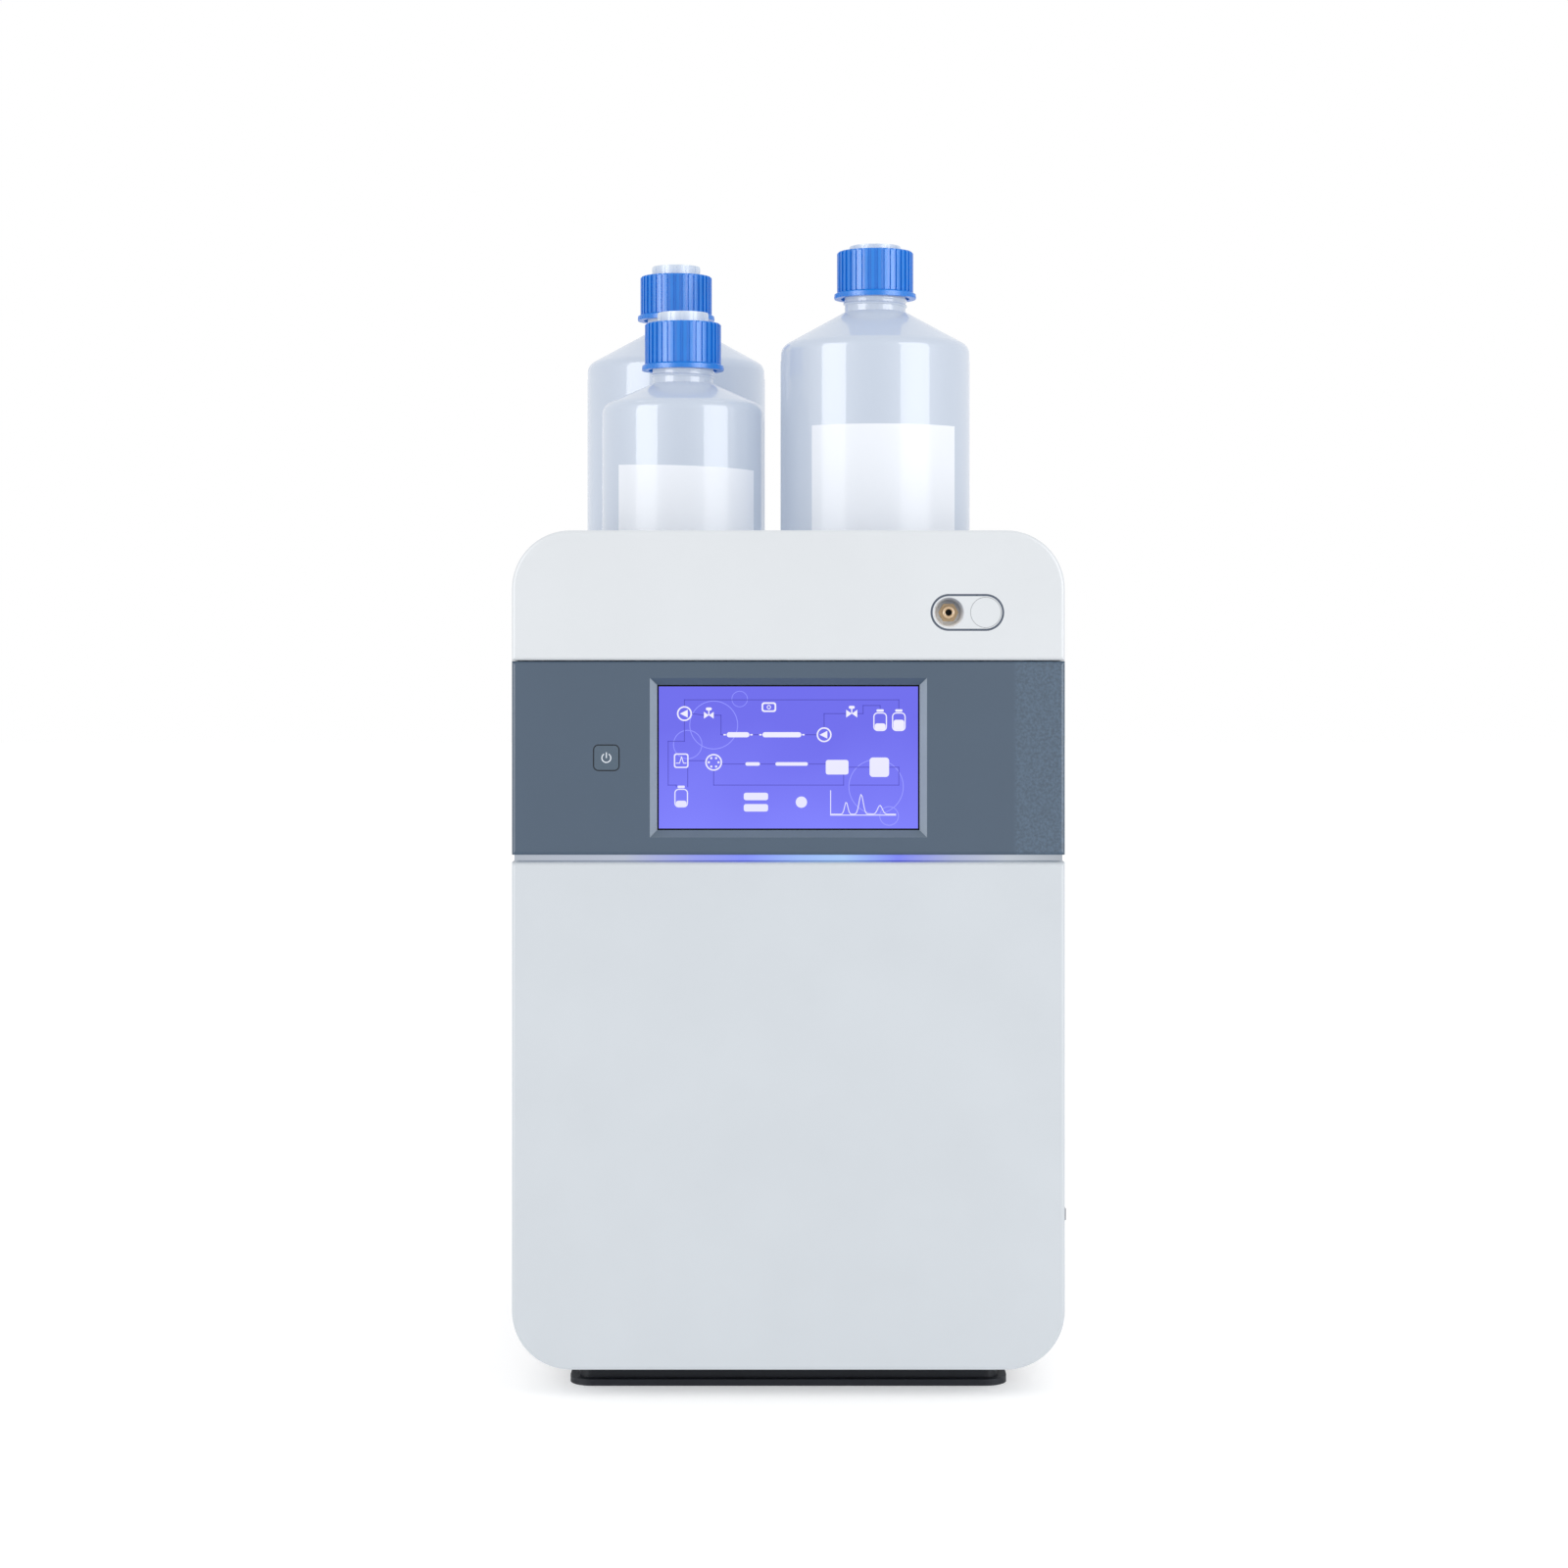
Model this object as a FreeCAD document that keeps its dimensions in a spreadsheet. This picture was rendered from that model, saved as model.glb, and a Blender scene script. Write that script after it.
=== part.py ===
import FreeCAD, Part
import Sketcher
import math
import os
import re
from FreeCAD import Placement, Rotation, Vector

# A bench ion chromatograph: a tower with a moulded front, a hinged lower door over the module bay,
# a bottle tray in its roof with three reagent bottles, and its services on the rear panel.
# Units are millimetres. X runs to the right, Y to the back and Z up. The origin is on the bench,
# under the middle of the housing.

DOC = FreeCAD.newDocument("ion_chromatograph")
SHEET = DOC.addObject("Spreadsheet::Sheet", "Sizes")
NODES = {}

# Driving dimensions: name, value, meaning
SIZES = [
    ("body_width", 340, "housing, side to side"),
    ("body_depth", 480, "housing, front face to rear edge"),
    ("plinth_height", 17, "bench to the underside of the housing"),
    ("door_height", 312, "lower front door"),
    ("light_gap", 4.5, "slot between the door and the display band"),
    ("band_height", 119.5, "grey display band"),
    ("upper_height", 80, "white fascia above the band"),
    ("corner_radius", 36, "rounded corners of the front outline"),
    ("front_depth", 27, "depth of the moulded front pieces"),
    ("panel_gap", 1.0, "shadow gap behind the front pieces"),
    ("seam", 0.4, "joint line between two mouldings"),
    ("moulding_wall", 3.0, "wall of the mouldings"),
    ("sheet_wall", 1.5, "folded side covers"),
    ("chassis_wall", 2.0, "chassis plates"),
    ("edge_round", 2.5, "front edge rounding of the mouldings"),
    ("fit_gap", 0.3, "clearance of a piece that drops into another"),
    ("running_gap", 0.05, "radial clearance of a shaft in its bore"),
    ("boss_radius", 4.0, "screw bosses of the mouldings"),
    ("boss_inset", 20, "screw bosses, in from the outline"),
    ("plinth_side", 33, "plinth lip, in from the housing side"),
    ("plinth_end", 30, "plinth lip, in from the front and the rear"),
    ("plinth_corner", 14, "corner of the plinth lip in plan"),
    ("plinth_lip", 4.0, "thickness of the plinth lip"),
    ("plinth_step", 5.5, "lip to wall of the plinth"),
    ("plinth_wall", 4.0, "wall and deck of the plinth"),
    ("cover_return", 10, "flat return under the side covers"),
    ("vent_length", 46, "air slots of the side covers"),
    ("vent_height", 3, "air slots of the side covers"),
    ("vent_pitch", 8, "air slots of the side covers"),
    ("vent_rise", 62, "plinth top to the lowest air slot"),
    ("vent_inset", 34, "air slots, in from the rear edge"),
    ("chassis_lip", 14, "lips of the chassis flanges"),
    ("cap_height", 60, "moulded roof, down to its seam"),
    ("tray_width", 292, "bottle tray inside"),
    ("tray_front_rim", 18, "roof in front of the tray"),
    ("tray_rear_rim", 44, "roof behind the tray"),
    ("tray_depth", 37, "tray floor below the rim"),
    ("tray_corner", 14, "corner of the tray in plan"),
    ("hinge_roll", 3.0, "rolled rear edge of the door"),
    ("pin_radius", 1.5, "door hinge pins"),
    ("pin_length", 34, "door hinge pins"),
    ("knuckle_length", 16, "fixed knuckle of each hinge"),
    ("knuckle_gap", 0.5, "end clearance of a knuckle"),
    ("knuckle_relief", 9.0, "depth of the notch in the door edge"),
    ("lower_hinge", 62, "door bottom to the middle of the lower hinge"),
    ("upper_hinge", 40, "door top down to the middle of the upper hinge"),
    ("leaf_wall", 2.0, "hinge leaf"),
    ("leaf_height", 30, "hinge leaf"),
    ("leaf_width", 24, "hinge leaf"),
    ("liner_wall", 2.0, "inner skin of the door"),
    ("liner_inset", 2.0, "inner skin, forward of the door edge"),
    ("roll_room", 10, "door side to the edge of the inner skin"),
    ("liner_rib", 1.2, "stiffening ribs of the inner skin"),
    ("rib_broad", 10, "stiffening ribs of the inner skin"),
    ("rib_spread", 70, "stiffening ribs, from the middle"),
    ("rib_end", 40, "stiffening ribs, in from the top and bottom"),
    ("post_side", 85, "door posts, in from the door side"),
    ("post_end", 46.8, "door posts, in from the top and bottom"),
    ("pull_height", 7.4, "finger tab on the door edge"),
    ("pull_rise", 95, "door bottom to the middle of the tab"),
    ("pull_proud", 0.9, "finger tab beyond the door side"),
    ("pull_depth", 11, "finger tab, front to back"),
    ("magnet_radius", 5, "door magnets"),
    ("magnet_gap", 0.5, "magnet to its catch plate"),
    ("catch_wall", 1.0, "catch plates"),
    ("catch_size", 18, "catch plates"),
    ("lower_catch", 68.6, "lower magnet above the door bottom"),
    ("upper_catch", 25, "upper magnet below the door top"),
    ("light_wall", 3.4, "light strip, height"),
    ("light_inset", 2.5, "light strip behind the front face"),
    ("light_depth", 20, "light strip, front to back"),
    ("light_end", 1.5, "light strip short of the housing side"),
    ("window_width", 161.6, "opening for the screen"),
    ("window_height", 89.4, "opening for the screen"),
    ("bezel_width", 4.3, "sloping edge round the screen"),
    ("bezel_depth", 4.0, "sloping edge round the screen"),
    ("bezel_wall", 5.0, "front wall round the screen"),
    ("glass_overlap", 4.0, "touch glass beyond the opening"),
    ("glass_wall", 2.0, "touch glass"),
    ("display_depth", 10, "display module"),
    ("button_size", 15.0, "power button"),
    ("button_corner", 2.6, "power button corner"),
    ("button_offset", 111.8, "power button, left of the middle"),
    ("button_depth", 8.0, "power button, front to back"),
    ("button_flange", 1.6, "retaining flange of the button"),
    ("button_travel", 1.5, "push of the button"),
    ("switch_size", 9.0, "switch behind the button"),
    ("switch_depth", 6.0, "switch behind the button"),
    ("board_wall", 1.6, "circuit boards"),
    ("board_size", 34, "circuit board of the power button"),
    ("board_tall", 22.6, "circuit board of the power button"),
    ("board_post", 14.3, "posts of the board, from its middle"),
    ("port_inset", 60.1, "port plate, in from the right side"),
    ("port_drop", 50.5, "roof to the middle of the port plate"),
    ("port_spacing", 22.6, "between the two round fittings"),
    ("port_radius", 11.35, "ends of the port rim"),
    ("rim_wall", 1.35, "port rim"),
    ("insert_depth", 14, "port plate, front to back"),
    ("well_radius", 9.2, "mouth of the injection well"),
    ("well_floor", 7.4, "floor of the injection well"),
    ("well_depth", 10, "injection well"),
    ("disc_wall", 3.0, "blanking disc"),
    ("nut_flats", 10.8, "injection port hexagon, across flats"),
    ("nut_length", 4.5, "injection port hexagon"),
    ("nose_radius", 3.9, "injection port nose"),
    ("nose_length", 2.2, "injection port nose"),
    ("syringe_radius", 2.0, "injection port bore"),
    ("syringe_depth", 8.0, "injection port bore"),
    ("stem_radius", 3.2, "injection port stem"),
    ("stem_length", 15, "injection port stem"),
    ("bay_rise", 25, "plinth top to the module bay"),
    ("bay_height", 281, "module bay outside"),
    ("bay_depth", 138, "module bay"),
    ("drip_wall", 1.5, "drip tray"),
    ("drip_height", 14, "drip tray"),
    ("drip_gap", 3.0, "drip tray inside the bay"),
    ("module_rise", 8, "modules above the drip tray"),
    ("pump_gap", 8, "pump to the left wall of the bay"),
    ("pump_width", 108, "pump housing"),
    ("pump_height", 122, "pump housing"),
    ("pump_depth", 66, "pump housing"),
    ("module_round", 6, "front edges of the modules"),
    ("head_radius", 19, "pump heads"),
    ("head_length", 27, "pump heads"),
    ("head_spacing", 54, "between the pump heads"),
    ("head_rise", 46.4, "pump foot to the pump heads"),
    ("bolt_radius", 2.4, "bolts of the pump heads"),
    ("bolt_head", 2.5, "bolts of the pump heads"),
    ("bolt_circle", 14, "bolts of the pump heads"),
    ("check_reach", 16.2, "check valves before the pump housing"),
    ("check_radius", 5.5, "check valves of the pump heads"),
    ("check_length", 12, "check valves beyond the pump head"),
    ("purge_size", 24, "purge valve block"),
    ("purge_depth", 18, "purge valve block"),
    ("purge_drop", 24.4, "pump top to the purge valve"),
    ("knob_radius", 9, "purge knob"),
    ("knob_length", 11, "purge knob"),
    ("knob_gap", 0.6, "purge knob before its block"),
    ("knob_bevel", 1.0, "front edge of the purge knob"),
    ("flute_radius", 2.6, "flutes of the purge knob"),
    ("flute_shift", 1.0, "axis of the flutes beyond the knob"),
    ("spindle_radius", 2.5, "spindle of the purge knob"),
    ("spindle_length", 12, "spindle of the purge knob"),
    ("spindle_room", 1.0, "bore beyond the spindle"),
    ("valve_shift", 12, "injection valve, left of the pump's middle"),
    ("valve_gap", 22, "pump to the valve actuator"),
    ("actuator_size", 68, "injection valve actuator"),
    ("actuator_depth", 56, "injection valve actuator"),
    ("valve_radius", 22, "injection valve head"),
    ("valve_length", 24, "injection valve head"),
    ("nut_circle", 13, "ring of valve fittings"),
    ("fitting_radius", 3.4, "tube fittings"),
    ("fitting_length", 9, "tube fittings"),
    ("tube_radius", 0.8, "capillary tubes"),
    ("tube_bend", 9, "bends of the capillary tubes"),
    ("loop_bend", 6.3, "bends of the sample loop"),
    ("line_bow", 14, "tubes before the fittings they leave"),
    ("line_drop", 24, "pump line below the injection valve"),
    ("guard_lead", 30, "tube above the guard column"),
    ("column_lead", 22, "tube below the columns"),
    ("loop_spread", 10, "sample loop beyond its fittings"),
    ("loop_rise", 18, "sample loop above the valve"),
    ("column_radius", 6.5, "separation column"),
    ("column_length", 172, "separation column"),
    ("guard_length", 44, "guard column"),
    ("end_radius", 8.5, "column end fittings"),
    ("end_length", 14, "column end fittings"),
    ("column_reach", 40, "rear wall of the bay to the column axis"),
    ("column_side", 32, "right wall of the bay to the column axis"),
    ("column_spacing", 26, "between the two columns"),
    ("column_rise", 24, "column above the pump foot"),
    ("guard_rise", 118, "guard column above the column foot"),
    ("clip_width", 22, "column clips"),
    ("clip_height", 12, "column clips"),
    ("clip_mouth", 9, "front opening of the column clips"),
    ("clip_inset", 43, "clips, in from the column ends"),
    ("suppressor_width", 46, "suppressor"),
    ("suppressor_height", 92, "suppressor"),
    ("suppressor_depth", 38, "suppressor"),
    ("suppressor_shift", 19, "suppressor, left of the degasser's middle"),
    ("suppressor_gap", 24, "suppressor above the pump"),
    ("cell_size", 44, "conductivity cell"),
    ("cell_depth", 34, "conductivity cell"),
    ("cell_gap", 11, "between the suppressor and the cell"),
    ("cell_rise", 56, "cell above the suppressor foot"),
    ("degasser_height", 100, "degasser"),
    ("degasser_depth", 48, "degasser"),
    ("degasser_gap", 4, "between the pump and the degasser"),
    ("degasser_clear", 20, "degasser to the axis of the guard column"),
    ("large_radius", 62.4, "two litre bottle"),
    ("large_side", 163.7, "two litre bottle, straight side"),
    ("large_cone", 23.3, "two litre bottle, shoulder"),
    ("small_radius", 53.3, "one litre bottle"),
    ("small_side", 124.7, "one litre bottle, straight side"),
    ("small_cone", 14.9, "one litre bottle, shoulder"),
    ("bottle_wall", 1.8, "bottle wall"),
    ("bottle_foot", 6, "rounding of the bottle base"),
    ("shoulder_round", 8, "rounding of the bottle shoulder"),
    ("neck_radius", 20.2, "bottle neck"),
    ("neck_visible", 8.8, "neck below the closed cap"),
    ("thread_radius", 22.3, "crest of the neck thread"),
    ("thread_height", 2.4, "ridge of the neck thread"),
    ("screw_cap_height", 31, "screw cap"),
    ("cap_radius", 25.2, "screw cap over its ribs"),
    ("cap_bore", 22.7, "screw cap inside"),
    ("cap_skirt", 27.0, "skirt of the screw cap"),
    ("skirt_height", 4.0, "skirt of the screw cap"),
    ("cap_top", 2.5, "top wall of the screw cap"),
    ("cap_bevel", 1.0, "edges of the screw cap"),
    ("cap_hole", 17.0, "opening in the top of the screw cap"),
    ("rib_depth", 0.9, "grip grooves of the screw cap"),
    ("rib_width", 2.2, "grip grooves of the screw cap"),
    ("stopper_radius", 16.6, "tubing stopper above the cap"),
    ("stopper_flange", 22.0, "flange of the stopper"),
    ("flange_wall", 2.0, "flange of the stopper"),
    ("stopper_plug", 6.0, "stopper inside the neck"),
    ("tube_hole", 2.0, "tubing holes of the stopper"),
    ("tube_ring", 8.5, "ring of the tubing holes"),
    ("tall_rise", 7.0, "stopper above the cap, left bottles"),
    ("short_rise", 3.8, "stopper above the cap, right bottle"),
    ("right_bottle_x", 57.5, "right bottle"),
    ("left_bottle_x", 79.4, "rear left bottle, left of the middle"),
    ("front_bottle_x", 69.9, "front left bottle, left of the middle"),
    ("first_row", 144, "front face to the first row of bottles"),
    ("second_row", 274, "front face to the rear bottle"),
    ("rear_inset", 4, "rear panel inside the covers"),
    ("fan_size", 80, "cooling fan"),
    ("fan_depth", 25, "cooling fan"),
    ("fan_bore", 38, "cooling fan bore"),
    ("fan_wall", 3, "wall of the fan frame flange"),
    ("fan_inset", 108, "fan, in from the left side"),
    ("fan_height", 395, "fan centre above the bench"),
    ("hub_radius", 16, "fan hub"),
    ("hub_length", 20, "fan hub"),
    ("hub_bevel", 2.0, "fan hub"),
    ("hub_wall", 4.0, "closed end of the fan hub"),
    ("shaft_radius", 2.0, "fan shaft"),
    ("shaft_length", 15, "fan shaft beyond its plate"),
    ("blade_root", 1.0, "blades, sunk in the hub"),
    ("blade_tip", 36.0, "fan blade tips"),
    ("blade_wall", 1.6, "fan blades"),
    ("blade_chord", 21, "fan blades"),
    ("root_pitch", 52, "blade angle at the hub, degrees"),
    ("tip_pitch", 34, "blade angle at the tip, degrees"),
    ("guard_size", 92, "fan grille plate"),
    ("guard_wall", 1.2, "fan grille plate"),
    ("guard_hole", 3.4, "hexagonal holes of the grille"),
    ("guard_pitch", 8.6, "spacing of the grille holes"),
    ("inlet_inset", 74, "mains inlet, in from the right side"),
    ("inlet_height", 92, "mains inlet above the bench"),
    ("inlet_width", 30, "mains inlet body"),
    ("inlet_tall", 50, "mains inlet body"),
    ("inlet_depth", 30, "mains inlet body"),
    ("inlet_flange", 3, "mains inlet flange"),
    ("socket_width", 24.4, "mains socket"),
    ("socket_tall", 16.6, "mains socket"),
    ("socket_depth", 17, "mains socket"),
    ("socket_rise", 2.4, "mains socket above the foot of its body"),
    ("contact_width", 2.0, "mains contacts"),
    ("contact_tall", 4.2, "mains contacts"),
    ("contact_length", 13.6, "mains contacts"),
    ("contact_spread", 7.0, "outer contacts, from the middle"),
    ("contact_rise", 4.0, "outer contacts above the socket foot"),
    ("earth_rise", 8.4, "middle contact above the socket foot"),
    ("rocker_width", 14, "rocker switch"),
    ("rocker_tall", 20, "rocker switch"),
    ("rocker_tilt", 10, "rocker switch, degrees each way"),
    ("rocker_gap", 4.0, "mains socket to the rocker"),
    ("rocker_room", 15, "depth of the opening behind the rocker"),
    ("rocker_end", 1.0, "opening beyond the rocker ends"),
    ("pivot_depth", 6.0, "rocker axle behind the flange"),
    ("rocker_lip", 2.0, "rocker ends, proud of its middle"),
    ("rocker_dish", 0.4, "middle of the rocker, behind the flange"),
    ("rocker_trim", 0.6, "rocker ends, short of its length"),
    ("rocker_root", 3.6, "rocker behind its axle"),
    ("rocker_waist", 3.0, "rocker behind its axle, half height"),
    ("block_inset", 90, "connector block, in from the left side"),
    ("block_height", 96, "connector block above the bench"),
    ("block_width", 76, "connector block"),
    ("block_tall", 24, "connector block"),
    ("block_depth", 16, "connector block behind the panel"),
    ("block_proud", 1.0, "connector block beyond the panel"),
    ("jack_depth", 11, "interface sockets"),
    ("network_x", 24.1, "network socket, left of the block's middle"),
    ("network_width", 15.8, "network socket"),
    ("network_tall", 13.2, "network socket"),
    ("host_x", 3.5, "host socket, left of the block's middle"),
    ("device_x", 16.5, "device socket, right of the block's middle"),
    ("serial_width", 13, "host and device sockets"),
    ("serial_tall", 6, "host and device sockets"),
    ("service_x", 30, "service socket, right of the block's middle"),
    ("service_size", 8, "service socket"),
    ("outlet_x", 12, "waste outlets, from the middle"),
    ("outlet_flange", 8, "waste outlets"),
    ("outlet_wall", 2.5, "flange of the waste outlets"),
    ("outlet_radius", 4, "waste outlets"),
    ("outlet_bore", 2.4, "waste outlets"),
    ("outlet_length", 14, "waste outlets"),
    ("supply_width", 90, "power supply"),
    ("supply_depth", 110, "power supply"),
    ("supply_height", 52, "power supply"),
    ("supply_gap", 2, "power supply to the chassis plate"),
    ("supply_reach", 60, "power supply before the rear panel"),
    ("screw_radius", 3.5, "cover screws"),
    ("screw_head", 2.0, "cover screws"),
    ("screw_inset", 12, "cover screws, in from the panel edge"),
    ("screw_rise", 263.2, "middle cover screws above the bench"),
]

for row, (alias, number, meaning) in enumerate(SIZES, start=1):
    SHEET.set(f"A{row}", meaning)
    SHEET.set(f"B{row}", str(number))
    SHEET.setAlias(f"B{row}", alias)
DOC.recompute()
ALIASES = {alias for alias, _, _ in SIZES}

# Places worked out from the driving dimensions
FRONT = "(-body_depth / 2)"
REAR = "(body_depth / 2)"
HALF = "(body_width / 2)"
SKIN = f"({HALF} - sheet_wall)"
DOOR_TOP = "(plinth_height + door_height)"
BAND_FOOT = f"({DOOR_TOP} + light_gap)"
UPPER_FOOT = f"({BAND_FOOT} + band_height)"
ROOF = f"({UPPER_FOOT} + upper_height)"
EAVES = f"({ROOF} - cap_height)"
TRAY_FLOOR = f"({ROOF} - tray_depth)"
TRAY_UNDERSIDE = f"({TRAY_FLOOR} - moulding_wall)"
FRONT_BACK = f"({FRONT} + front_depth)"
COVER_FRONT = f"({FRONT_BACK} + panel_gap)"
CHASSIS_FRONT = f"({FRONT_BACK} + leaf_wall)"
PANEL_OUTSIDE = f"({REAR} - rear_inset)"
PANEL_INSIDE = f"({PANEL_OUTSIDE} - chassis_wall)"
FLOOR_TOP = "(plinth_height + sheet_wall + chassis_wall)"
CHASSIS_SIDE = f"({HALF} - corner_radius)"
WEB_INSIDE = f"({CHASSIS_SIDE} - chassis_wall)"
BAY_HALF = WEB_INSIDE
BAY_INSIDE = f"({BAY_HALF} - chassis_wall)"
BAY_FRONT = f"({CHASSIS_FRONT} + chassis_wall)"
BAY_WALL = f"({BAY_FRONT} + bay_depth - chassis_wall)"
BAY_FLOOR = "(plinth_height + bay_rise + chassis_wall)"
HINGE_X = f"(hinge_roll - {HALF})"
HINGE_Y = f"({FRONT_BACK} - hinge_roll)"
BAND_MIDDLE = f"({BAND_FOOT} + band_height / 2)"
PORT_Z = f"({ROOF} - port_drop)"
INNER_NECK = "(neck_radius - bottle_wall)"
NECK_RISE = "(neck_visible + screw_cap_height - cap_top - flange_wall - running_gap)"
BUTTON_BACK = f"({FRONT} + button_depth)"
SWITCH_FRONT = f"({BUTTON_BACK} + button_travel + fit_gap)"
BOARD_FRONT = f"({SWITCH_FRONT} + switch_depth)"
LINER_FRONT = f"({FRONT_BACK} - liner_inset - liner_wall)"
PULL_FOOT = "(plinth_height + pull_rise - pull_height / 2)"
WELL_X = f"({HALF} - port_inset - port_spacing / 2)"
DISC_X = f"({HALF} - port_inset + port_spacing / 2)"
FAN_X = f"(fan_inset - {HALF})"
INLET_X = f"({HALF} - inlet_inset)"
INLET_FACE = f"({PANEL_OUTSIDE} + inlet_flange)"
SOCKET_FOOT = "(inlet_height - inlet_tall / 2 + socket_rise)"
BLOCK_X = f"(block_inset - {HALF})"

# The modules hang on the rear wall of their bay
PUMP_X = f"(pump_gap + pump_width / 2 - {BAY_INSIDE})"
PUMP_FRONT = f"({BAY_WALL} - pump_depth)"
PUMP_FOOT = f"({BAY_FLOOR} + drip_height + module_rise)"
HEAD_Z = f"({PUMP_FOOT} + head_rise)"
CHECK_Y = f"({PUMP_FRONT} - check_reach)"
PURGE_Z = f"({PUMP_FOOT} + pump_height - purge_drop)"
PURGE_FRONT = f"({PUMP_FRONT} - purge_depth)"
VALVE_X = f"({PUMP_X} - valve_shift)"
VALVE_Z = f"({PUMP_FOOT} + pump_height + valve_gap + actuator_size / 2)"
ACTUATOR_FRONT = f"({BAY_WALL} - actuator_depth)"
VALVE_FRONT = f"({ACTUATOR_FRONT} - valve_length)"
COLUMN_X = f"({BAY_INSIDE} - column_side)"
GUARD_X = f"({COLUMN_X} - column_spacing)"
COLUMN_Y = f"({BAY_WALL} - column_reach)"
COLUMN_FOOT = f"({PUMP_FOOT} + column_rise)"
GUARD_FOOT = f"({COLUMN_FOOT} + guard_rise)"
DEGASSER_LEFT = f"({PUMP_X} + pump_width / 2 + degasser_gap)"
DEGASSER_WIDTH = f"({GUARD_X} - degasser_clear - {DEGASSER_LEFT})"
DEGASSER_X = f"({DEGASSER_LEFT} + {DEGASSER_WIDTH} / 2)"
SUPPRESSOR_X = f"({DEGASSER_X} - suppressor_shift)"
SUPPRESSOR_FOOT = f"({PUMP_FOOT} + pump_height + suppressor_gap)"
CELL_X = f"({SUPPRESSOR_X} + suppressor_width / 2 + cell_gap + cell_size / 2)"
CELL_FOOT = f"({SUPPRESSOR_FOOT} + cell_rise)"

# Repeats
AIR_SLOTS = 9
HEAD_BOLTS = 4
FLUTES = 8
CAP_GROOVES = 36
FAN_BLADES = 7
GRILLE_RINGS = 4

# Turns that lay a piece's own Z axis along another axis
TURNS = {
    "z": Rotation(),
    "x": Rotation(Vector(0, 1, 0), 90),
    "y": Rotation(Vector(1, 0, 0), -90),
    "-y": Rotation(Vector(1, 0, 0), 90),
}


def expression(text):
    """Point each size named in a formula at its cell."""
    return re.sub(r"[A-Za-z_]\w*", lambda word: tied(word.group()), str(text))


def tied(word):
    return f"Sizes.{word}" if word in ALIASES else word


def value(text):
    return float(SHEET.evalExpression(expression(text)))


def at(item, place, turn="z"):
    """Put an item at a place whose coordinates are formulas."""
    item.Placement = Placement(Vector(*map(value, place)), TURNS[turn])
    for axis, text in zip("xyz", place):
        item.setExpression(f".Placement.Base.{axis}", expression(text))
    return item


def node(name, item):
    """Name a finished sub-part; it is exported under this name."""
    item.Label = name
    NODES[name] = item
    return item


def solid(kind, name, place, turn="z", **sizes):
    item = DOC.addObject(kind, name)
    for size, text in sizes.items():
        item.setExpression(size, expression(text))
    return at(item, place, turn)


def box(name, place, length, width, height):
    return solid("Part::Box", name, place, Length=length, Width=width, Height=height)


def rod(name, place, radius, length, turn="z"):
    return solid("Part::Cylinder", name, place, turn, Radius=radius, Height=length)


def cone(name, place, foot, top, length, turn="z"):
    return solid("Part::Cone", name, place, turn, Radius1=foot, Radius2=top, Height=length)


def hexagon(name, place, flats, length, turn="z"):
    """A hexagonal bar given across its flats."""
    return solid("Part::Prism", name, place, turn, Circumradius=f"{flats} / sqrt(3)", Height=length)


def fuse(name, *items):
    item = DOC.addObject("Part::MultiFuse", name)
    item.Shapes = list(items)
    item.Refine = True
    return item


def cut(name, base, *tools):
    item = DOC.addObject("Part::Cut", name)
    item.Base = base
    item.Tool = tools[0] if len(tools) == 1 else fuse(name + "_cutters", *tools)
    item.Refine = True
    return item


def group(name, *items):
    """Separate solids that share one node."""
    item = DOC.addObject("Part::Compound", name)
    item.Links = list(items)
    return item


def near(number, text):
    return text is None or abs(number - value(text)) < 0.02


def edge_numbers(shape, along=None, x=None, y=None, z=None):
    """Edges that run along an axis or lie flat across it, and pass through a given place."""
    found = []
    for number, edge in enumerate(shape.Edges, start=1):
        span = edge.BoundBox
        middle = span.Center
        reach = {"x": span.XLength, "y": span.YLength, "z": span.ZLength}
        straight = along is None or all(reach[other] < 0.01 for other in "xyz" if other != along)
        if straight and near(middle.x, x) and near(middle.y, y) and near(middle.z, z):
            found.append(number)
    return found


def flat_edges(shape, axis, place):
    """All edges that lie in one plane across an axis."""
    found = []
    for number, edge in enumerate(shape.Edges, start=1):
        span = edge.BoundBox
        low, high = {"x": (span.XMin, span.XMax), "y": (span.YMin, span.YMax), "z": (span.ZMin, span.ZMax)}[axis]
        if near(low, place) and near(high, place):
            found.append(number)
    return found


def round_edges(name, base, radius, numbers):
    """Round chosen edges of a Part solid."""
    item = DOC.addObject("Part::Fillet", name)
    item.Base = base
    item.Edges = [(number, value(radius), value(radius)) for number in numbers]
    return item


def rounded_box(name, place, length, width, height, radius, along="z"):
    """A block whose four long edges along one axis are rounded."""
    block = box(name + "_block", place, length, width, height)
    DOC.recompute()
    return round_edges(name, block, radius, edge_numbers(block.Shape, along=along))


def slot(name, x_left, x_right, y, z, radius, depth):
    """A bar with round ends, lying across the front."""
    radius = f"({radius})"
    middle = box(name + "_middle", (x_left, y, f"{z} - {radius}"), f"{x_right} - ({x_left})", depth, f"2 * {radius}")
    left = rod(name + "_left", (x_left, y, z), radius, depth, "y")
    right = rod(name + "_right", (x_right, y, z), radius, depth, "y")
    return fuse(name, middle, left, right)


def new_body(name, place, turn="z"):
    return at(DOC.addObject("PartDesign::Body", name), place, turn)


def sketch(body, name, role, offset="0"):
    """An empty sketch on one of a body's own planes, moved along the plane's normal."""
    item = body.newObject("Sketcher::SketchObject", name)
    plane = next(feature for feature in body.Origin.OriginFeatures if feature.Role == role)
    item.AttachmentSupport = [(plane, "")]
    item.MapMode = "FlatFace"
    item.setExpression(".AttachmentOffset.Base.z", expression(offset))
    return item


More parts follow.
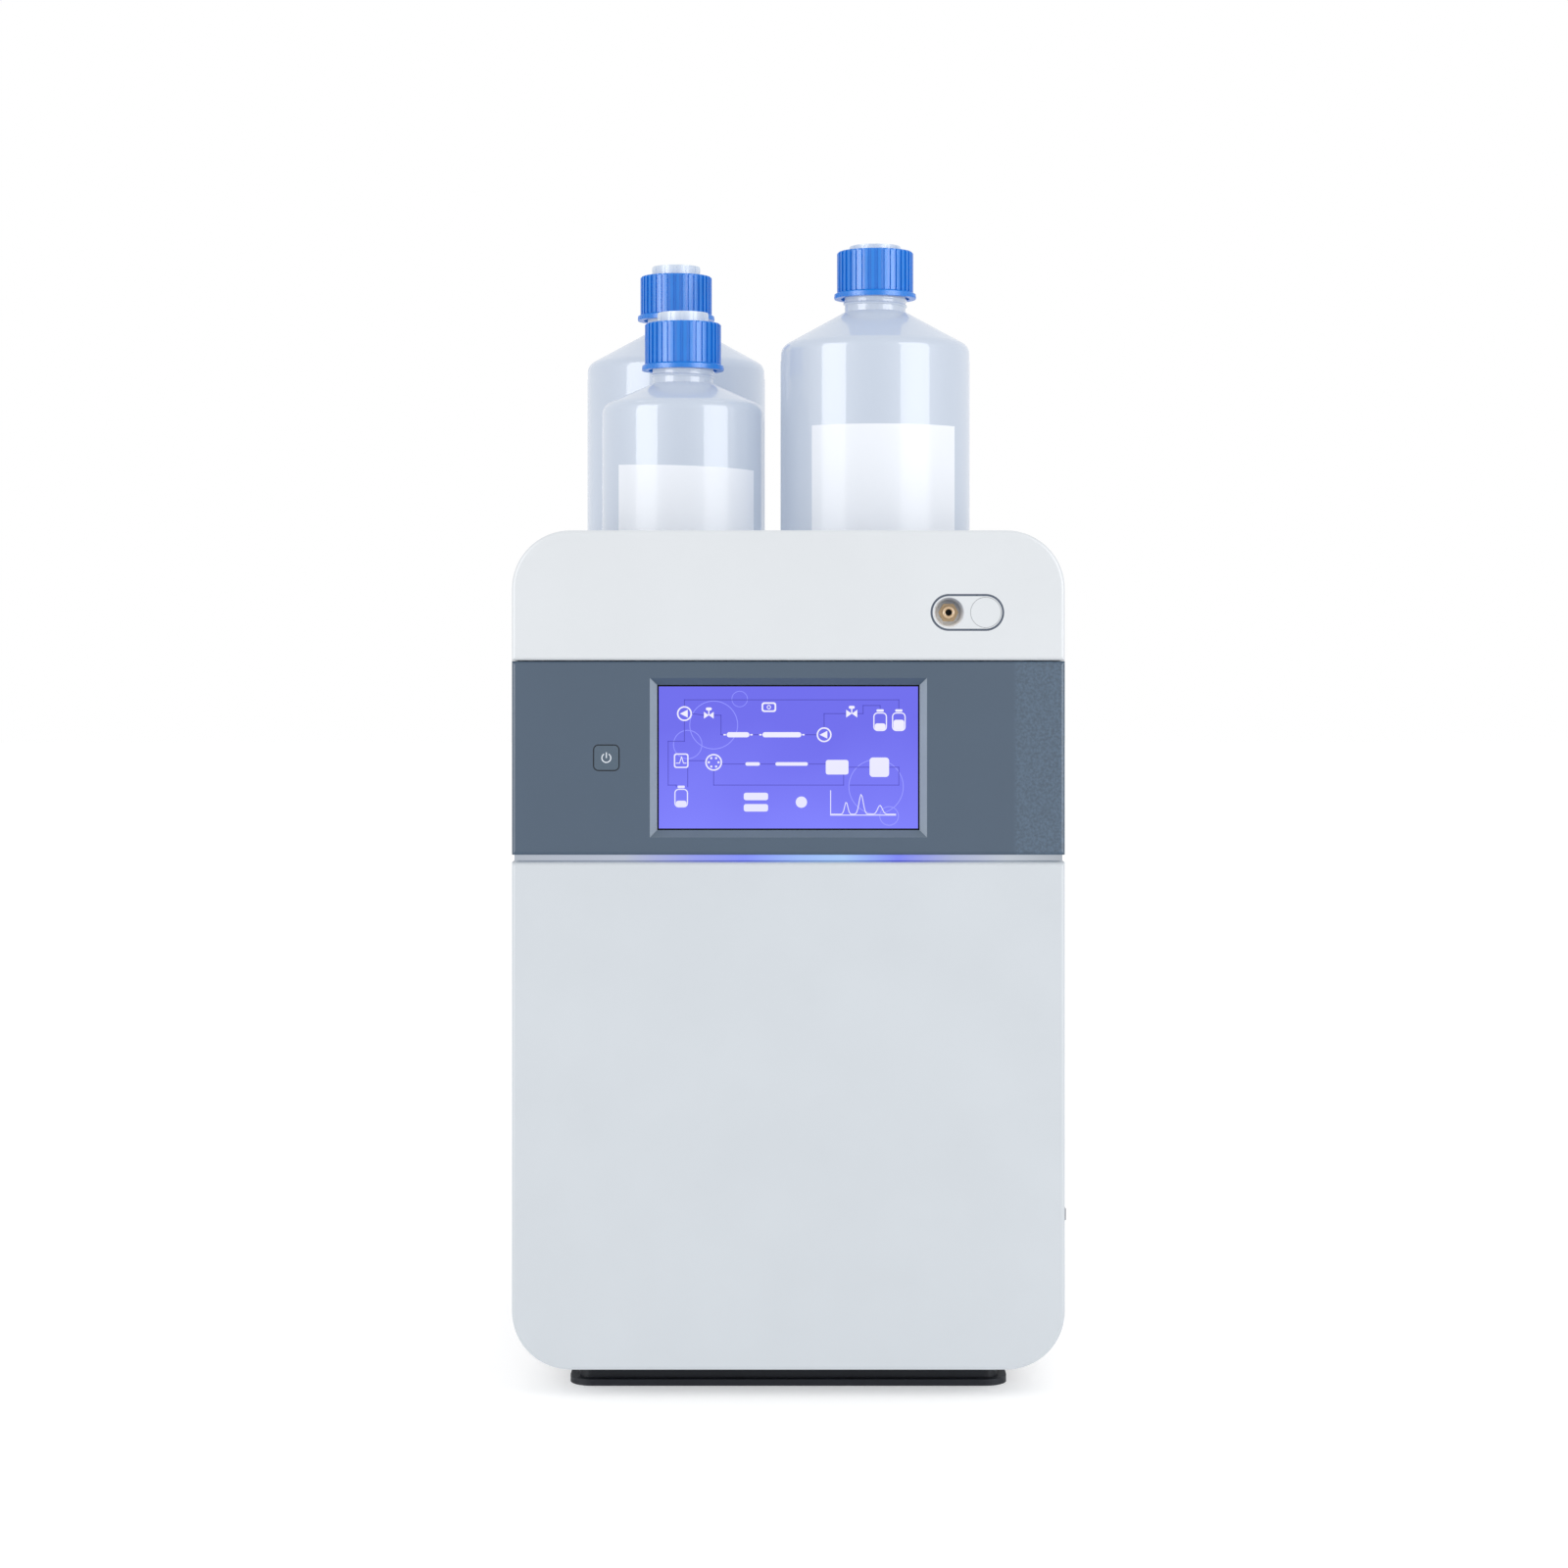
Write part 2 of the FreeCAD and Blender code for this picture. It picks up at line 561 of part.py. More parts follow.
def tie(item, kind, *where, text):
    """Add one dimension to a sketch and bind it to a formula."""
    index = item.addConstraint(Sketcher.Constraint(kind, *where, value(text)))
    item.setExpression(f"Constraints[{index}]", expression(text))


def outline(body, name, role, corners, offset="0"):
    """A closed outline of straight lines through corners given as formulas."""
    item = sketch(body, name, role, offset)
    points = [Vector(value(x), value(y), 0) for x, y in corners]
    count = len(points)
    for i in range(count):
        item.addGeometry(Part.LineSegment(points[i], points[(i + 1) % count]), False)
    for i in range(count):
        item.addConstraint(Sketcher.Constraint("Coincident", i, 2, (i + 1) % count, 1))
    for i, (x, y) in enumerate(corners):
        tie(item, "DistanceX", -1, 1, i, 1, text=x)
        tie(item, "DistanceY", -1, 1, i, 1, text=y)
    return item


def oblong(body, name, role, left, low, right, high, offset="0"):
    return outline(body, name, role, [(left, low), (right, low), (right, high), (left, high)], offset)


def circles(body, name, role, centres, radius, offset="0"):
    """Equal circles about centres given as formulas."""
    item = sketch(body, name, role, offset)
    for i, (x, y) in enumerate(centres):
        item.addGeometry(Part.Circle(Vector(value(x), value(y), 0), Vector(0, 0, 1), value(radius)), False)
        tie(item, "DistanceX", -1, 1, i, 3, text=x)
        tie(item, "DistanceY", -1, 1, i, 3, text=y)
        tie(item, "Radius", i, text=radius)
    return item


def pad(body, profile, length, back=False):
    item = body.newObject("PartDesign::Pad", profile.Name + "_pad")
    item.Profile = profile
    item.Reversed = back
    item.setExpression("Length", expression(length))
    DOC.recompute()
    return item


def pocket(body, profile, length, back=True):
    """Cut along the plane's normal, or against it, and make sure that material went."""
    before = body.Shape.Volume
    item = body.newObject("PartDesign::Pocket", profile.Name + "_pocket")
    item.Profile = profile
    item.Reversed = back
    item.setExpression("Length", expression(length))
    DOC.recompute()
    if body.Shape.Volume >= before:
        raise RuntimeError(f"{item.Name} cuts nothing")
    return item


def turned(body, corners):
    """Turn a section, drawn as radius and height, about the body's own Z axis."""
    profile = outline(body, body.Name + "_section", "XZ_Plane", corners)
    item = body.newObject("PartDesign::Revolution", body.Name + "_turned")
    item.Profile = profile
    item.ReferenceAxis = (profile, ["V_Axis"])
    item.Angle = 360
    DOC.recompute()
    return item


def soften(body, base, radius, numbers, kind="PartDesign::Fillet", size="Radius"):
    """Round or bevel chosen edges of a body's last feature."""
    item = body.newObject(kind, base.Name + "_soft")
    item.Base = (base, [f"Edge{number}" for number in numbers])
    item.setExpression(size, expression(radius))
    DOC.recompute()
    return item


def arched(body, name, role, half, low, high, radius, round_top):
    """A symmetrical outline whose two upper or two lower corners are arcs."""
    in_x, in_low, in_high = f"{half} - ({radius})", f"{low} + {radius}", f"{high} - ({radius})"
    if round_top:
        corners = [(f"-({half})", low), (half, low), (half, in_high),
                   (in_x, high), (f"-({in_x})", high), (f"-({half})", in_high)]
        arcs = {2: ((in_x, in_high), 0), 4: ((f"-({in_x})", in_high), 1)}
    else:
        corners = [(f"-({in_x})", low), (in_x, low), (half, in_low),
                   (half, high), (f"-({half})", high), (f"-({half})", in_low)]
        arcs = {1: ((in_x, in_low), 3), 5: ((f"-({in_x})", in_low), 2)}
    item = sketch(body, name, role)
    points = [Vector(value(x), value(y), 0) for x, y in corners]
    count = len(points)
    for i in range(count):
        if i in arcs:
            (x, y), quarter = arcs[i]
            circle = Part.Circle(Vector(value(x), value(y), 0), Vector(0, 0, 1), value(radius))
            item.addGeometry(Part.ArcOfCircle(circle, quarter * math.pi / 2, (quarter + 1) * math.pi / 2), False)
        else:
            item.addGeometry(Part.LineSegment(points[i], points[(i + 1) % count]), False)
    for i in range(count):
        item.addConstraint(Sketcher.Constraint("Coincident", i, 2, (i + 1) % count, 1))
        if i in arcs:
            tie(item, "Radius", i, text=radius)
        x, y = corners[i]
        tie(item, "DistanceX", -1, 1, i, 1, text=x)
        tie(item, "DistanceY", -1, 1, i, 1, text=y)
    return item


def front_shell(name, foot, height, round_top=None):
    """An open-backed front moulding; round_top tells which of its corners are rounded, if any."""
    body = new_body(name, ("0", FRONT_BACK, foot))
    wall = "moulding_wall"
    if round_top is None:
        face = oblong(body, name + "_face", "XZ_Plane", f"-{HALF}", "0", HALF, height)
    else:
        face = arched(body, name + "_face", "XZ_Plane", HALF, "0", height, "corner_radius", round_top)
    shape = pad(body, face, "front_depth")
    soften(body, shape, "edge_round", flat_edges(shape.Shape, "y", "-front_depth"))
    inner = f"({HALF} - {wall})"
    if round_top is None:
        hollow = oblong(body, name + "_hollow", "XZ_Plane", f"-{inner}", wall, inner, f"{height} - {wall}")
    else:
        hollow = arched(body, name + "_hollow", "XZ_Plane", inner, wall, f"{height} - {wall}",
                        f"(corner_radius - {wall})", round_top)
    pocket(body, hollow, f"front_depth - {wall}")
    return body


def boss_set(name, centres, start, end):
    """Screw bosses between two depths."""
    return [rod(f"{name}_{i}", (x, start, z), "boss_radius", f"{end} - ({start})", "y")
            for i, (x, z) in enumerate(centres)]


def make_plinth():
    """A moulded pan that stands on the bench and is closed above by the floor of the housing."""
    body = new_body("plinth", ("0", "0", "0"))
    wide, deep = f"({HALF} - plinth_side)", f"({REAR} - plinth_end)"
    shape = pad(body, oblong(body, "lip", "XY_Plane", f"-{wide}", f"-{deep}", wide, deep), "plinth_lip")
    soften(body, shape, "plinth_corner", edge_numbers(shape.Shape, along="z"))
    wide, deep = f"({wide} - plinth_step)", f"({deep} - plinth_step)"
    shape = pad(body, oblong(body, "rim", "XY_Plane", f"-{wide}", f"-{deep}", wide, deep), "plinth_height")
    corners = edge_numbers(shape.Shape, along="z", z="(plinth_height + plinth_lip) / 2")
    soften(body, shape, "plinth_corner - plinth_step", corners)
    wide, deep = f"({wide} - plinth_wall)", f"({deep} - plinth_wall)"
    hollow = oblong(body, "plinth_well", "XY_Plane", f"-{wide}", f"-{deep}", wide, deep, "plinth_height")
    pocket(body, hollow, "plinth_height - plinth_wall", False)
    node("base_plinth", body)


def make_floor_pan():
    half = CHASSIS_SIDE
    node("floor_pan", box("floor", (f"-{half}", CHASSIS_FRONT, "plinth_height + sheet_wall"),
                          f"2 * {half}", f"{PANEL_INSIDE} - {CHASSIS_FRONT}", "chassis_wall"))


def make_side_cover(name, side):
    """A folded sheet whose lower edge turns under the housing, with air slots near the rear."""
    body = new_body(name + "_sheet", ("0", REAR, "0"))
    out, skin = f"{side} * {HALF}", f"{side} * {SKIN}"
    tip = f"{side} * ({CHASSIS_SIDE} - cover_return)"
    corners = [(out, EAVES), (out, "plinth_height"), (tip, "plinth_height"),
               (tip, "plinth_height + sheet_wall"), (skin, "plinth_height + sheet_wall"), (skin, EAVES)]
    shape = pad(body, outline(body, name + "_fold", "XZ_Plane", corners), f"{REAR} - {COVER_FRONT}")
    shape = soften(body, shape, "corner_radius", edge_numbers(shape.Shape, along="y", x=out, z="plinth_height"))
    bend = edge_numbers(shape.Shape, along="y", x=skin, z="plinth_height + sheet_wall")
    soften(body, shape, "corner_radius - sheet_wall", bend)
    slots = []
    for row in range(AIR_SLOTS):
        foot = f"(plinth_height + vent_rise + {row} * vent_pitch)"
        slots.append(plate(f"{name}_slot", side, SKIN, HALF, f"({REAR} - vent_inset - vent_length)",
                           f"({REAR} - vent_inset)", foot, f"({foot} + vent_height)"))
    node(name, cut(name, body, *slots))


def make_chassis_plate(name, side):
    """A folded channel: web beside the module bay, flanges for the front pieces and the rear panel."""
    sheet = "chassis_wall"
    low, high = "(plinth_height + corner_radius)", f"({EAVES} - fit_gap)"
    web = plate(name + "_web", side, WEB_INSIDE, CHASSIS_SIDE, BAY_FRONT, PANEL_INSIDE, FLOOR_TOP, TRAY_UNDERSIDE)
    pieces = [web]
    for end, y in (("front", CHASSIS_FRONT), ("rear", f"({PANEL_INSIDE} - {sheet})")):
        pieces.append(plate(f"{name}_{end}", side, WEB_INSIDE, SKIN, y, f"{y} + {sheet}", low, high))
    for end, y in (("front", CHASSIS_FRONT), ("rear", f"({PANEL_INSIDE} - chassis_lip)")):
        edge = f"({SKIN} - {sheet})"
        pieces.append(plate(f"{name}_{end}_lip", side, edge, SKIN, y, f"{y} + chassis_lip", low, high))
    node(name, fuse(name, *pieces))


def plate(name, side, x_near, x_far, y_near, y_far, low, high):
    """A plate between two distances from the middle, on the left (-1) or the right (1)."""
    x = x_near if side > 0 else f"-{x_far}"
    return box(name, (x, y_near, low), f"{x_far} - {x_near}", f"{y_far} - {y_near}", f"{high} - {low}")


def make_roof():
    """The moulded roof, with the bottle tray sunk in it."""
    length = f"{REAR} - {COVER_FRONT}"
    block = box("roof_block", (f"-{HALF}", COVER_FRONT, EAVES), "body_width", length, "cap_height")
    DOC.recompute()
    skin = round_edges("roof_skin", block, "corner_radius", edge_numbers(block.Shape, along="y", z=ROOF))
    wall = "moulding_wall"
    core = box("roof_core", (f"{wall} - {HALF}", f"{COVER_FRONT} + {wall}", EAVES),
               f"body_width - 2 * {wall}", f"{length} - 2 * {wall}", f"cap_height - {wall}")
    DOC.recompute()
    inside = round_edges("roof_inside", core, f"corner_radius - {wall}",
                         edge_numbers(core.Shape, along="y", z=f"{ROOF} - {wall}"))
    tray_y = f"({COVER_FRONT} + tray_front_rim)"
    tray_length = f"({length} - tray_front_rim - tray_rear_rim)"
    pan = rounded_box("tray_pan", (f"-tray_width / 2 - {wall}", f"{tray_y} - {wall}", f"{TRAY_FLOOR} - {wall}"),
                      f"tray_width + 2 * {wall}", f"{tray_length} + 2 * {wall}", f"tray_depth + {wall}",
                      f"tray_corner + {wall}")
    pan_in_roof = DOC.addObject("Part::MultiCommon", "tray_pan_in_roof")
    pan_in_roof.Shapes = [pan, skin]
    shell = fuse("roof_shell", cut("roof_hollowed", skin, inside), pan_in_roof)
    well = rounded_box("tray_well", ("-tray_width / 2", tray_y, TRAY_FLOOR), "tray_width", tray_length,
                       "2 * tray_depth", "tray_corner")
    node("top_tray", cut("roof", shell, well))


def make_rear_panel():
    body = new_body("rear_panel", ("0", PANEL_OUTSIDE, "0"))
    low = "(plinth_height + sheet_wall + fit_gap)"
    face = arched(body, "rear_face", "XZ_Plane", f"({SKIN} - fit_gap)", low, f"{EAVES} - fit_gap",
                  "(corner_radius - sheet_wall - fit_gap)", False)
    pad(body, face, "chassis_wall")
    fan = rod("fan_opening", (FAN_X, PANEL_INSIDE, "fan_height"), "fan_bore", "chassis_wall", "y")
    inlet = box("inlet_opening", (f"{INLET_X} - inlet_width / 2", PANEL_INSIDE, "inlet_height - inlet_tall / 2"),
                "inlet_width", "chassis_wall", "inlet_tall")
    block = box("connector_opening", (f"{BLOCK_X} - block_width / 2", PANEL_INSIDE, "block_height - block_tall / 2"),
                "block_width", "chassis_wall", "block_tall")
    node("rear_panel", cut("rear_plate", body, fan, inlet, block))


def make_upper_fascia():
    shell = front_shell("upper_shell", UPPER_FOOT, "upper_height", True)
    side = f"({HALF} - boss_inset)"
    low = f"{UPPER_FOOT} + boss_inset / 2"
    bosses = boss_set("upper_boss", [(f"-{side}", low), (side, low)], f"{FRONT} + moulding_wall / 2", CHASSIS_FRONT)
    hole = slot("port_opening", WELL_X, DISC_X, FRONT, PORT_Z, "port_radius", "moulding_wall * 2")
    node("upper_fascia", cut("upper_moulding", fuse("upper_with_bosses", shell, *bosses), hole))


def make_display_band():
    """The grey band, thickened and bevelled round the screen."""
    shell = front_shell("band_shell", BAND_FOOT, "(band_height - seam)")
    side, wide, tall = f"({HALF} - boss_inset)", "window_width", "window_height"
    rows = (f"{BAND_FOOT} + boss_inset", f"{UPPER_FOOT} - boss_inset")
    bosses = boss_set("band_boss", [(f"{sign} * {side}", z) for sign in ("-1", "1") for z in rows],
                      f"{FRONT} + moulding_wall / 2", CHASSIS_FRONT)
    rim, half_wall = "(glass_overlap + moulding_wall)", f"{FRONT} + moulding_wall / 2"
    frame = box("bezel_frame", (f"-{wide} / 2 - {rim}", half_wall, f"{BAND_MIDDLE} - {tall} / 2 - {rim}"),
                f"{wide} + 2 * {rim}", "bezel_wall - moulding_wall / 2", f"{tall} + 2 * {rim}")
    opening = box("window", (f"-{wide} / 2", FRONT, f"{BAND_MIDDLE} - {tall} / 2"), wide, "bezel_wall * 2", tall)
    bevel = DOC.addObject("Part::Wedge", "bezel")
    for side_name, text in (("Xmin", f"-{wide} / 2 - bezel_width"), ("Xmax", f"{wide} / 2 + bezel_width"),
                            ("X2min", f"-{wide} / 2"), ("X2max", f"{wide} / 2"), ("Ymin", "0"),
                            ("Ymax", "bezel_depth"), ("Zmin", f"-{tall} / 2 - bezel_width"),
                            ("Zmax", f"{tall} / 2 + bezel_width"), ("Z2min", f"-{tall} / 2"), ("Z2max", f"{tall} / 2")):
        bevel.setExpression(side_name, expression(text))
    at(bevel, ("0", FRONT, BAND_MIDDLE))
    size = "(button_size + 2 * fit_gap)"
    key = rounded_box("button_opening", (f"-button_offset - {size} / 2", FRONT, f"{BAND_MIDDLE} - {size} / 2"),
                      size, "moulding_wall * 2", size, "button_corner + fit_gap", "y")
    places = [(f"{sign} * board_post - button_offset", BAND_MIDDLE) for sign in ("-1", "1")]
    posts = boss_set("board_post", places, half_wall, BOARD_FRONT)
    whole = fuse("band_with_bosses", shell, frame, *bosses, *posts)
    node("display_band", cut("band_moulding", whole, opening, bevel, key))


def make_light_bar():
    half = f"({HALF} - light_end)"
    strip = box("light_strip", (f"-{half}", f"{FRONT} + light_inset", f"{BAND_FOOT} - light_wall"),
                f"2 * {half}", "light_depth", "light_wall")
    node("light_bar", strip)


def hinge_heights():
    return [("lower", "(plinth_height + lower_hinge)"), ("upper", f"({DOOR_TOP} - upper_hinge)")]


def make_front_door():
    """The lower door: an open-backed moulding with a rolled hinge edge."""
    shell = front_shell("door_shell", "plinth_height", "door_height", False)
    trim = box("door_trim", (f"-{HALF}", HINGE_Y, "plinth_height"), "roll_room", "hinge_roll", "door_height")
    roll_foot = "(plinth_height + corner_radius)"
    roll = rod("door_roll", (HINGE_X, HINGE_Y, roll_foot), "hinge_roll", f"{DOOR_TOP} - {roll_foot}")
    corners = [(f"{sign} * ({HALF} - post_side)", z) for sign in ("-1", "1")
               for z in ("plinth_height + post_end", f"{DOOR_TOP} - post_end")]
    posts = boss_set("door_post", corners, f"{FRONT} + moulding_wall / 2", LINER_FRONT)
    openings = []
    notch, bore = "(knuckle_length + 2 * knuckle_gap)", "(pin_length + 2 * knuckle_gap)"
    for name, z in hinge_heights():
        openings.append(box(f"{name}_notch", (f"-{HALF}", f"{FRONT_BACK} - knuckle_relief", f"{z} - {notch} / 2"),
                            "2 * hinge_roll", "knuckle_relief", notch))
        openings.append(rod(f"{name}_bore", (HINGE_X, HINGE_Y, f"{z} - {bore} / 2"), "pin_radius + running_gap", bore))
    pull = box("pull_seat", (f"{HALF} - moulding_wall", f"{FRONT_BACK} - 2 * pull_depth", PULL_FOOT),
               "moulding_wall", "pull_depth", "pull_height")
    whole = fuse("door_with_roll", cut("door_trimmed", shell, trim), roll, *posts)
    node("front_door", cut("door_moulding", whole, *openings, pull))


def make_door_fittings():
    """The ribbed inner skin, its magnets and their catch plates, and the finger tab."""
    gap = "(moulding_wall + fit_gap)"
    body = new_body("door_liner", ("0", f"{FRONT_BACK} - liner_inset", "plinth_height"))
    edge = f"({HALF} - {gap})"
    sheet = oblong(body, "liner_sheet", "XZ_Plane", f"roll_room - {HALF}", gap, edge, f"door_height - {gap}")
    shape = pad(body, sheet, "liner_wall")
    soften(body, shape, f"corner_radius - {gap}", edge_numbers(shape.Shape, along="y", z=gap))
    for side, sign in (("left", "-1"), ("right", "1")):
        middle = f"{sign} * rib_spread"
        rib = oblong(body, f"{side}_rib", "XZ_Plane", f"{middle} - rib_broad / 2", "rib_end",
                     f"{middle} + rib_broad / 2", "door_height - rib_end")
        pad(body, rib, "liner_rib", True)
    node("door_liner", body)
    spot = f"({HALF} - boss_inset)"
    magnets, plates = [], []
    for name, z in (("lower", "(plinth_height + lower_catch)"), ("upper", f"({DOOR_TOP} - upper_catch)")):
        magnets.append(rod(f"{name}_magnet", (spot, f"{FRONT_BACK} - liner_inset", z), "magnet_radius",
                           "liner_inset + leaf_wall - catch_wall - magnet_gap", "y"))
        corner = (f"{spot} - catch_size / 2", f"{CHASSIS_FRONT} - catch_wall", f"{z} - catch_size / 2")
        plates.append(box(f"{name}_catch", corner, "catch_size", "catch_wall", "catch_size"))
    node("door_magnets", group("magnets", *magnets))
    node("catch_plates", group("catches", *plates))
    tab = rounded_box("pull_tab", (f"{HALF} - moulding_wall", f"{FRONT_BACK} - 2 * pull_depth", PULL_FOOT),
                      "moulding_wall + pull_proud", "pull_depth", "pull_height", "pull_proud / 2", "y")
    node("door_pull", tab)


def make_hinges():
    """Two fixed knuckles on leaves, each with its pin."""
    leaves, pins = [], []
    for name, z in hinge_heights():
        knuckle = rod(f"{name}_knuckle", (HINGE_X, HINGE_Y, f"{z} - knuckle_length / 2"), "hinge_roll", "knuckle_length")
        neck = box(f"{name}_neck", (f"{HINGE_X} - pin_radius", HINGE_Y, f"{z} - knuckle_length / 2"),
                   "pin_radius + hinge_roll", "hinge_roll + leaf_wall", "knuckle_length")
        leaf = box(f"{name}_leaf", (f"{HINGE_X} + pin_radius", FRONT_BACK, f"{z} - leaf_height / 2"),
                   "leaf_width", "leaf_wall", "leaf_height")
        bore = rod(f"{name}_pin_bore", (HINGE_X, HINGE_Y, f"{z} - knuckle_length / 2"), "pin_radius", "knuckle_length")
        leaves.append(cut(f"{name}_hinge", fuse(f"{name}_hinge_blank", knuckle, neck, leaf), bore))
        pins.append(rod(f"{name}_pin", (HINGE_X, HINGE_Y, f"{z} - pin_length / 2"), "pin_radius", "pin_length"))
    node("door_hinges", group("hinges", *leaves))
    node("hinge_pins", group("pins", *pins))


def make_screen():
    half, tall = "(window_width / 2 + glass_overlap)", "(window_height / 2 + glass_overlap)"
    glass_y = f"({FRONT} + bezel_wall)"
    node("touch_glass", box("glass", (f"-{half}", glass_y, f"{BAND_MIDDLE} - {tall}"),
                            f"2 * {half}", "glass_wall", f"2 * {tall}"))
    node("display_module", box("display", (f"-{half}", f"{glass_y} + glass_wall", f"{BAND_MIDDLE} - {tall}"),
                               f"2 * {half}", "display_depth", f"2 * {tall}"))


def make_power_button():
    size, x = "button_size", "-button_offset"
    key = rounded_box("key", (f"{x} - {size} / 2", FRONT, f"{BAND_MIDDLE} - {size} / 2"),
                      size, "button_depth", size, "button_corner", "y")
    wide = f"({size} + 2 * button_flange)"
    seat = f"{FRONT} + moulding_wall + fit_gap"
    flange = box("key_flange", (f"{x} - {wide} / 2", seat, f"{BAND_MIDDLE} - {wide} / 2"), wide, "button_flange", wide)
    node("power_button", fuse("key_with_flange", key, flange))
    switch = box("switch", (f"{x} - switch_size / 2", SWITCH_FRONT, f"{BAND_MIDDLE} - switch_size / 2"),
                 "switch_size", "switch_depth", "switch_size")
    board = box("board", (f"{x} - board_size / 2", BOARD_FRONT, f"{BAND_MIDDLE} - board_tall / 2"),
                "board_size", "board_wall", "board_tall")
    node("button_switch", fuse("switch_on_board", switch, board))


def make_port():
    """The oval port plate with the syringe port in its well and a blanking disc."""
    outer = slot("rim_outer", WELL_X, DISC_X, FRONT, PORT_Z, "port_radius", "moulding_wall")
    inner = slot("rim_inner", WELL_X, DISC_X, FRONT, PORT_Z, "port_radius - rim_wall", "moulding_wall")
    node("port_rim", cut("rim", outer, inner))
    plug = slot("insert_plug", WELL_X, DISC_X, FRONT, PORT_Z, "port_radius - rim_wall", "insert_depth")
    well = cone("well", (WELL_X, FRONT, PORT_Z), "well_radius", "well_floor", "well_depth", "y")
    stem_hole = rod("stem_hole", (WELL_X, FRONT, PORT_Z), "stem_radius", "insert_depth", "y")
    seat = rod("disc_seat", (DISC_X, FRONT, PORT_Z), "well_radius + fit_gap / 2", "disc_wall", "y")
    node("port_insert", cut("insert", plug, well, stem_hole, seat))
    node("blanking_disc", rod("disc", (DISC_X, FRONT, PORT_Z), "well_radius", "disc_wall", "y"))
    floor = f"({FRONT} + well_depth)"
    nut = hexagon("nut", (WELL_X, floor, PORT_Z), "nut_flats", "nut_length", "-y")
    nose = rod("nose", (WELL_X, f"{floor} - nut_length", PORT_Z), "nose_radius", "nose_length", "-y")
    stem = rod("stem", (WELL_X, floor, PORT_Z), "stem_radius", "stem_length", "y")
    mouth = f"({floor} - nut_length - nose_length)"
    bore = rod("syringe_bore", (WELL_X, mouth, PORT_Z), "syringe_radius", "syringe_depth", "y")
    node("injection_port", cut("port", fuse("port_blank", nut, nose, stem), bore))


def make_bay():
    """The open-fronted module bay and its drip tray."""
    sheet = "chassis_wall"
    floor = "(plinth_height + bay_rise)"
    case = box("bay_case", (f"-{BAY_HALF}", BAY_FRONT, floor), f"2 * {BAY_HALF}", "bay_depth", "bay_height")
    room = box("bay_room", (f"-{BAY_INSIDE}", BAY_FRONT, BAY_FLOOR), f"2 * {BAY_INSIDE}",
               f"bay_depth - {sheet}", f"bay_height - 2 * {sheet}")
    node("module_bay", cut("bay", case, room))
    half, inner = f"({BAY_INSIDE} - drip_gap)", f"({BAY_INSIDE} - drip_gap - drip_wall)"
    tray = rounded_box("drip_block", (f"-{half}", f"{BAY_FRONT} + drip_gap", BAY_FLOOR), f"2 * {half}",
                       f"bay_depth - {sheet} - 2 * drip_gap", "drip_height", "module_round")
    well = box("drip_well", (f"-{inner}", f"{BAY_FRONT} + drip_gap + drip_wall", f"{BAY_FLOOR} + drip_wall"),
               f"2 * {inner}", f"bay_depth - {sheet} - 2 * (drip_gap + drip_wall)", "drip_height")
    node("drip_tray", cut("drip", tray, well))


def make_pump():
    """The dual pump: housing, two heads with their check valves, and the purge valve."""
    case = box("pump_case", (f"{PUMP_X} - pump_width / 2", PUMP_FRONT, PUMP_FOOT),
               "pump_width", "pump_depth", "pump_height")
    DOC.recompute()
    node("pump_housing", round_edges("pump_case_rounded", case, "module_round",
                                     edge_numbers(case.Shape, along="z", y=PUMP_FRONT)))
    heads = []
    for side in ("-1", "1"):
        x = f"({PUMP_X} + {side} * head_spacing / 2)"
        barrel = rod("head", (x, PUMP_FRONT, HEAD_Z), "head_radius", "head_length", "-y")
        valves = rod("check_valves", (x, CHECK_Y, f"{HEAD_Z} - head_radius - check_length"), "check_radius",
                     "2 * (head_radius + check_length)")
        bolts = []
        for turn in range(45, 360, 360 // HEAD_BOLTS):
            across, up = f"bolt_circle * cos({turn})", f"bolt_circle * sin({turn})"
            place = (f"{x} + {across}", f"{PUMP_FRONT} - head_length", f"{HEAD_Z} + {up}")
            bolts.append(rod("head_bolt", place, "bolt_radius", "bolt_head", "-y"))
        heads.append(fuse("pump_head", barrel, valves, *bolts))
    node("pump_heads", group("heads", *heads))
    block = box("purge_block", (f"{PUMP_X} - purge_size / 2", PURGE_FRONT, f"{PURGE_Z} - purge_size / 2"),
                "purge_size", "purge_depth", "purge_size")
    bore = rod("purge_bore", (PUMP_X, PURGE_FRONT, PURGE_Z), "spindle_radius + running_gap",
               "spindle_length + spindle_room", "y")
    node("purge_valve", cut("purge_body", block, bore))


def make_purge_knob():
    """A fluted knob turned on its spindle."""
    body = new_body("knob", (PUMP_X, f"{PURGE_FRONT} - knob_gap", PURGE_Z), "-y")
    turned(body, [("0", "-spindle_length - knob_gap"), ("spindle_radius", "-spindle_length - knob_gap"),
                  ("spindle_radius", "0"), ("knob_radius", "0"), ("knob_radius", "knob_length - knob_bevel"),
                  ("knob_radius - knob_bevel", "knob_length"), ("0", "knob_length")])
    ring = circles(body, "flute", "XY_Plane", [("knob_radius + flute_shift", "0")], "flute_radius")
    flute = pocket(body, ring, "knob_length")
    repeat(body, flute, FLUTES)
    node("purge_knob", body)


def repeat(body, feature, count):
    """Repeat a cut or pad evenly about the body's own Z axis."""
    item = body.newObject("PartDesign::PolarPattern", feature.Name + "_round")
    item.Originals = [feature]
    item.Axis = (next(line for line in body.Origin.OriginFeatures if line.Role == "Z_Axis"), [""])
    item.Angle = 360
    item.Occurrences = count
    body.Tip = item
    DOC.recompute()
    return item


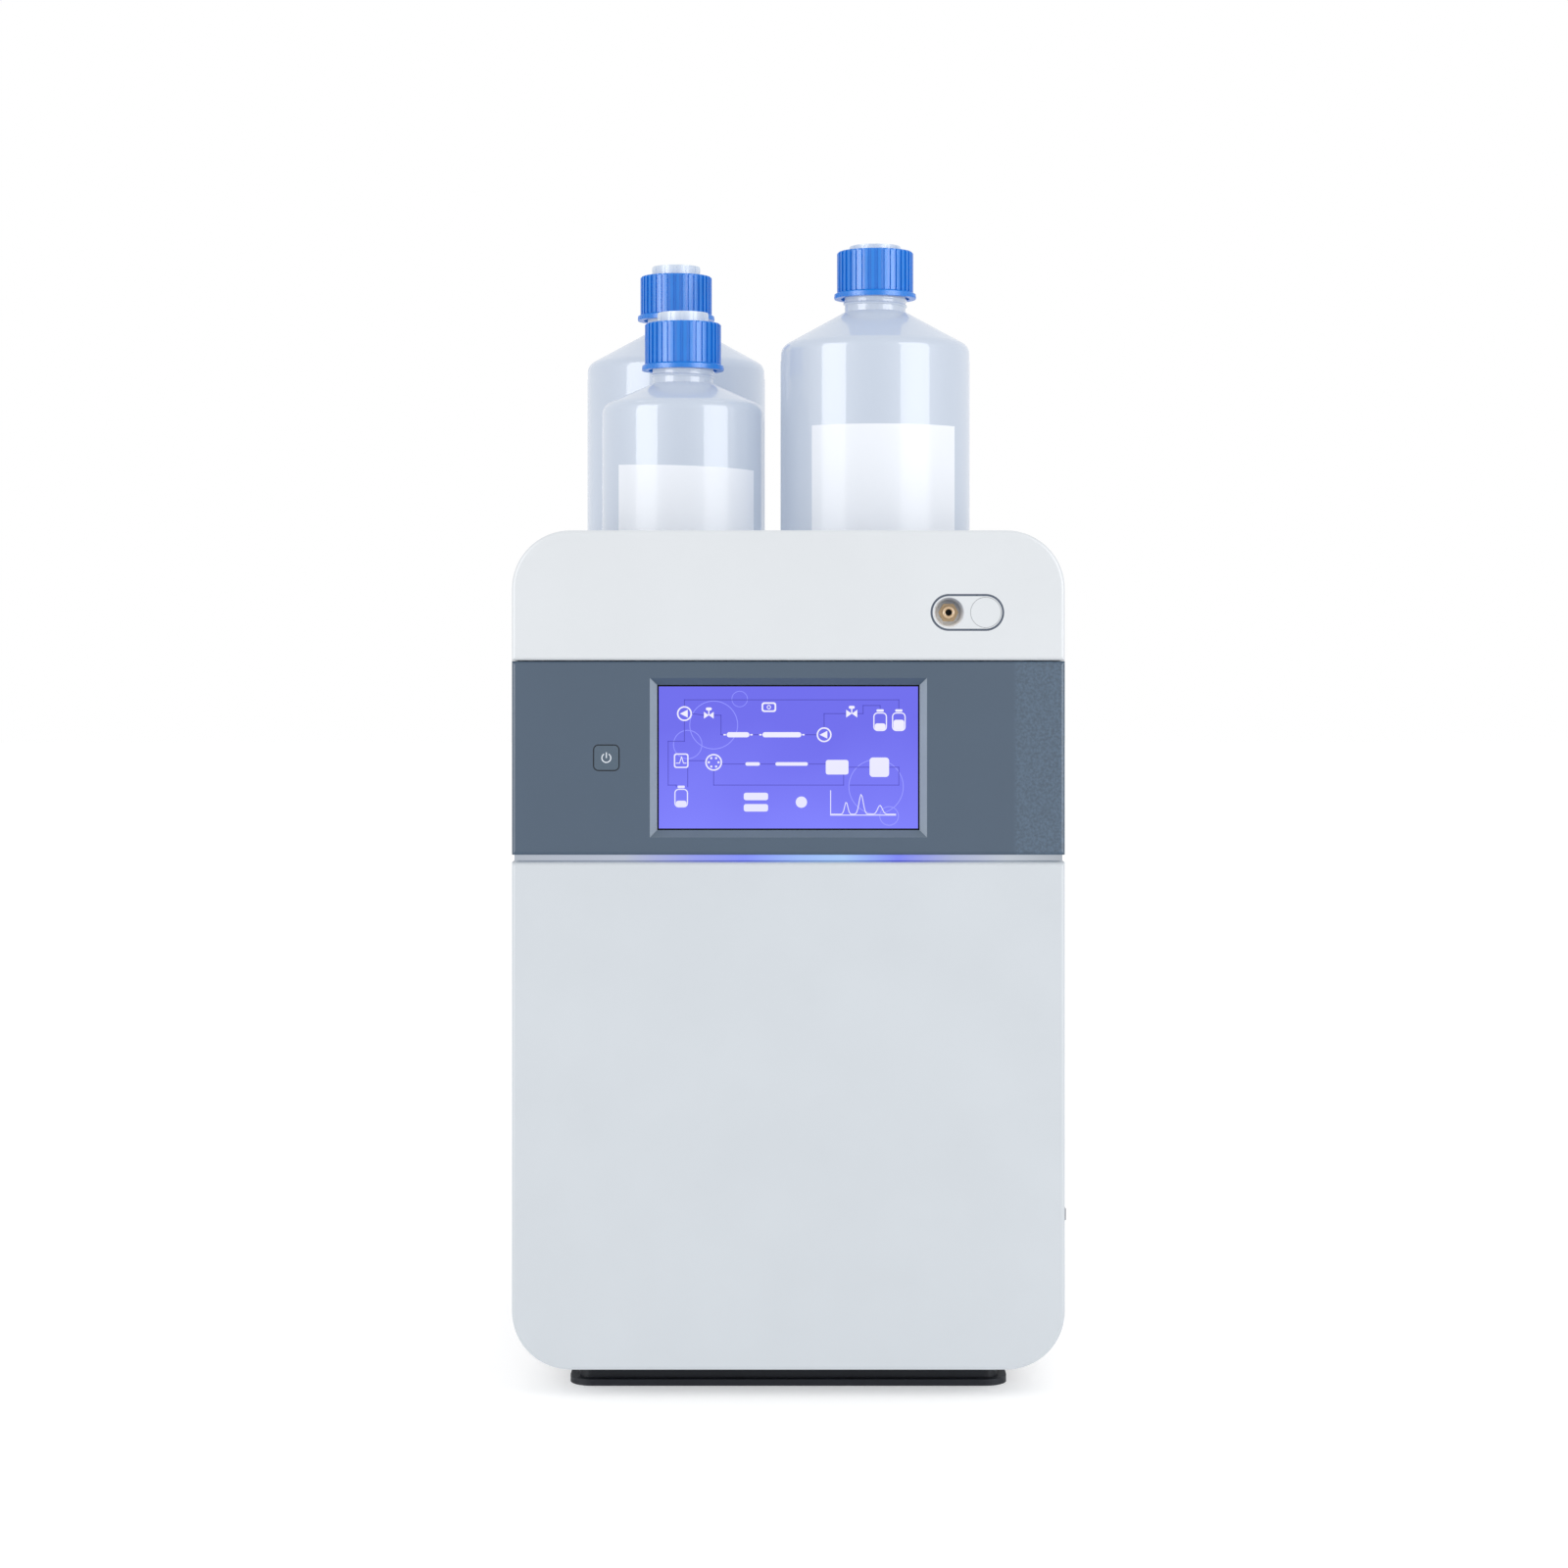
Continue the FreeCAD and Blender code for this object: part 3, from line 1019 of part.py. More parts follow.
def valve_ports():
    """The six tube ports of the injection valve, as x and z of each axis."""
    return [(f"({VALVE_X} + nut_circle * cos({turn}))", f"({VALVE_Z} + nut_circle * sin({turn}))")
            for turn in range(0, 360, 60)]


def make_injection_valve():
    corner = (f"{VALVE_X} - actuator_size / 2", ACTUATOR_FRONT, f"{VALVE_Z} - actuator_size / 2")
    case = box("actuator_case", corner, "actuator_size", "actuator_depth", "actuator_size")
    DOC.recompute()
    node("valve_actuator", round_edges("actuator", case, "module_round",
                                       edge_numbers(case.Shape, along="z", y=ACTUATOR_FRONT)))
    head = rod("valve_head", (VALVE_X, ACTUATOR_FRONT, VALVE_Z), "valve_radius", "valve_length", "-y")
    node("injection_valve", head)
    nuts = [hexagon(f"valve_nut_{i}", (x, VALVE_FRONT, z), "2 * fitting_radius", "fitting_length", "-y")
            for i, (x, z) in enumerate(valve_ports())]
    node("valve_fittings", group("valve_nuts", *nuts))


def make_column(name, x, foot, length):
    """A packed column: tube between two hexagonal end fittings."""
    tube = rod(name + "_tube", (x, COLUMN_Y, foot), "column_radius", length)
    ends = [hexagon(f"{name}_end_{i}", (x, COLUMN_Y, z), "2 * end_radius", "end_length")
            for i, z in enumerate((foot, f"{foot} + {length} - end_length"))]
    node(name, fuse(name + "_whole", tube, *ends))


def make_columns():
    make_column("analytical_column", COLUMN_X, COLUMN_FOOT, "column_length")
    make_column("guard_column", GUARD_X, GUARD_FOOT, "guard_length")
    clips = []
    places = [(COLUMN_X, f"{COLUMN_FOOT} + clip_inset"), (COLUMN_X, f"{COLUMN_FOOT} + column_length - clip_inset"),
              (GUARD_X, f"{GUARD_FOOT} + guard_length / 2")]
    for i, (x, middle) in enumerate(places):
        foot, front = f"({middle} - clip_height / 2)", f"{COLUMN_Y} - column_radius"
        block = box(f"clip_{i}", (f"{x} - clip_width / 2", front, foot),
                    "clip_width", "column_radius + column_reach", "clip_height")
        bore = rod(f"clip_bore_{i}", (x, COLUMN_Y, foot), "column_radius", "clip_height")
        mouth = box(f"clip_mouth_{i}", (f"{x} - clip_mouth / 2", front, foot),
                    "clip_mouth", "column_radius", "clip_height")
        clips.append(cut(f"clip_open_{i}", block, bore, mouth))
    node("column_clips", group("clips", *clips))


def make_detectors():
    """Suppressor, conductivity cell and eluent degasser, each on the rear wall of the bay."""
    for name, x, foot, wide, deep, tall in (
            ("suppressor", SUPPRESSOR_X, SUPPRESSOR_FOOT, "suppressor_width", "suppressor_depth", "suppressor_height"),
            ("conductivity_cell", CELL_X, CELL_FOOT, "cell_size", "cell_depth", "cell_size"),
            ("degasser", DEGASSER_X, PUMP_FOOT, DEGASSER_WIDTH, "degasser_depth", "degasser_height")):
        front = f"({BAY_WALL} - {deep})"
        case = box(name + "_case", (f"{x} - {wide} / 2", front, foot), wide, deep, tall)
        DOC.recompute()
        edges = edge_numbers(case.Shape, along="z", y=front)
        node(name, round_edges(name + "_body", case, "module_round / 2", edges))


def tube(name, places, bend="tube_bend"):
    """A capillary: straight runs joined by tangent arcs, each a true cylinder or ring segment."""
    points = [Vector(*map(value, place)) for place in places]
    radius, bore = value(bend), value("tube_radius")
    pieces, start, length = [], points[0], 0
    for before, corner, after in zip(points, points[1:], points[2:]):
        inward = (before - corner).normalize()
        outward = (after - corner).normalize()
        half = inward.getAngle(outward) / 2
        first = corner + inward * (radius / math.tan(half))
        centre = corner + (inward + outward).normalize() * (radius / math.sin(half))
        turn = math.pi - 2 * half
        section = Part.Face(Part.Wire(Part.Circle(first, inward, bore).toShape()))
        pieces.append(Part.makeCylinder(bore, (first - start).Length, start, first - start))
        pieces.append(section.revolve(centre, outward.cross(inward), math.degrees(turn)))
        length += (first - start).Length + radius * turn
        start = corner + outward * (radius / math.tan(half))
    pieces.append(Part.makeCylinder(bore, (points[-1] - start).Length, start, points[-1] - start))
    length += (points[-1] - start).Length
    shape = pieces[0].multiFuse(pieces[1:]).removeSplitter()
    if abs(shape.Volume / (math.pi * bore ** 2 * length) - 1) > 0.01:
        raise RuntimeError(f"{name} does not fill its path")
    item = DOC.addObject("Part::Feature", name)
    item.Shape = shape
    return item


def make_capillaries():
    """The flow path from pump to valve, columns, suppressor and cell."""
    ports = valve_ports()
    nut_face = f"({VALVE_FRONT} - fitting_length)"
    bow = f"({nut_face} - line_bow)"
    left_head = f"({PUMP_X} - head_spacing / 2)"
    head_top = f"({HEAD_Z} + head_radius + check_length)"
    low = f"({VALVE_Z} - nut_circle - line_drop)"
    high = f"({VALVE_Z} + valve_radius + loop_rise)"
    guard_top, under = f"({GUARD_FOOT} + guard_length)", f"({COLUMN_FOOT} - column_lead)"
    lines = [
        tube("pump_line", [(left_head, CHECK_Y, head_top), (left_head, CHECK_Y, low), (ports[4][0], bow, low),
                           (ports[4][0], bow, ports[4][1]), (ports[4][0], nut_face, ports[4][1])]),
        tube("guard_line", [(ports[0][0], nut_face, ports[0][1]), (ports[0][0], bow, ports[0][1]),
                            (GUARD_X, bow, ports[0][1]), (GUARD_X, COLUMN_Y, f"{guard_top} + guard_lead"),
                            (GUARD_X, COLUMN_Y, guard_top)]),
        tube("column_line", [(GUARD_X, COLUMN_Y, GUARD_FOOT), (GUARD_X, COLUMN_Y, under),
                             (COLUMN_X, COLUMN_Y, under), (COLUMN_X, COLUMN_Y, COLUMN_FOOT)]),
        tube("sample_loop", [(ports[1][0], nut_face, ports[1][1]), (ports[1][0], bow, ports[1][1]),
                             (f"{ports[1][0]} + loop_spread", bow, high), (f"{ports[2][0]} - loop_spread", bow, high),
                             (ports[2][0], bow, ports[2][1]), (ports[2][0], nut_face, ports[2][1])], "loop_bend"),
    ]
    node("capillary_tubes", group("lines", *lines))


def make_bottle(name, x, y, radius, side, shoulder, rise):
    """A blown bottle with its screw cap and the tubing stopper that the cap holds down."""
    wall, top = "bottle_wall", f"({side} + {shoulder})"
    neck_top = f"({top} + {NECK_RISE})"
    body = new_body(name, (x, y, TRAY_FLOOR))
    ridge = f"({neck_top} - 2 * thread_height)"
    shape = turned(body, [
        ("0", "0"), (radius, "0"), (radius, side), ("neck_radius", top), ("neck_radius", f"{ridge} - thread_height"),
        ("thread_radius", ridge), ("neck_radius", f"{ridge} + thread_height"),
        ("neck_radius", neck_top), (INNER_NECK, neck_top), (INNER_NECK, top),
        (f"{radius} - {wall}", side), (f"{radius} - {wall}", wall), ("0", wall)])
    foot = ring_edges(shape.Shape, radius, "0")
    shape = soften(body, shape, "bottle_foot", foot)
    soften(body, shape, "shoulder_round", ring_edges(shape.Shape, radius, side))
    node(name, body)

    cap_foot = f"({top} + neck_visible)"
    cap = new_body(name + "_cap", (x, y, f"{TRAY_FLOOR} + {cap_foot}"))
    high = "screw_cap_height"
    turned(cap, [
        ("cap_bore", "0"), ("cap_skirt", "0"), ("cap_skirt", "skirt_height - cap_bevel"), ("cap_radius", "skirt_height"),
        ("cap_radius", f"{high} - cap_bevel"), ("cap_radius - cap_bevel", high), ("cap_hole", high),
        ("cap_hole", f"{high} - cap_top"), ("cap_bore", f"{high} - cap_top")])
    groove = oblong(cap, name + "_groove", "XY_Plane", "cap_radius - rib_depth", "-rib_width / 2",
                    "cap_skirt + cap_bevel", "rib_width / 2", "skirt_height")
    repeat(cap, pocket(cap, groove, high), CAP_GROOVES)
    node(name + "_cap", cap)

    stopper = new_body(name + "_stopper", (x, y, f"{TRAY_FLOOR} + {neck_top}"))
    plug = f"({INNER_NECK} - fit_gap)"
    boss_top = f"(flange_wall + running_gap + cap_top + {rise})"
    turned(stopper, [("0", "-stopper_plug"), (plug, "-stopper_plug"), (plug, "0"), ("stopper_flange", "0"),
                     ("stopper_flange", "flange_wall"), ("stopper_radius", "flange_wall"),
                     ("stopper_radius", boss_top), ("0", boss_top)])
    holes = [("0", "tube_ring"), ("tube_ring * cos(30)", "-tube_ring / 2"), ("-tube_ring * cos(30)", "-tube_ring / 2")]
    ring = circles(stopper, name + "_tube_holes", "XY_Plane", holes, "tube_hole", "-stopper_plug")
    pocket(stopper, ring, f"stopper_plug + {boss_top}")
    node(name + "_stopper", stopper)


def ring_edges(shape, radius, height):
    """Circular edges of a given radius at a given height."""
    found = []
    for number, edge in enumerate(shape.Edges, start=1):
        if edge.Curve.TypeId != "Part::GeomCircle":
            continue
        if near(edge.Curve.Radius, radius) and near(edge.BoundBox.ZMin, height):
            found.append(number)
    return found


def make_bottles():
    large = ("large_radius", "large_side", "large_cone")
    small = ("small_radius", "small_side", "small_cone")
    make_bottle("right_bottle", "right_bottle_x", f"{FRONT} + first_row", *large, "short_rise")
    make_bottle("rear_bottle", "-left_bottle_x", f"{FRONT} + second_row", *large, "tall_rise")
    make_bottle("small_bottle", "-front_bottle_x", f"{FRONT} + first_row", *small, "tall_rise")


def make_fan():
    """The cooling fan behind the rear panel, and the grille plate outside it."""
    x, z, half = FAN_X, "fan_height", "fan_size / 2"
    inner_y = f"({PANEL_INSIDE} - fan_depth)"
    frame = rounded_box("fan_case", (f"{x} - {half}", inner_y, f"{z} - {half}"), "fan_size", "fan_depth", "fan_size",
                        "fan_wall", "y")
    bore = rod("fan_duct", (x, inner_y, z), "fan_bore", "fan_depth", "y")
    flat = box("fan_arm_flat", (f"{x} - fan_bore - fan_wall / 3", inner_y, f"{z} - fan_wall"),
               "2 * fan_bore + fan_wall * 2 / 3", "fan_wall", "2 * fan_wall")
    upright = box("fan_arm_upright", (f"{x} - fan_wall", inner_y, f"{z} - fan_bore - fan_wall / 3"),
                  "2 * fan_wall", "fan_wall", "2 * fan_bore + fan_wall * 2 / 3")
    hub = rod("fan_motor", (x, inner_y, z), "hub_radius", "fan_wall", "y")
    shaft = rod("fan_shaft", (x, inner_y, z), "shaft_radius", "fan_wall + shaft_length", "y")
    node("fan_frame", fuse("fan_housing", cut("fan_ring", frame, bore), flat, upright, hub, shaft))

    body = new_body("rotor", (x, f"{inner_y} + fan_wall + fit_gap", z), "y")
    turned(body, [("shaft_radius + running_gap", "0"), ("hub_radius", "0"), ("hub_radius", "hub_length - hub_bevel"),
                  ("hub_radius - hub_bevel", "hub_length"), ("0", "hub_length"), ("0", "hub_length - hub_wall"),
                  ("shaft_radius + running_gap", "hub_length - hub_wall")])
    sections = []
    for name, pitch, out in (("root", "root_pitch", "hub_radius - blade_root"), ("tip", "tip_pitch", "blade_tip")):
        long_y, long_z = f"blade_chord / 2 * cos({pitch})", f"blade_chord / 2 * sin({pitch})"
        thick_y, thick_z = f"blade_wall / 2 * sin({pitch})", f"blade_wall / 2 * cos({pitch})"
        middle = "hub_length / 2"
        corners = [(f"-({long_y}) - {thick_y}", f"{middle} - ({long_z}) + {thick_z}"),
                   (f"-({long_y}) + {thick_y}", f"{middle} - ({long_z}) - {thick_z}"),
                   (f"{long_y} + {thick_y}", f"{middle} + {long_z} - {thick_z}"),
                   (f"{long_y} - {thick_y}", f"{middle} + {long_z} + {thick_z}")]
        sections.append(outline(body, f"blade_{name}", "YZ_Plane", corners, out))
    blade = body.newObject("PartDesign::AdditiveLoft", "blade")
    blade.Profile = sections[0]
    blade.Sections = [sections[1]]
    blade.Ruled = True
    DOC.recompute()
    repeat(body, blade, FAN_BLADES)
    node("fan_rotor", body)

    side = "guard_size / 2"
    sheet = rounded_box("guard_sheet", (f"{x} - {side}", PANEL_OUTSIDE, f"{z} - {side}"), "guard_size", "guard_wall",
                        "guard_size", "fan_wall", "y")
    holes = []
    for ring in range(1, GRILLE_RINGS + 1):
        for step in range(6 * ring):
            corner, along = divmod(step, ring)
            turn, ahead = 60 * corner, 60 * corner + 120
            across = f"{ring} * cos({turn}) + {along} * cos({ahead})"
            up = f"{ring} * sin({turn}) + {along} * sin({ahead})"
            holes.append(hexagon("guard_hole", (f"{x} + guard_pitch * ({across})", PANEL_OUTSIDE,
                                                f"{z} + guard_pitch * ({up})"), "2 * guard_hole", "guard_wall", "y"))
    node("fan_grille", cut("guard", sheet, *holes))


def make_mains():
    """The mains inlet with its socket and rocker switch."""
    x, z = INLET_X, "inlet_height"
    case = box("inlet_case", (f"{x} - inlet_width / 2", f"{PANEL_OUTSIDE} - inlet_depth", f"{z} - inlet_tall / 2"),
               "inlet_width", "inlet_depth", "inlet_tall")
    corner = (f"{x} - inlet_width / 2 - inlet_flange", PANEL_OUTSIDE, f"{z} - inlet_tall / 2 - inlet_flange")
    flange = rounded_box("inlet_plate", corner, "inlet_width + 2 * inlet_flange", "inlet_flange",
                         "inlet_tall + 2 * inlet_flange", "inlet_flange", "y")
    socket_y = f"({INLET_FACE} - socket_depth)"
    socket = box("socket", (f"{x} - socket_width / 2", socket_y, SOCKET_FOOT),
                 "socket_width", "socket_depth", "socket_tall")
    pins = []
    for name, shift, rise in (("left", "-contact_spread", "contact_rise"), ("right", "contact_spread", "contact_rise"),
                              ("earth", "0", "earth_rise")):
        pins.append(box(f"{name}_contact", (f"{x} + {shift} - contact_width / 2", socket_y, f"{SOCKET_FOOT} + {rise}"),
                        "contact_width", "contact_length", "contact_tall"))
    rocker_z = f"({SOCKET_FOOT} + socket_tall + rocker_gap + rocker_tall / 2)"
    left, wide = f"({x} - rocker_width / 2 - fit_gap)", "rocker_width + 2 * fit_gap"
    foot = f"{rocker_z} - rocker_tall / 2 - rocker_end"
    room = box("rocker_opening", (left, f"{INLET_FACE} - rocker_room", foot), wide, "rocker_room",
               "rocker_tall + 2 * rocker_end")
    pivot_y = f"({INLET_FACE} - pivot_depth)"
    axle = rod("rocker_axle", (left, pivot_y, rocker_z), "pin_radius", wide, "x")
    inlet = cut("inlet", fuse("inlet_blank", case, flange), socket, room)
    node("mains_inlet", fuse("inlet_whole", inlet, *pins, axle))
    body = new_body("rocker", (f"{x} - rocker_width / 2", pivot_y, rocker_z))
    body.Placement.Rotation = Rotation(Vector(-1, 0, 0), value("rocker_tilt"))
    end = "(rocker_tall / 2 - rocker_trim)"
    face = outline(body, "rocker_side", "YZ_Plane", [
        ("-rocker_root", "-rocker_waist"), ("pivot_depth", f"-{end}"), ("pivot_depth + rocker_lip", f"-{end}"),
        ("pivot_depth - rocker_dish", "0"), ("pivot_depth + rocker_lip", end), ("pivot_depth", end),
        ("-rocker_root", "rocker_waist")])
    pad(body, face, "rocker_width")
    axis = circles(body, "rocker_bore", "YZ_Plane", [("0", "0")], "pin_radius + running_gap")
    pocket(body, axis, "rocker_width")
    node("mains_switch", body)


def make_connectors():
    """A row of interface sockets, the waste outlets and the power supply behind the panel."""
    z, face = "block_height", f"({PANEL_OUTSIDE} + block_proud)"
    corner = (f"{BLOCK_X} - block_width / 2", f"{PANEL_OUTSIDE} - block_depth", f"{z} - block_tall / 2")
    block = box("connector_case", corner, "block_width", "block_depth + block_proud", "block_tall")
    sockets = []
    for name, shift, wide, tall in (("network", "-network_x", "network_width", "network_tall"),
                                    ("host", "-host_x", "serial_width", "serial_tall"),
                                    ("device", "device_x", "serial_width", "serial_tall"),
                                    ("service", "service_x", "service_size", "service_size")):
        corner = (f"{BLOCK_X} + {shift} - {wide} / 2", f"{face} - jack_depth", f"{z} - {tall} / 2")
        sockets.append(box(f"{name}_socket", corner, wide, "jack_depth", tall))
    node("interface_sockets", cut("connectors", block, *sockets))
    outlets = []
    for name, x in (("left", "-outlet_x"), ("right", "outlet_x")):
        flange = rod(f"{name}_flange", (x, PANEL_OUTSIDE, z), "outlet_flange", "outlet_wall", "y")
        nose = rod(f"{name}_nose", (x, PANEL_OUTSIDE, z), "outlet_radius", "outlet_length", "y")
        bore = rod(f"{name}_nose_bore", (x, PANEL_OUTSIDE, z), "outlet_bore", "outlet_length", "y")
        outlets.append(cut(f"{name}_outlet", fuse(f"{name}_outlet_blank", flange, nose), bore))
    node("waste_outlets", group("outlets", *outlets))
    corner = (f"{WEB_INSIDE} - supply_gap - supply_width", f"{PANEL_INSIDE} - supply_reach - supply_depth", FLOOR_TOP)
    node("power_supply", box("supply", corner, "supply_width", "supply_depth", "supply_height"))


def make_screws():
    """Screws that hold the rear panel and the side covers."""
    screws = []
    side = f"({SKIN} - screw_inset)"
    rows = (f"{EAVES} - screw_inset", "plinth_height + corner_radius + screw_inset", "screw_rise")
    for x in (f"-{side}", side):
        for z in rows:
            screws.append(rod("screw", (x, PANEL_OUTSIDE, z), "screw_radius", "screw_head", "y"))
    node("cover_screws", group("screws", *screws))


def check_model():
    """Stop if any object failed, or a sub-part is empty or not valid."""
    DOC.recompute()
    for item in DOC.Objects:
        if "Invalid" in item.State or "Error" in item.State:
            raise RuntimeError(f"{item.Label}: {item.State}")
    for name, item in NODES.items():
        if item.Shape.isNull() or not item.Shape.isValid() or item.Shape.Volume <= 0:
            raise RuntimeError(f"{name} has no valid shape")


def export_parts():
    os.makedirs("parts", exist_ok=True)
    for name, item in NODES.items():
        item.Shape.exportStep(os.path.join("parts", f"{name}.step"))
    print(len(NODES), "sub-parts written")


make_plinth()
make_floor_pan()
make_chassis_plate("left_chassis_plate", -1)
make_chassis_plate("right_chassis_plate", 1)
make_side_cover("left_side_cover", -1)
make_side_cover("right_side_cover", 1)
make_roof()
make_rear_panel()
make_upper_fascia()
make_display_band()
make_light_bar()
make_front_door()
make_door_fittings()
make_hinges()
make_screen()
make_power_button()
make_port()
make_bay()
make_pump()
make_purge_knob()
make_injection_valve()
make_columns()
make_detectors()
make_capillaries()
make_bottles()
make_fan()
make_mains()
make_connectors()
make_screws()
check_model()
export_parts()
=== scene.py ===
# %% [markdown]
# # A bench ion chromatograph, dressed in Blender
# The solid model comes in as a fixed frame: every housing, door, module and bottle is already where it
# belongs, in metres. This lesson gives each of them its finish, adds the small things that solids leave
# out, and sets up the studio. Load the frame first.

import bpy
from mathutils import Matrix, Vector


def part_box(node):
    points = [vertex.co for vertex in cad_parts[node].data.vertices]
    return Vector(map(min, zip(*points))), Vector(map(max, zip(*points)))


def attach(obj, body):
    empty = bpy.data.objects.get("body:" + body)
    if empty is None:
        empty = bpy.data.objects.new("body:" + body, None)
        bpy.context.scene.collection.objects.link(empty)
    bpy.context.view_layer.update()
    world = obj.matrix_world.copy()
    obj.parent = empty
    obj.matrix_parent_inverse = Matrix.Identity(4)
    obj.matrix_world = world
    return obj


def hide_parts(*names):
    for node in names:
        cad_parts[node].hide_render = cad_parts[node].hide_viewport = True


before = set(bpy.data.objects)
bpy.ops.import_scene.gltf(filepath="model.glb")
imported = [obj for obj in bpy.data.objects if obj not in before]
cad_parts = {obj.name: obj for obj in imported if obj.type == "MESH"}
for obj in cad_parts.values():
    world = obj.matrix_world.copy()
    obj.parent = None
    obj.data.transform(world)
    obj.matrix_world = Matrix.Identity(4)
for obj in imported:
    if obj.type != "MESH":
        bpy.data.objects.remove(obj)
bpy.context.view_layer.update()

# %% [markdown]
# Blender works in metres, but the instrument is drawn in millimetres, so one factor turns the one into
# the other. Colours are easier to choose as eye-drop values from 0 to 255, while shaders want linear
# light, so a small helper converts them.

# %% Units and colours
import bpy
import bmesh
import math
from mathutils import Matrix, Vector

MM = 0.001
WHITE = (1.0, 1.0, 1.0, 1.0)


def tint(red, green, blue):
    """An eye-drop colour as linear light."""
    levels = [level / 255 for level in (red, green, blue)]
    return tuple(v / 12.92 if v <= 0.04045 else ((v + 0.055) / 1.055) ** 2.4 for v in levels) + (1.0,)


def shade(colour, factor):
    return tuple(min(1.0, level * factor) for level in colour[:3]) + (1.0,)


print("middle grey is", [round(share, 3) for share in tint(128, 128, 128)])

# %% [markdown]
# The camera comes early, because every finish is judged through it. The picture was taken level, from
# about 1.8 m in front of the face, with the lens at the height of the display band. A level camera keeps
# uprights upright, and a small shift of the sensor moves the instrument down the frame without tilting
# anything.

# %% Camera
EYE_HEIGHT = 0.4614
EYE_DISTANCE = 2.04
FOCAL_LENGTH = 67.3
SHIFT_RIGHT, SHIFT_UP = -0.0028, -0.0875
lens = bpy.data.cameras.new("studio_camera")
lens.sensor_width = 36.0
lens.lens = FOCAL_LENGTH
lens.shift_x = SHIFT_RIGHT
lens.shift_y = SHIFT_UP
camera = bpy.data.objects.new("studio_camera", lens)
camera.location = (0.0, -EYE_DISTANCE, EYE_HEIGHT)
camera.rotation_euler = (math.radians(90), 0.0, 0.0)
bpy.context.scene.collection.objects.link(camera)
bpy.context.scene.camera = camera
print("camera stands", [round(v / MM) for v in camera.location], "mm from the middle of the plinth")

# %% [markdown]
# The studio is high key: a white world lights the instrument from all round, and two tall soft boxes
# stand to the left and right of the camera. They are kept out of the diffuse light, so they only show
# as reflections: the two upright bands that tell how round the bottles are. A broad lamp above and to
# the right adds the little direction that makes edges readable. The colour view is set to Standard, so
# that white stays white.

# %% World and soft boxes
WORLD_LEVEL = 1.0
BOX_DISTANCE = 2.2
BOX_LEVEL = 63.0
TOP_LEVEL = 5.0
bpy.context.scene.view_settings.view_transform = "Standard"
world = bpy.data.worlds.new("studio_world")
world.use_nodes = True
world.node_tree.nodes["Background"].inputs["Color"].default_value = WHITE
world.node_tree.nodes["Background"].inputs["Strength"].default_value = WORLD_LEVEL
bpy.context.scene.world = world


def soft_box(name, azimuth, width, height, middle, power):
    """A tall lamp that looks at the instrument from an azimuth counted from the camera's side."""
    lamp = bpy.data.lights.new(name, "AREA")
    lamp.shape = "RECTANGLE"
    lamp.size, lamp.size_y, lamp.energy = width, height, power
    turn = math.radians(azimuth)
    stand = bpy.data.objects.new(name, lamp)
    stand.location = (BOX_DISTANCE * math.sin(turn), -BOX_DISTANCE * math.cos(turn), middle)
    stand.rotation_euler = (math.radians(90), 0.0, turn)
    stand.visible_diffuse = False
    bpy.context.scene.collection.objects.link(stand)
    return stand


left_box = soft_box("left_soft_box", -50, 1.25, 2.2, 1.0, BOX_LEVEL)
right_box = soft_box("right_soft_box", 47, 1.45, 2.2, 1.0, BOX_LEVEL)
overhead = bpy.data.lights.new("overhead", "AREA")
overhead.shape = "RECTANGLE"
overhead.size, overhead.size_y, overhead.energy = 1.4, 1.0, TOP_LEVEL
crane = bpy.data.objects.new("overhead", overhead)
crane.location = (0.9, -1.5, 2.3)
crane.rotation_euler = (Vector((0.0, 0.0, 0.35)) - crane.location).to_track_quat("-Z", "Y").to_euler()
crane.visible_glossy = False
bpy.context.scene.collection.objects.link(crane)
print("soft boxes at", [round(v, 2) for v in left_box.location], [round(v, 2) for v in right_box.location])

# %% [markdown]
# A material is a small network. All the plain finishes here share one recipe: a slow noise that mottles
# the colour by a few percent, a fine noise that becomes the grain through a bump, and a little change
# of gloss between them. Each finish only sets its own numbers. The noises read Object coordinates, so
# they stay on the surface whichever way the piece is later moved.

# %% Recipe for a moulded, painted or turned surface
def wire(tree, source, target):
    tree.links.new(source, target)


def noise(tree, coordinates, scale, detail=3.0, stretch=(1.0, 1.0, 1.0)):
    mapping = tree.nodes.new("ShaderNodeMapping")
    mapping.inputs["Scale"].default_value = stretch
    pattern = tree.nodes.new("ShaderNodeTexNoise")
    pattern.inputs["Scale"].default_value = scale
    pattern.inputs["Detail"].default_value = detail
    wire(tree, coordinates, mapping.inputs["Vector"])
    wire(tree, mapping.outputs["Vector"], pattern.inputs["Vector"])
    return pattern.outputs["Fac"]


def between(tree, factor, low, high, start=0.3, end=0.7):
    """Spread a pattern between two colours."""
    ramp = tree.nodes.new("ShaderNodeValToRGB")
    ramp.color_ramp.elements[0].position, ramp.color_ramp.elements[0].color = start, low
    ramp.color_ramp.elements[1].position, ramp.color_ramp.elements[1].color = end, high
    wire(tree, factor, ramp.inputs["Fac"])
    return ramp.outputs["Color"]


def level(tree, factor, low, high):
    """Spread a pattern between two numbers."""
    spread = tree.nodes.new("ShaderNodeMapRange")
    spread.inputs["To Min"].default_value, spread.inputs["To Max"].default_value = low, high
    wire(tree, factor, spread.inputs["Value"])
    return spread.outputs["Result"]


def start_material(name):
    material = bpy.data.materials.new(name)
    material.use_nodes = True
    tree = material.node_tree
    place = tree.nodes.new("ShaderNodeTexCoord").outputs["Object"]
    return material, tree, tree.nodes["Principled BSDF"], place


GLOSS_SPREAD = 0.05


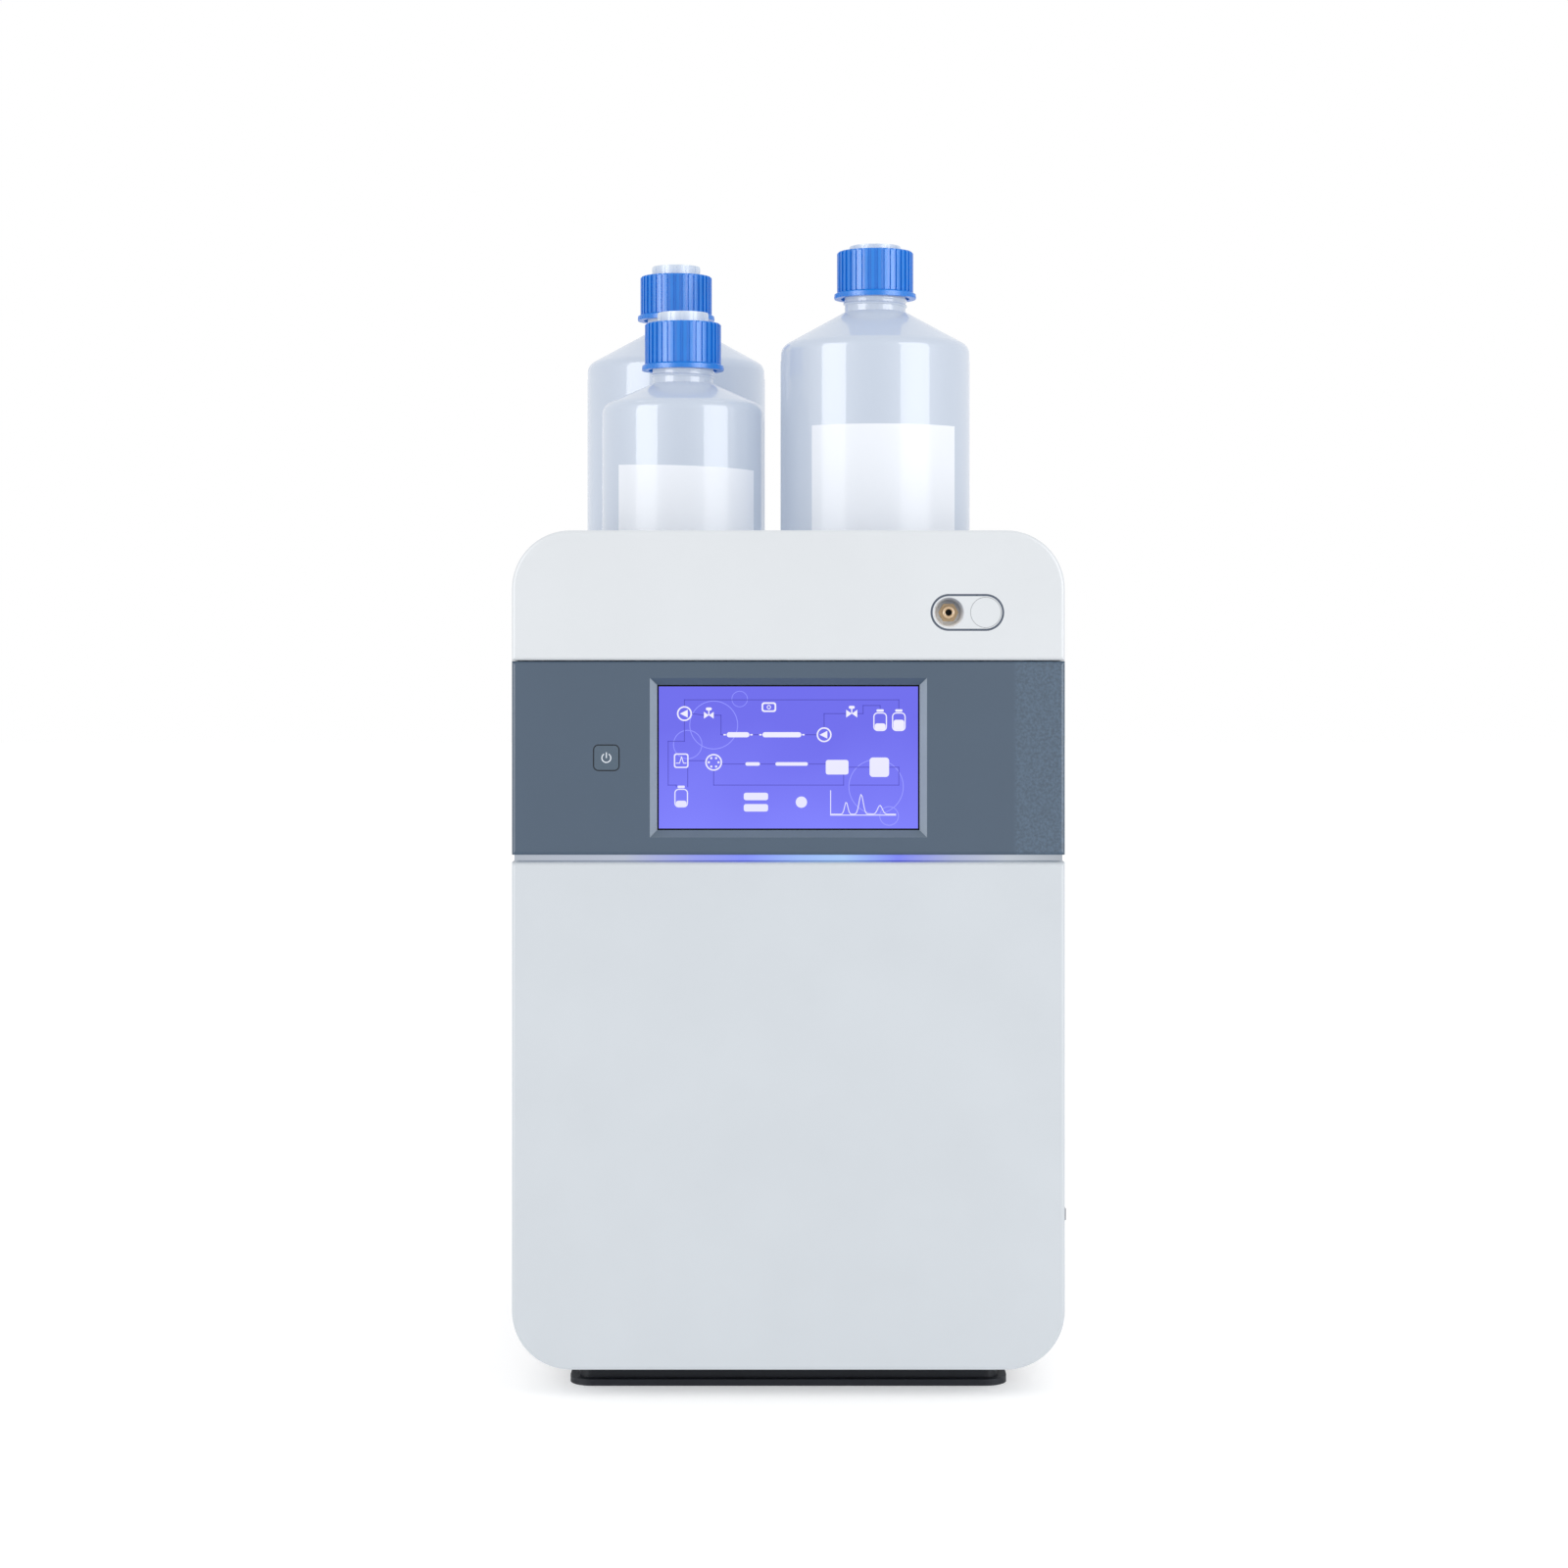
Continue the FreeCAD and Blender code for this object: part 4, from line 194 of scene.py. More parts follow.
def finish(name, colour, gloss, mottle=0.02, patch=18, grain=0.35, bump=0.15, stretch=(1, 1, 1), **uniform):
    """A surface with its colour, roughness, mottling, grain in millimetres, and uniform shader settings."""
    material, tree, shader, place = start_material(name)
    clouds = noise(tree, place, patch, 3.0, stretch)
    mottled = between(tree, clouds, shade(colour, 1 - mottle), shade(colour, 1 + mottle))
    wire(tree, mottled, shader.inputs["Base Color"])
    wire(tree, level(tree, clouds, gloss - GLOSS_SPREAD, gloss + GLOSS_SPREAD), shader.inputs["Roughness"])
    grit = tree.nodes.new("ShaderNodeBump")
    grit.inputs["Strength"].default_value = bump
    grit.inputs["Distance"].default_value = 0.1 * MM
    wire(tree, noise(tree, place, 1 / (grain * MM), 2.0, stretch), grit.inputs["Height"])
    wire(tree, grit.outputs["Normal"], shader.inputs["Normal"])
    for socket, number in uniform.items():
        shader.inputs[socket.replace("_", " ")].default_value = number
    return material


print("recipe ready, with gloss spread by", GLOSS_SPREAD, "to each side")

# %% [markdown]
# Now the finishes themselves, in a maker's words. The front mouldings are satin white plastic, the band
# is dark grey with a fine grain that turns coarser at its right end, where its paler colour is a painted
# sheen of the right soft box, the covers are powder-coated sheet, and the chassis is zinc-plated steel.
# Zinc grows in crystals, which clouds can't give, so a Voronoi pattern takes their place: each cell gets
# its own tone and gloss.

# %% Finishes of the housing
fascia_white = finish("fascia_white", tint(214, 218, 222), 0.42, 0.008, bump=0.08)
door_white = finish("door_white", tint(201, 207, 213), 0.45, 0.012, bump=0.08)
key_grey = finish("key_grey", tint(70, 88, 105), 0.36, 0.02, grain=0.4, bump=0.3)
foot_black = finish("foot_black", tint(16, 22, 32), 0.5, 0.06, grain=0.6, bump=0.4, Specular_IOR_Level=0.3)
pull_grey = finish("pull_grey", tint(118, 122, 132), 0.45, 0.03, grain=0.5, bump=0.2)
satin_black = finish("satin_black", tint(30, 33, 38), 0.4, 0.05)
powder_coat = finish("powder_coat", tint(218, 220, 224), 0.5, 0.01, grain=0.9, bump=0.3)
liner_grey = finish("liner_grey", tint(196, 200, 206), 0.55, 0.02, grain=0.6, bump=0.4)


CRYSTAL_SCALE = 190.0


def zinc_plate(name, colour, gloss):
    """Steel sheet whose zinc shows flat crystals."""
    material, tree, shader, place = start_material(name)
    crystals = tree.nodes.new("ShaderNodeTexVoronoi")
    crystals.inputs["Scale"].default_value = CRYSTAL_SCALE
    wire(tree, place, crystals.inputs["Vector"])
    flat = tree.nodes.new("ShaderNodeSeparateColor")
    wire(tree, crystals.outputs["Color"], flat.inputs["Color"])
    tone = flat.outputs["Red"]
    shown = between(tree, tone, shade(colour, 0.93), shade(colour, 1.05), 0.0, 1.0)
    wire(tree, shown, shader.inputs["Base Color"])
    wire(tree, level(tree, tone, gloss - 0.05, gloss + 0.06), shader.inputs["Roughness"])
    shader.inputs["Metallic"].default_value = 1.0
    return material


# Where the grain turns coarser the colour turns paler: a painted sheen of the right soft box.
GRAIN_AND_SHEEN_BORDER, BORDER_HALF = 139.5, 1.5


def grain_and_painted_sheen_grey(name, smooth, rough_with_sheen):
    """A grey moulding whose right end has a coarser grain and a paler colour, a painted sheen."""
    material, tree, shader, place = start_material(name)
    split = tree.nodes.new("ShaderNodeSeparateXYZ")
    wire(tree, place, split.inputs["Vector"])
    step = tree.nodes.new("ShaderNodeMapRange")
    step.inputs["From Min"].default_value = (GRAIN_AND_SHEEN_BORDER - BORDER_HALF) * MM
    step.inputs["From Max"].default_value = (GRAIN_AND_SHEEN_BORDER + BORDER_HALF) * MM
    wire(tree, split.outputs["X"], step.inputs["Value"])
    fine, coarse = noise(tree, place, 900.0, 2.0), noise(tree, place, 620.0, 3.0)
    calm = between(tree, noise(tree, place, 14.0), shade(smooth, 0.97), shade(smooth, 1.03))
    # Painted sheen: the right end's speckled colour is paler than the rest of the band.
    speckled_with_sheen = between(tree, coarse, shade(rough_with_sheen, 0.8), shade(rough_with_sheen, 1.22), 0.35, 0.65)
    blend = tree.nodes.new("ShaderNodeMix")
    blend.data_type = "RGBA"
    wire(tree, step.outputs["Result"], blend.inputs["Factor"])
    wire(tree, calm, blend.inputs[6])
    wire(tree, speckled_with_sheen, blend.inputs[7])
    wire(tree, blend.outputs[2], shader.inputs["Base Color"])
    wire(tree, level(tree, fine, 0.38, 0.48), shader.inputs["Roughness"])
    relief = tree.nodes.new("ShaderNodeBump")
    relief.inputs["Distance"].default_value = 0.08 * MM
    wire(tree, level(tree, step.outputs["Result"], 0.3, 0.8), relief.inputs["Strength"])
    wire(tree, coarse, relief.inputs["Height"])
    wire(tree, relief.outputs["Normal"], shader.inputs["Normal"])
    return material


band_grey = grain_and_painted_sheen_grey("band_grey", tint(62, 81, 101), tint(68, 88, 108))
zinc = zinc_plate("zinc", tint(196, 198, 200), 0.38)
print(len(bpy.data.materials), "finishes for the housing")

# %% [markdown]
# Metal and small parts come next. One grey could serve them all, but a maker tells them apart at a
# glance. A lathe leaves fine rings round the axis, so turned steel has its noise squeezed along Z, and
# polymer that was milled has it squeezed along Y. The coloured nuts are how the fittings of such an
# instrument are told apart.

# %% Finishes of metal and small parts
ALONG_Z, ALONG_Y = (1, 1, 30), (1, 6, 1)
turned_steel = finish("turned_steel", tint(205, 206, 208), 0.24, 0.04, 40, 0.25, 0.2, ALONG_Z, Metallic=1.0)
bright_steel = finish("bright_steel", tint(214, 215, 217), 0.16, 0.03, 40, 0.4, 0.1, Metallic=1.0)
dark_rim = finish("dark_rim", tint(88, 96, 110), 0.28, 0.04, 60, 0.3, 0.1, Metallic=0.6)
machined_polymer = finish("machined_polymer", tint(178, 152, 116), 0.38, 0.05, 90, 0.3, 0.2, ALONG_Y)
pump_graphite = finish("pump_graphite", tint(62, 68, 76), 0.45, 0.04, grain=0.7, bump=0.4)
module_grey = finish("module_grey", tint(176, 181, 188), 0.5, 0.02, grain=0.7, bump=0.3)
module_blue = finish("module_blue", tint(70, 104, 150), 0.42, 0.03, grain=0.5, bump=0.3)
socket_black = finish("socket_black", tint(26, 27, 30), 0.5, 0.08, 60, 0.4, 0.3)
cap_blue = finish("cap_blue", tint(8, 121, 216), 0.32, 0.03, 60, 0.6, 0.15, Specular_IOR_Level=0.5)
nose_tan = finish("nose_tan", tint(196, 166, 128), 0.2, 0.05, 160, 0.3, 0.05, Coat_Weight=1.0,
                  Coat_Roughness=0.12)
# Two greys for skins over the window's slopes, both painted light: the sides lighter, the lower slope less.
side_slope_painted_light = finish("side_slope_painted_light", tint(128, 142, 156), 0.5, 0.04, 60, 0.5, 0.4)
lower_slope_painted_light = finish("lower_slope_painted_light", tint(90, 106, 120), 0.5, 0.04, 60, 0.5, 0.4)
nut_white = finish("nut_white", tint(216, 216, 212), 0.42, 0.02, 90, 0.4, 0.15)
nut_blue = finish("nut_blue", tint(44, 92, 168), 0.42, 0.04, 90, 0.4, 0.15)
nut_red = finish("nut_red", tint(180, 52, 44), 0.42, 0.04, 90, 0.4, 0.15)
contact_gold = finish("contact_gold", tint(214, 176, 96), 0.25, 0.05, 200, 0.2, 0.05, Metallic=1.0)
# The grey of the thin ring round the blanking disc: a painted shadow of its gap.
gap_shadow_grey = finish("gap_shadow_grey", tint(128, 132, 138), 0.5, 0.04, 120, 0.3, 0.1)
socket_white = finish("socket_white", tint(206, 206, 200), 0.5, 0.03, 120, 0.4, 0.1)
mark_white = finish("mark_white", tint(222, 228, 236), 0.35, 0.01)
lamp_green = finish("lamp_green", tint(90, 190, 120), 0.3, 0.04, 200, 0.3, 0.05,
                    Emission_Color=tint(90, 220, 130), Emission_Strength=0.5)
print(len(bpy.data.materials), "finishes with metal and small parts")

# %% [markdown]
# The bottles are blown from a milky plastic. Full transmission would look like glass, so only a tenth of
# the light goes through the wall. A faint glow of the same pale blue stands in for the light that
# scatters inside the plastic, which would take a volume and many more samples. A smooth coat on top keeps
# the crisp bands of the soft boxes, and the labels get a thinner one.

# %% Finishes that let light through
bottle_milk = finish("bottle_milk", tint(162, 171, 184), 0.5, 0.012, 12, 0.8, 0.05, Transmission_Weight=0.1,
                     Coat_Weight=0.6, Coat_Roughness=0.06, Emission_Color=tint(204, 214, 230),
                     Emission_Strength=0.3)
stopper_milk = finish("stopper_milk", tint(216, 225, 234), 0.4, 0.02, 40, 0.6, 0.0, Coat_Weight=0.3,
                      Coat_Roughness=0.15)
label_film = finish("label_film", tint(240, 244, 251), 0.4, 0.006, 25, 0.4, 0.05, Specular_IOR_Level=0.2,
                    Coat_Weight=0.16, Coat_Roughness=0.06)
tube_clear = finish("tube_clear", tint(216, 220, 222), 0.25, 0.02, 60, 0.5, 0.05, Transmission_Weight=0.6,
                    IOR=1.35)
tube_red = finish("tube_red", tint(176, 40, 36), 0.35, 0.04, 120, 0.4, 0.1)
glass_black = finish("glass_black", tint(3, 5, 16), 0.12, 0.05, 30, 0.8, 0.0, Specular_IOR_Level=0.1)
print(len(bpy.data.materials), "finishes so far")

# %% [markdown]
# The bowl round the injection port is polished, and the real one mirrors a room that is darker above than
# below. A mirror finish would show this studio instead, so the bowl's colour itself runs from light at
# the lower left to darker at the upper right. The dot product of the place in the bowl with a slanting
# direction gives that run.

# %% Finish of the port's bowl
PORT_MIDDLE, BOWL_REACH = (98.6, 0.0, 482.5), 9.0
SLANT = (0.45, 0.0, 0.9)


def shaded_bowl(name, dark, light):
    """Satin silver that turns from light at the lower left of the bowl to dark at its upper right."""
    material, tree, shader, place = start_material(name)
    about = tree.nodes.new("ShaderNodeVectorMath")
    about.operation = "SUBTRACT"
    about.inputs[1].default_value = [v * MM for v in PORT_MIDDLE]
    toward = tree.nodes.new("ShaderNodeVectorMath")
    toward.operation = "DOT_PRODUCT"
    toward.inputs[1].default_value = SLANT
    spread = tree.nodes.new("ShaderNodeMapRange")
    spread.inputs["From Min"].default_value = -BOWL_REACH * MM
    spread.inputs["From Max"].default_value = BOWL_REACH * MM
    wire(tree, place, about.inputs[0])
    wire(tree, about.outputs["Vector"], toward.inputs[0])
    wire(tree, toward.outputs["Value"], spread.inputs["Value"])
    wire(tree, between(tree, spread.outputs["Result"], light, dark, 0.3, 1.0), shader.inputs["Base Color"])
    wire(tree, level(tree, noise(tree, place, 300.0), 0.3, 0.42), shader.inputs["Roughness"])
    return material


bowl_silver = shaded_bowl("bowl_silver", tint(168, 175, 188), tint(253, 254, 255))
print("the bowl's finish spans", 2 * BOWL_REACH, "mm")

# %% [markdown]
# Light that a surface gives off itself is set by the emission colour. On the strip under the band it
# is a ramp along the width: grey where no lamp sits behind the diffuser, deep blue further in, and
# nearly white blue in front of the lamps. The strength stays one number for the whole strip. The lit
# screen is made the same way, with a ramp over its height that drifts a little.

# %% Glowing finishes
STRIP_HALF = 168.5 * MM
PICTURE_FOOT, PICTURE_TOP = 0.35, 0.436


def light_strip_glow(name):
    material, tree, shader, place = start_material(name)
    split = tree.nodes.new("ShaderNodeSeparateXYZ")
    wire(tree, place, split.inputs["Vector"])
    along = tree.nodes.new("ShaderNodeMapRange")
    along.inputs["From Min"].default_value, along.inputs["From Max"].default_value = -STRIP_HALF, STRIP_HALF
    wire(tree, split.outputs["X"], along.inputs["Value"])
    ramp = tree.nodes.new("ShaderNodeValToRGB")
    stops = [(0.0, (172, 180, 190)), (0.2, (180, 188, 206)), (0.33, (140, 150, 240)), (0.42, (120, 135, 255)),
             (0.52, (150, 185, 255)), (0.6, (160, 200, 255)), (0.7, (110, 120, 250)), (0.8, (165, 175, 215)),
             (0.9, (190, 198, 208)), (1.0, (165, 172, 180))]
    elements = ramp.color_ramp.elements
    for index, (spot, colour) in enumerate(stops):
        element = elements[index] if index < 2 else elements.new(spot)
        element.position, element.color = spot, tint(*colour)
    wire(tree, along.outputs["Result"], ramp.inputs["Fac"])
    frost = noise(tree, place, 400.0)
    wire(tree, level(tree, frost, 0.35, 0.5), shader.inputs["Roughness"])
    wire(tree, ramp.outputs["Color"], shader.inputs["Emission Color"])
    shader.inputs["Emission Strength"].default_value = 0.85
    shader.inputs["Base Color"].default_value = tint(60, 64, 72)
    return material


def lit_picture(name, top, bottom, drift):
    """A lit screen colour that changes slowly from its top to its bottom."""
    material, tree, shader, place = start_material(name)
    split = tree.nodes.new("ShaderNodeSeparateXYZ")
    wire(tree, place, split.inputs["Vector"])
    height = tree.nodes.new("ShaderNodeMapRange")
    height.inputs["From Min"].default_value = PICTURE_FOOT
    height.inputs["From Max"].default_value = PICTURE_TOP
    wire(tree, split.outputs["Z"], height.inputs["Value"])
    mix = tree.nodes.new("ShaderNodeMath")
    mix.operation = "MULTIPLY_ADD"
    mix.inputs[1].default_value = drift
    wire(tree, noise(tree, place, 22.0, 1.0), mix.inputs[0])
    wire(tree, height.outputs["Result"], mix.inputs[2])
    glow = between(tree, mix.outputs["Value"], bottom, top, 0.0, 1.0 + drift)
    wire(tree, glow, shader.inputs["Emission Color"])
    shader.inputs["Emission Strength"].default_value = 1.0
    shader.inputs["Base Color"].default_value = tint(8, 8, 20)
    shader.inputs["Roughness"].default_value = 0.2
    return material


strip_glow = light_strip_glow("strip_glow")
picture_blue = lit_picture("picture_blue", tint(100, 98, 232), tint(122, 124, 252), 0.5)
picture_line = lit_picture("picture_line", tint(70, 66, 190), tint(84, 82, 206), 0.3)
picture_faint = lit_picture("picture_faint", tint(140, 142, 255), tint(150, 152, 255), 0.4)
picture_white = lit_picture("picture_white", tint(238, 236, 252), tint(222, 222, 250), 0.2)
print("the strip glows over", round(2 * STRIP_HALF / MM), "mm")

# %% [markdown]
# Each solid piece already carries a material slot, so a finish goes on by filling it. The table says
# in plain words which piece has which finish. Anything the table forgets would show up at once in the
# printed list.

# %% Finishes on the solid pieces
WEARS = {
    foot_black: ["base_plinth"],
    pull_grey: ["door_pull"],
    satin_black: ["fan_frame", "fan_rotor", "mains_switch", "purge_knob", "column_clips", "button_switch"],
    socket_black: ["mains_inlet", "interface_sockets"],
    dark_rim: ["port_rim"],
    fascia_white: ["upper_fascia", "top_tray", "port_insert", "blanking_disc"],
    door_white: ["front_door"],
    liner_grey: ["door_liner", "drip_tray"],
    band_grey: ["display_band"],
    key_grey: ["power_button"],
    powder_coat: ["left_side_cover", "right_side_cover", "rear_panel", "module_bay", "degasser"],
    zinc: ["floor_pan", "left_chassis_plate", "right_chassis_plate", "door_hinges", "catch_plates",
           "power_supply", "fan_grille", "display_module"],
    turned_steel: ["analytical_column", "guard_column", "injection_valve"],
    bright_steel: ["hinge_pins", "cover_screws", "door_magnets"],
    pump_graphite: ["pump_housing"],
    module_grey: ["valve_actuator"],
    module_blue: ["suppressor", "conductivity_cell"],
    machined_polymer: ["injection_port", "pump_heads", "purge_valve", "valve_fittings", "capillary_tubes",
                       "waste_outlets"],
    bottle_milk: ["right_bottle", "rear_bottle", "small_bottle"],
    stopper_milk: ["right_bottle_stopper", "rear_bottle_stopper", "small_bottle_stopper"],
    cap_blue: ["right_bottle_cap", "rear_bottle_cap", "small_bottle_cap"],
    glass_black: ["touch_glass"],
    strip_glow: ["light_bar"],
}
dressed = set()
for material, names in WEARS.items():
    for name in names:
        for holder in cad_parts[name].material_slots:
            holder.material = material
        dressed.add(name)
print("still bare:", sorted(set(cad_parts) - dressed))

# %% [markdown]
# Meshes made here go through one helper. It makes an object at the origin, with the place in its
# points, turns its faces outward, smooths all but its sharp edges, gives it a finish, and tells the
# frame which body it rides on.

# %% Helper for finished pieces
SMOOTH_BELOW = 32


def add_piece(name, shape, material, body):
    """Turn a bmesh, or a grown mesh, into a piece of the instrument with its faces outward."""
    if not isinstance(shape, bmesh.types.BMesh):
        grown, shape = shape, bmesh.new()
        shape.from_mesh(grown)
    bmesh.ops.recalc_face_normals(shape, faces=shape.faces)
    mesh = bpy.data.meshes.new(name)
    shape.to_mesh(mesh)
    shape.free()
    mesh.materials.append(material)
    mesh.shade_smooth()
    mesh.set_sharp_from_angle(angle=math.radians(SMOOTH_BELOW))
    piece = bpy.data.objects.new(name, mesh)
    bpy.context.scene.collection.objects.link(piece)
    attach(piece, body)
    print(name, len(mesh.polygons), "faces on", body)
    return piece


# %% [markdown]
# The picture on the screen is drawn with very thin plates in front of the glass, a layer for each
# colour. A plate is an outline pulled forward by a fraction of a millimetre, so it is a closed solid
# with faces that point outwards. Bars, discs, rings and panels are all made from that one step.

# %% Thin plates for the picture
SCREEN_X, SCREEN_Z = 0.0, 393.25
GLASS_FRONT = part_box("touch_glass")[0][1] / MM


def plate(shape, points, back, front, hole=None):
    """Pull a flat outline of x and z forward from one depth to another; hole is an inner outline."""
    rings = []
    for depth in (back, front):
        outer = [shape.verts.new(Vector((x, depth, z)) * MM) for x, z in points]
        inner = [shape.verts.new(Vector((x, depth, z)) * MM) for x, z in hole] if hole else []
        rings.append((outer, inner))
    (outer_back, inner_back), (outer_front, inner_front) = rings
    count = len(points)
    for i in range(count):
        j = (i + 1) % count
        shape.faces.new((outer_back[i], outer_back[j], outer_front[j], outer_front[i]))
        if hole:
            shape.faces.new((inner_back[j], inner_back[i], inner_front[i], inner_front[j]))
            shape.faces.new((outer_front[i], outer_front[j], inner_front[j], inner_front[i]))
            shape.faces.new((outer_back[j], outer_back[i], inner_back[i], inner_back[j]))
    if not hole:
        shape.faces.new(outer_front)
        shape.faces.new(outer_back[::-1])


def circle(x, z, radius, count=28):
    return [(x + radius * math.cos(2 * math.pi * i / count), z + radius * math.sin(2 * math.pi * i / count))
            for i in range(count)]


def rounded(x, z, width, height, corner, steps=4):
    """The outline of a panel with round corners about its middle."""
    points = []
    for quarter, (side, up) in enumerate(((1, 1), (-1, 1), (-1, -1), (1, -1))):
        for step in range(steps + 1):
            turn = math.radians(90 * (quarter + step / steps))
            points.append((x + side * (width / 2 - corner) + corner * math.cos(turn),
                           z + up * (height / 2 - corner) + corner * math.sin(turn)))
    return points


def strip(points, width):
    """The outlines of straight bars that join points, with square elbows."""
    bars = []
    for (x1, z1), (x2, z2) in zip(points, points[1:]):
        run = Vector((x2 - x1, z2 - z1)).normalized() * width / 2
        side = Vector((-run.y, run.x))
        bars.append([(x1 - run.x - side.x, z1 - run.y - side.y), (x2 + run.x - side.x, z2 + run.y - side.y),
                     (x2 + run.x + side.x, z2 + run.y + side.y), (x1 - run.x + side.x, z1 - run.y + side.y)])
    return bars


print("glass front at", round(GLASS_FRONT, 2), "mm")

# %% [markdown]
# The instrument's screen shows where the liquid goes. This picture uses plain engineering symbols, laid
# out for this lesson: a ring with a triangle is a pump, two triangles make a valve, long capsules are
# columns, and a small chart shows the peaks that the detector sees. It could be an image, but drawn
# plates stay sharp at any distance and need no file. Each symbol is a short function that returns
# outlines, so it can be set down anywhere.

# %% Symbols of the picture
LIT_WIDTH, LIT_HEIGHT = 159.6, 87.4
BEHIND, PANE, MOTIF, LINES, SIGNS = [GLASS_FRONT - step for step in (0.0, 0.06, 0.1, 0.14, 0.2)]


def moved(points):
    """Place picture coordinates, counted from its middle; x runs leftward, as the liquid flows."""
    return [(SCREEN_X - x, SCREEN_Z + z) for x, z in points]


def draw(name, items, front, material):
    """Make one piece from a list of outlines; an item with two outlines has a hole."""
    shape = bmesh.new()
    for outer, *inner in items:
        plate(shape, moved(outer), BEHIND, front, moved(inner[0]) if inner else None)
    return add_piece(name, shape, material, "housing")


def ring(x, z, radius, width, count=36):
    return [circle(x, z, radius, count), circle(x, z, radius - width, count)]


def pump(x, z):
    return [ring(x, z, 4.6, 0.9), [[(x - 2.0, z - 2.4), (x + 2.8, z), (x - 2.0, z + 2.4)]]]


def valve(x, z, size=3.4):
    rise = size * 0.7
    return [[[(x - size, z - rise), (x, z), (x - size, z + rise)]],
            [[(x, z), (x + size, z - rise), (x + size, z + rise)]],
            [[(x - 0.35, z), (x + 0.35, z), (x + 0.35, z + 3.2), (x - 0.35, z + 3.2)]],
            [rounded(x, z + 3.9, 3.6, 1.8, 0.8)]]


def vessel(x, z, fill):
    """A round-bottomed tank with its level."""
    body = rounded(x, z, 8.4, 11.5, 2.6)
    return [[body, rounded(x, z, 7.0, 10.1, 1.9)], [rounded(x, z - 5.0 + fill / 2, 6.6, fill, 1.5)],
            [rounded(x, z + 6.9, 4.4, 1.5, 0.5)]]


def bar(x, z, length, thick):
    """A bar with fully round ends."""
    return [rounded(x, z, length, thick, thick / 2 - 0.01)]


def capsule(x, z, length, thick):
    """A column with a short fitting at each end."""
    return [bar(x, z, length, thick), [rounded(x - length / 2 - 1.2, z, 1.6, 0.9, 0.3)],
            [rounded(x + length / 2 + 1.2, z, 1.6, 0.9, 0.3)]]


def chart(x, z, width, height):
    """Axes and a curve with three peaks."""
    peaks = ((0.24, 0.55, 0.035), (0.47, 0.9, 0.045), (0.76, 0.4, 0.05))
    curve = []
    for step in range(61):
        share = step / 60
        rise = sum(tall * math.exp(-((share - spot) / wide) ** 2) for spot, tall, wide in peaks)
        curve.append((x + width / 2 - share * width, z - height / 2 + 0.6 + rise * (height - 1.5)))
    axes = [(x + width / 2, z + height / 2), (x + width / 2, z - height / 2), (x - width / 2, z - height / 2)]
    return [[piece] for piece in strip(axes, 0.55) + strip(curve, 0.5)]


print("layers of the picture at", [round(depth, 2) for depth in (PANE, MOTIF, LINES, SIGNS)])

# %% [markdown]
# The symbols are set out as the liquid flows: from the vessels through a valve and the pump to the
# columns in the upper row, and through the suppressor and the cell in the lower row. Each place is in
# millimetres from the middle of the screen.

# %% Signs of the flow path
signs = vessel(-68, 22, 6.2) + vessel(-56.5, 22, 4.0) + valve(-39, 27) + pump(-22, 14)
signs += capsule(4, 14, 24, 3.2) + capsule(31, 14, 14, 3.2) + valve(49, 26, 3.0) + pump(64, 27)
signs += [[rounded(12, 31, 9, 6, 1.6), rounded(12, 31, 7, 4, 1.0)], ring(12, 31, 1.3, 0.5, 20)]
signs += [[rounded(-56, -6, 12, 12, 2.0)], [rounded(-30, -6, 14, 9, 1.4)]]
signs += [bar(-2, -4, 20, 2.2), bar(22, -4, 9, 2.2), ring(46, -3, 5.2, 0.9)]
for step in range(6):
    turn = math.radians(60 * step)
    signs.append([circle(46 + 3 * math.cos(turn), -3 + 3 * math.sin(turn), 0.7, 14)])
signs += [[rounded(66, -2, 9, 9, 1.5), rounded(66, -2, 7.4, 7.4, 1.0)]]
signs += [[piece] for piece in strip([(63, -3.5), (64.6, -3.5), (65.8, 0.4), (67, -3.5), (69, -3.5)], 0.5)]
signs += chart(-46, -28, 40, 15) + vessel(66, -25, 3.4)
signs += [[rounded(20, -24, 15, 4.6, 1.4)], [rounded(20, -31, 15, 4.6, 1.4)], [rounded(-8, -27.5, 7, 7, 3.4)]]
print(len(signs), "outlines in the signs")

# %% [markdown]
# Dark lines are the tubes between the symbols, each a list of its corners, and faint rings fill the
# background. Each layer stands a few hundredths of a millimetre before the one behind it, so none of
# them flickers through another.

# %% Tubes and background of the picture
TUBE_WIDTH, SCRIBE_WIDTH = 0.55, 0.5
TUBE_RUNS = [
    [(-68, 30), (-68, 35.5), (64, 35.5), (64, 31.8)],
    [(-56.5, 30), (-56.5, 32), (-46, 32), (-46, 27), (-42.4, 27)],
    [(-35.6, 27), (-22, 27), (-22, 18.7)],
    [(-17.3, 14), (-10.3, 14)],
    [(18.2, 14), (21.9, 14)],
    [(40.2, 14), (41.5, 14), (41.5, 26), (45.9, 26)],
    [(52, 26), (59.3, 27)],
    [(64, 22.3), (64, 10), (74, 10), (74, -17), (69, -17), (69, -18)],
    [(-50, -6), (-37, -6)],
    [(-23, -4), (-12, -4)],
    [(8, -4), (17.5, -4)],
    [(26.5, -4), (40.8, -4)],
    [(51.2, -2), (61.4, -2)],
    [(-34, -10.6), (-34, -17), (46, -17), (46, -8.2)],
    [(-62, -6), (-68, -6), (-68, -17), (-38, -17)],
    [(62, -6.6), (62, -18)],
]
SCRIBES = [[(13, -24), (27, -24)], [(13, -31), (24, -31)]]
tubes = [[piece] for run in TUBE_RUNS for piece in strip(run, TUBE_WIDTH)]
tubes += [[piece] for run in SCRIBES for piece in strip(run, SCRIBE_WIDTH)]
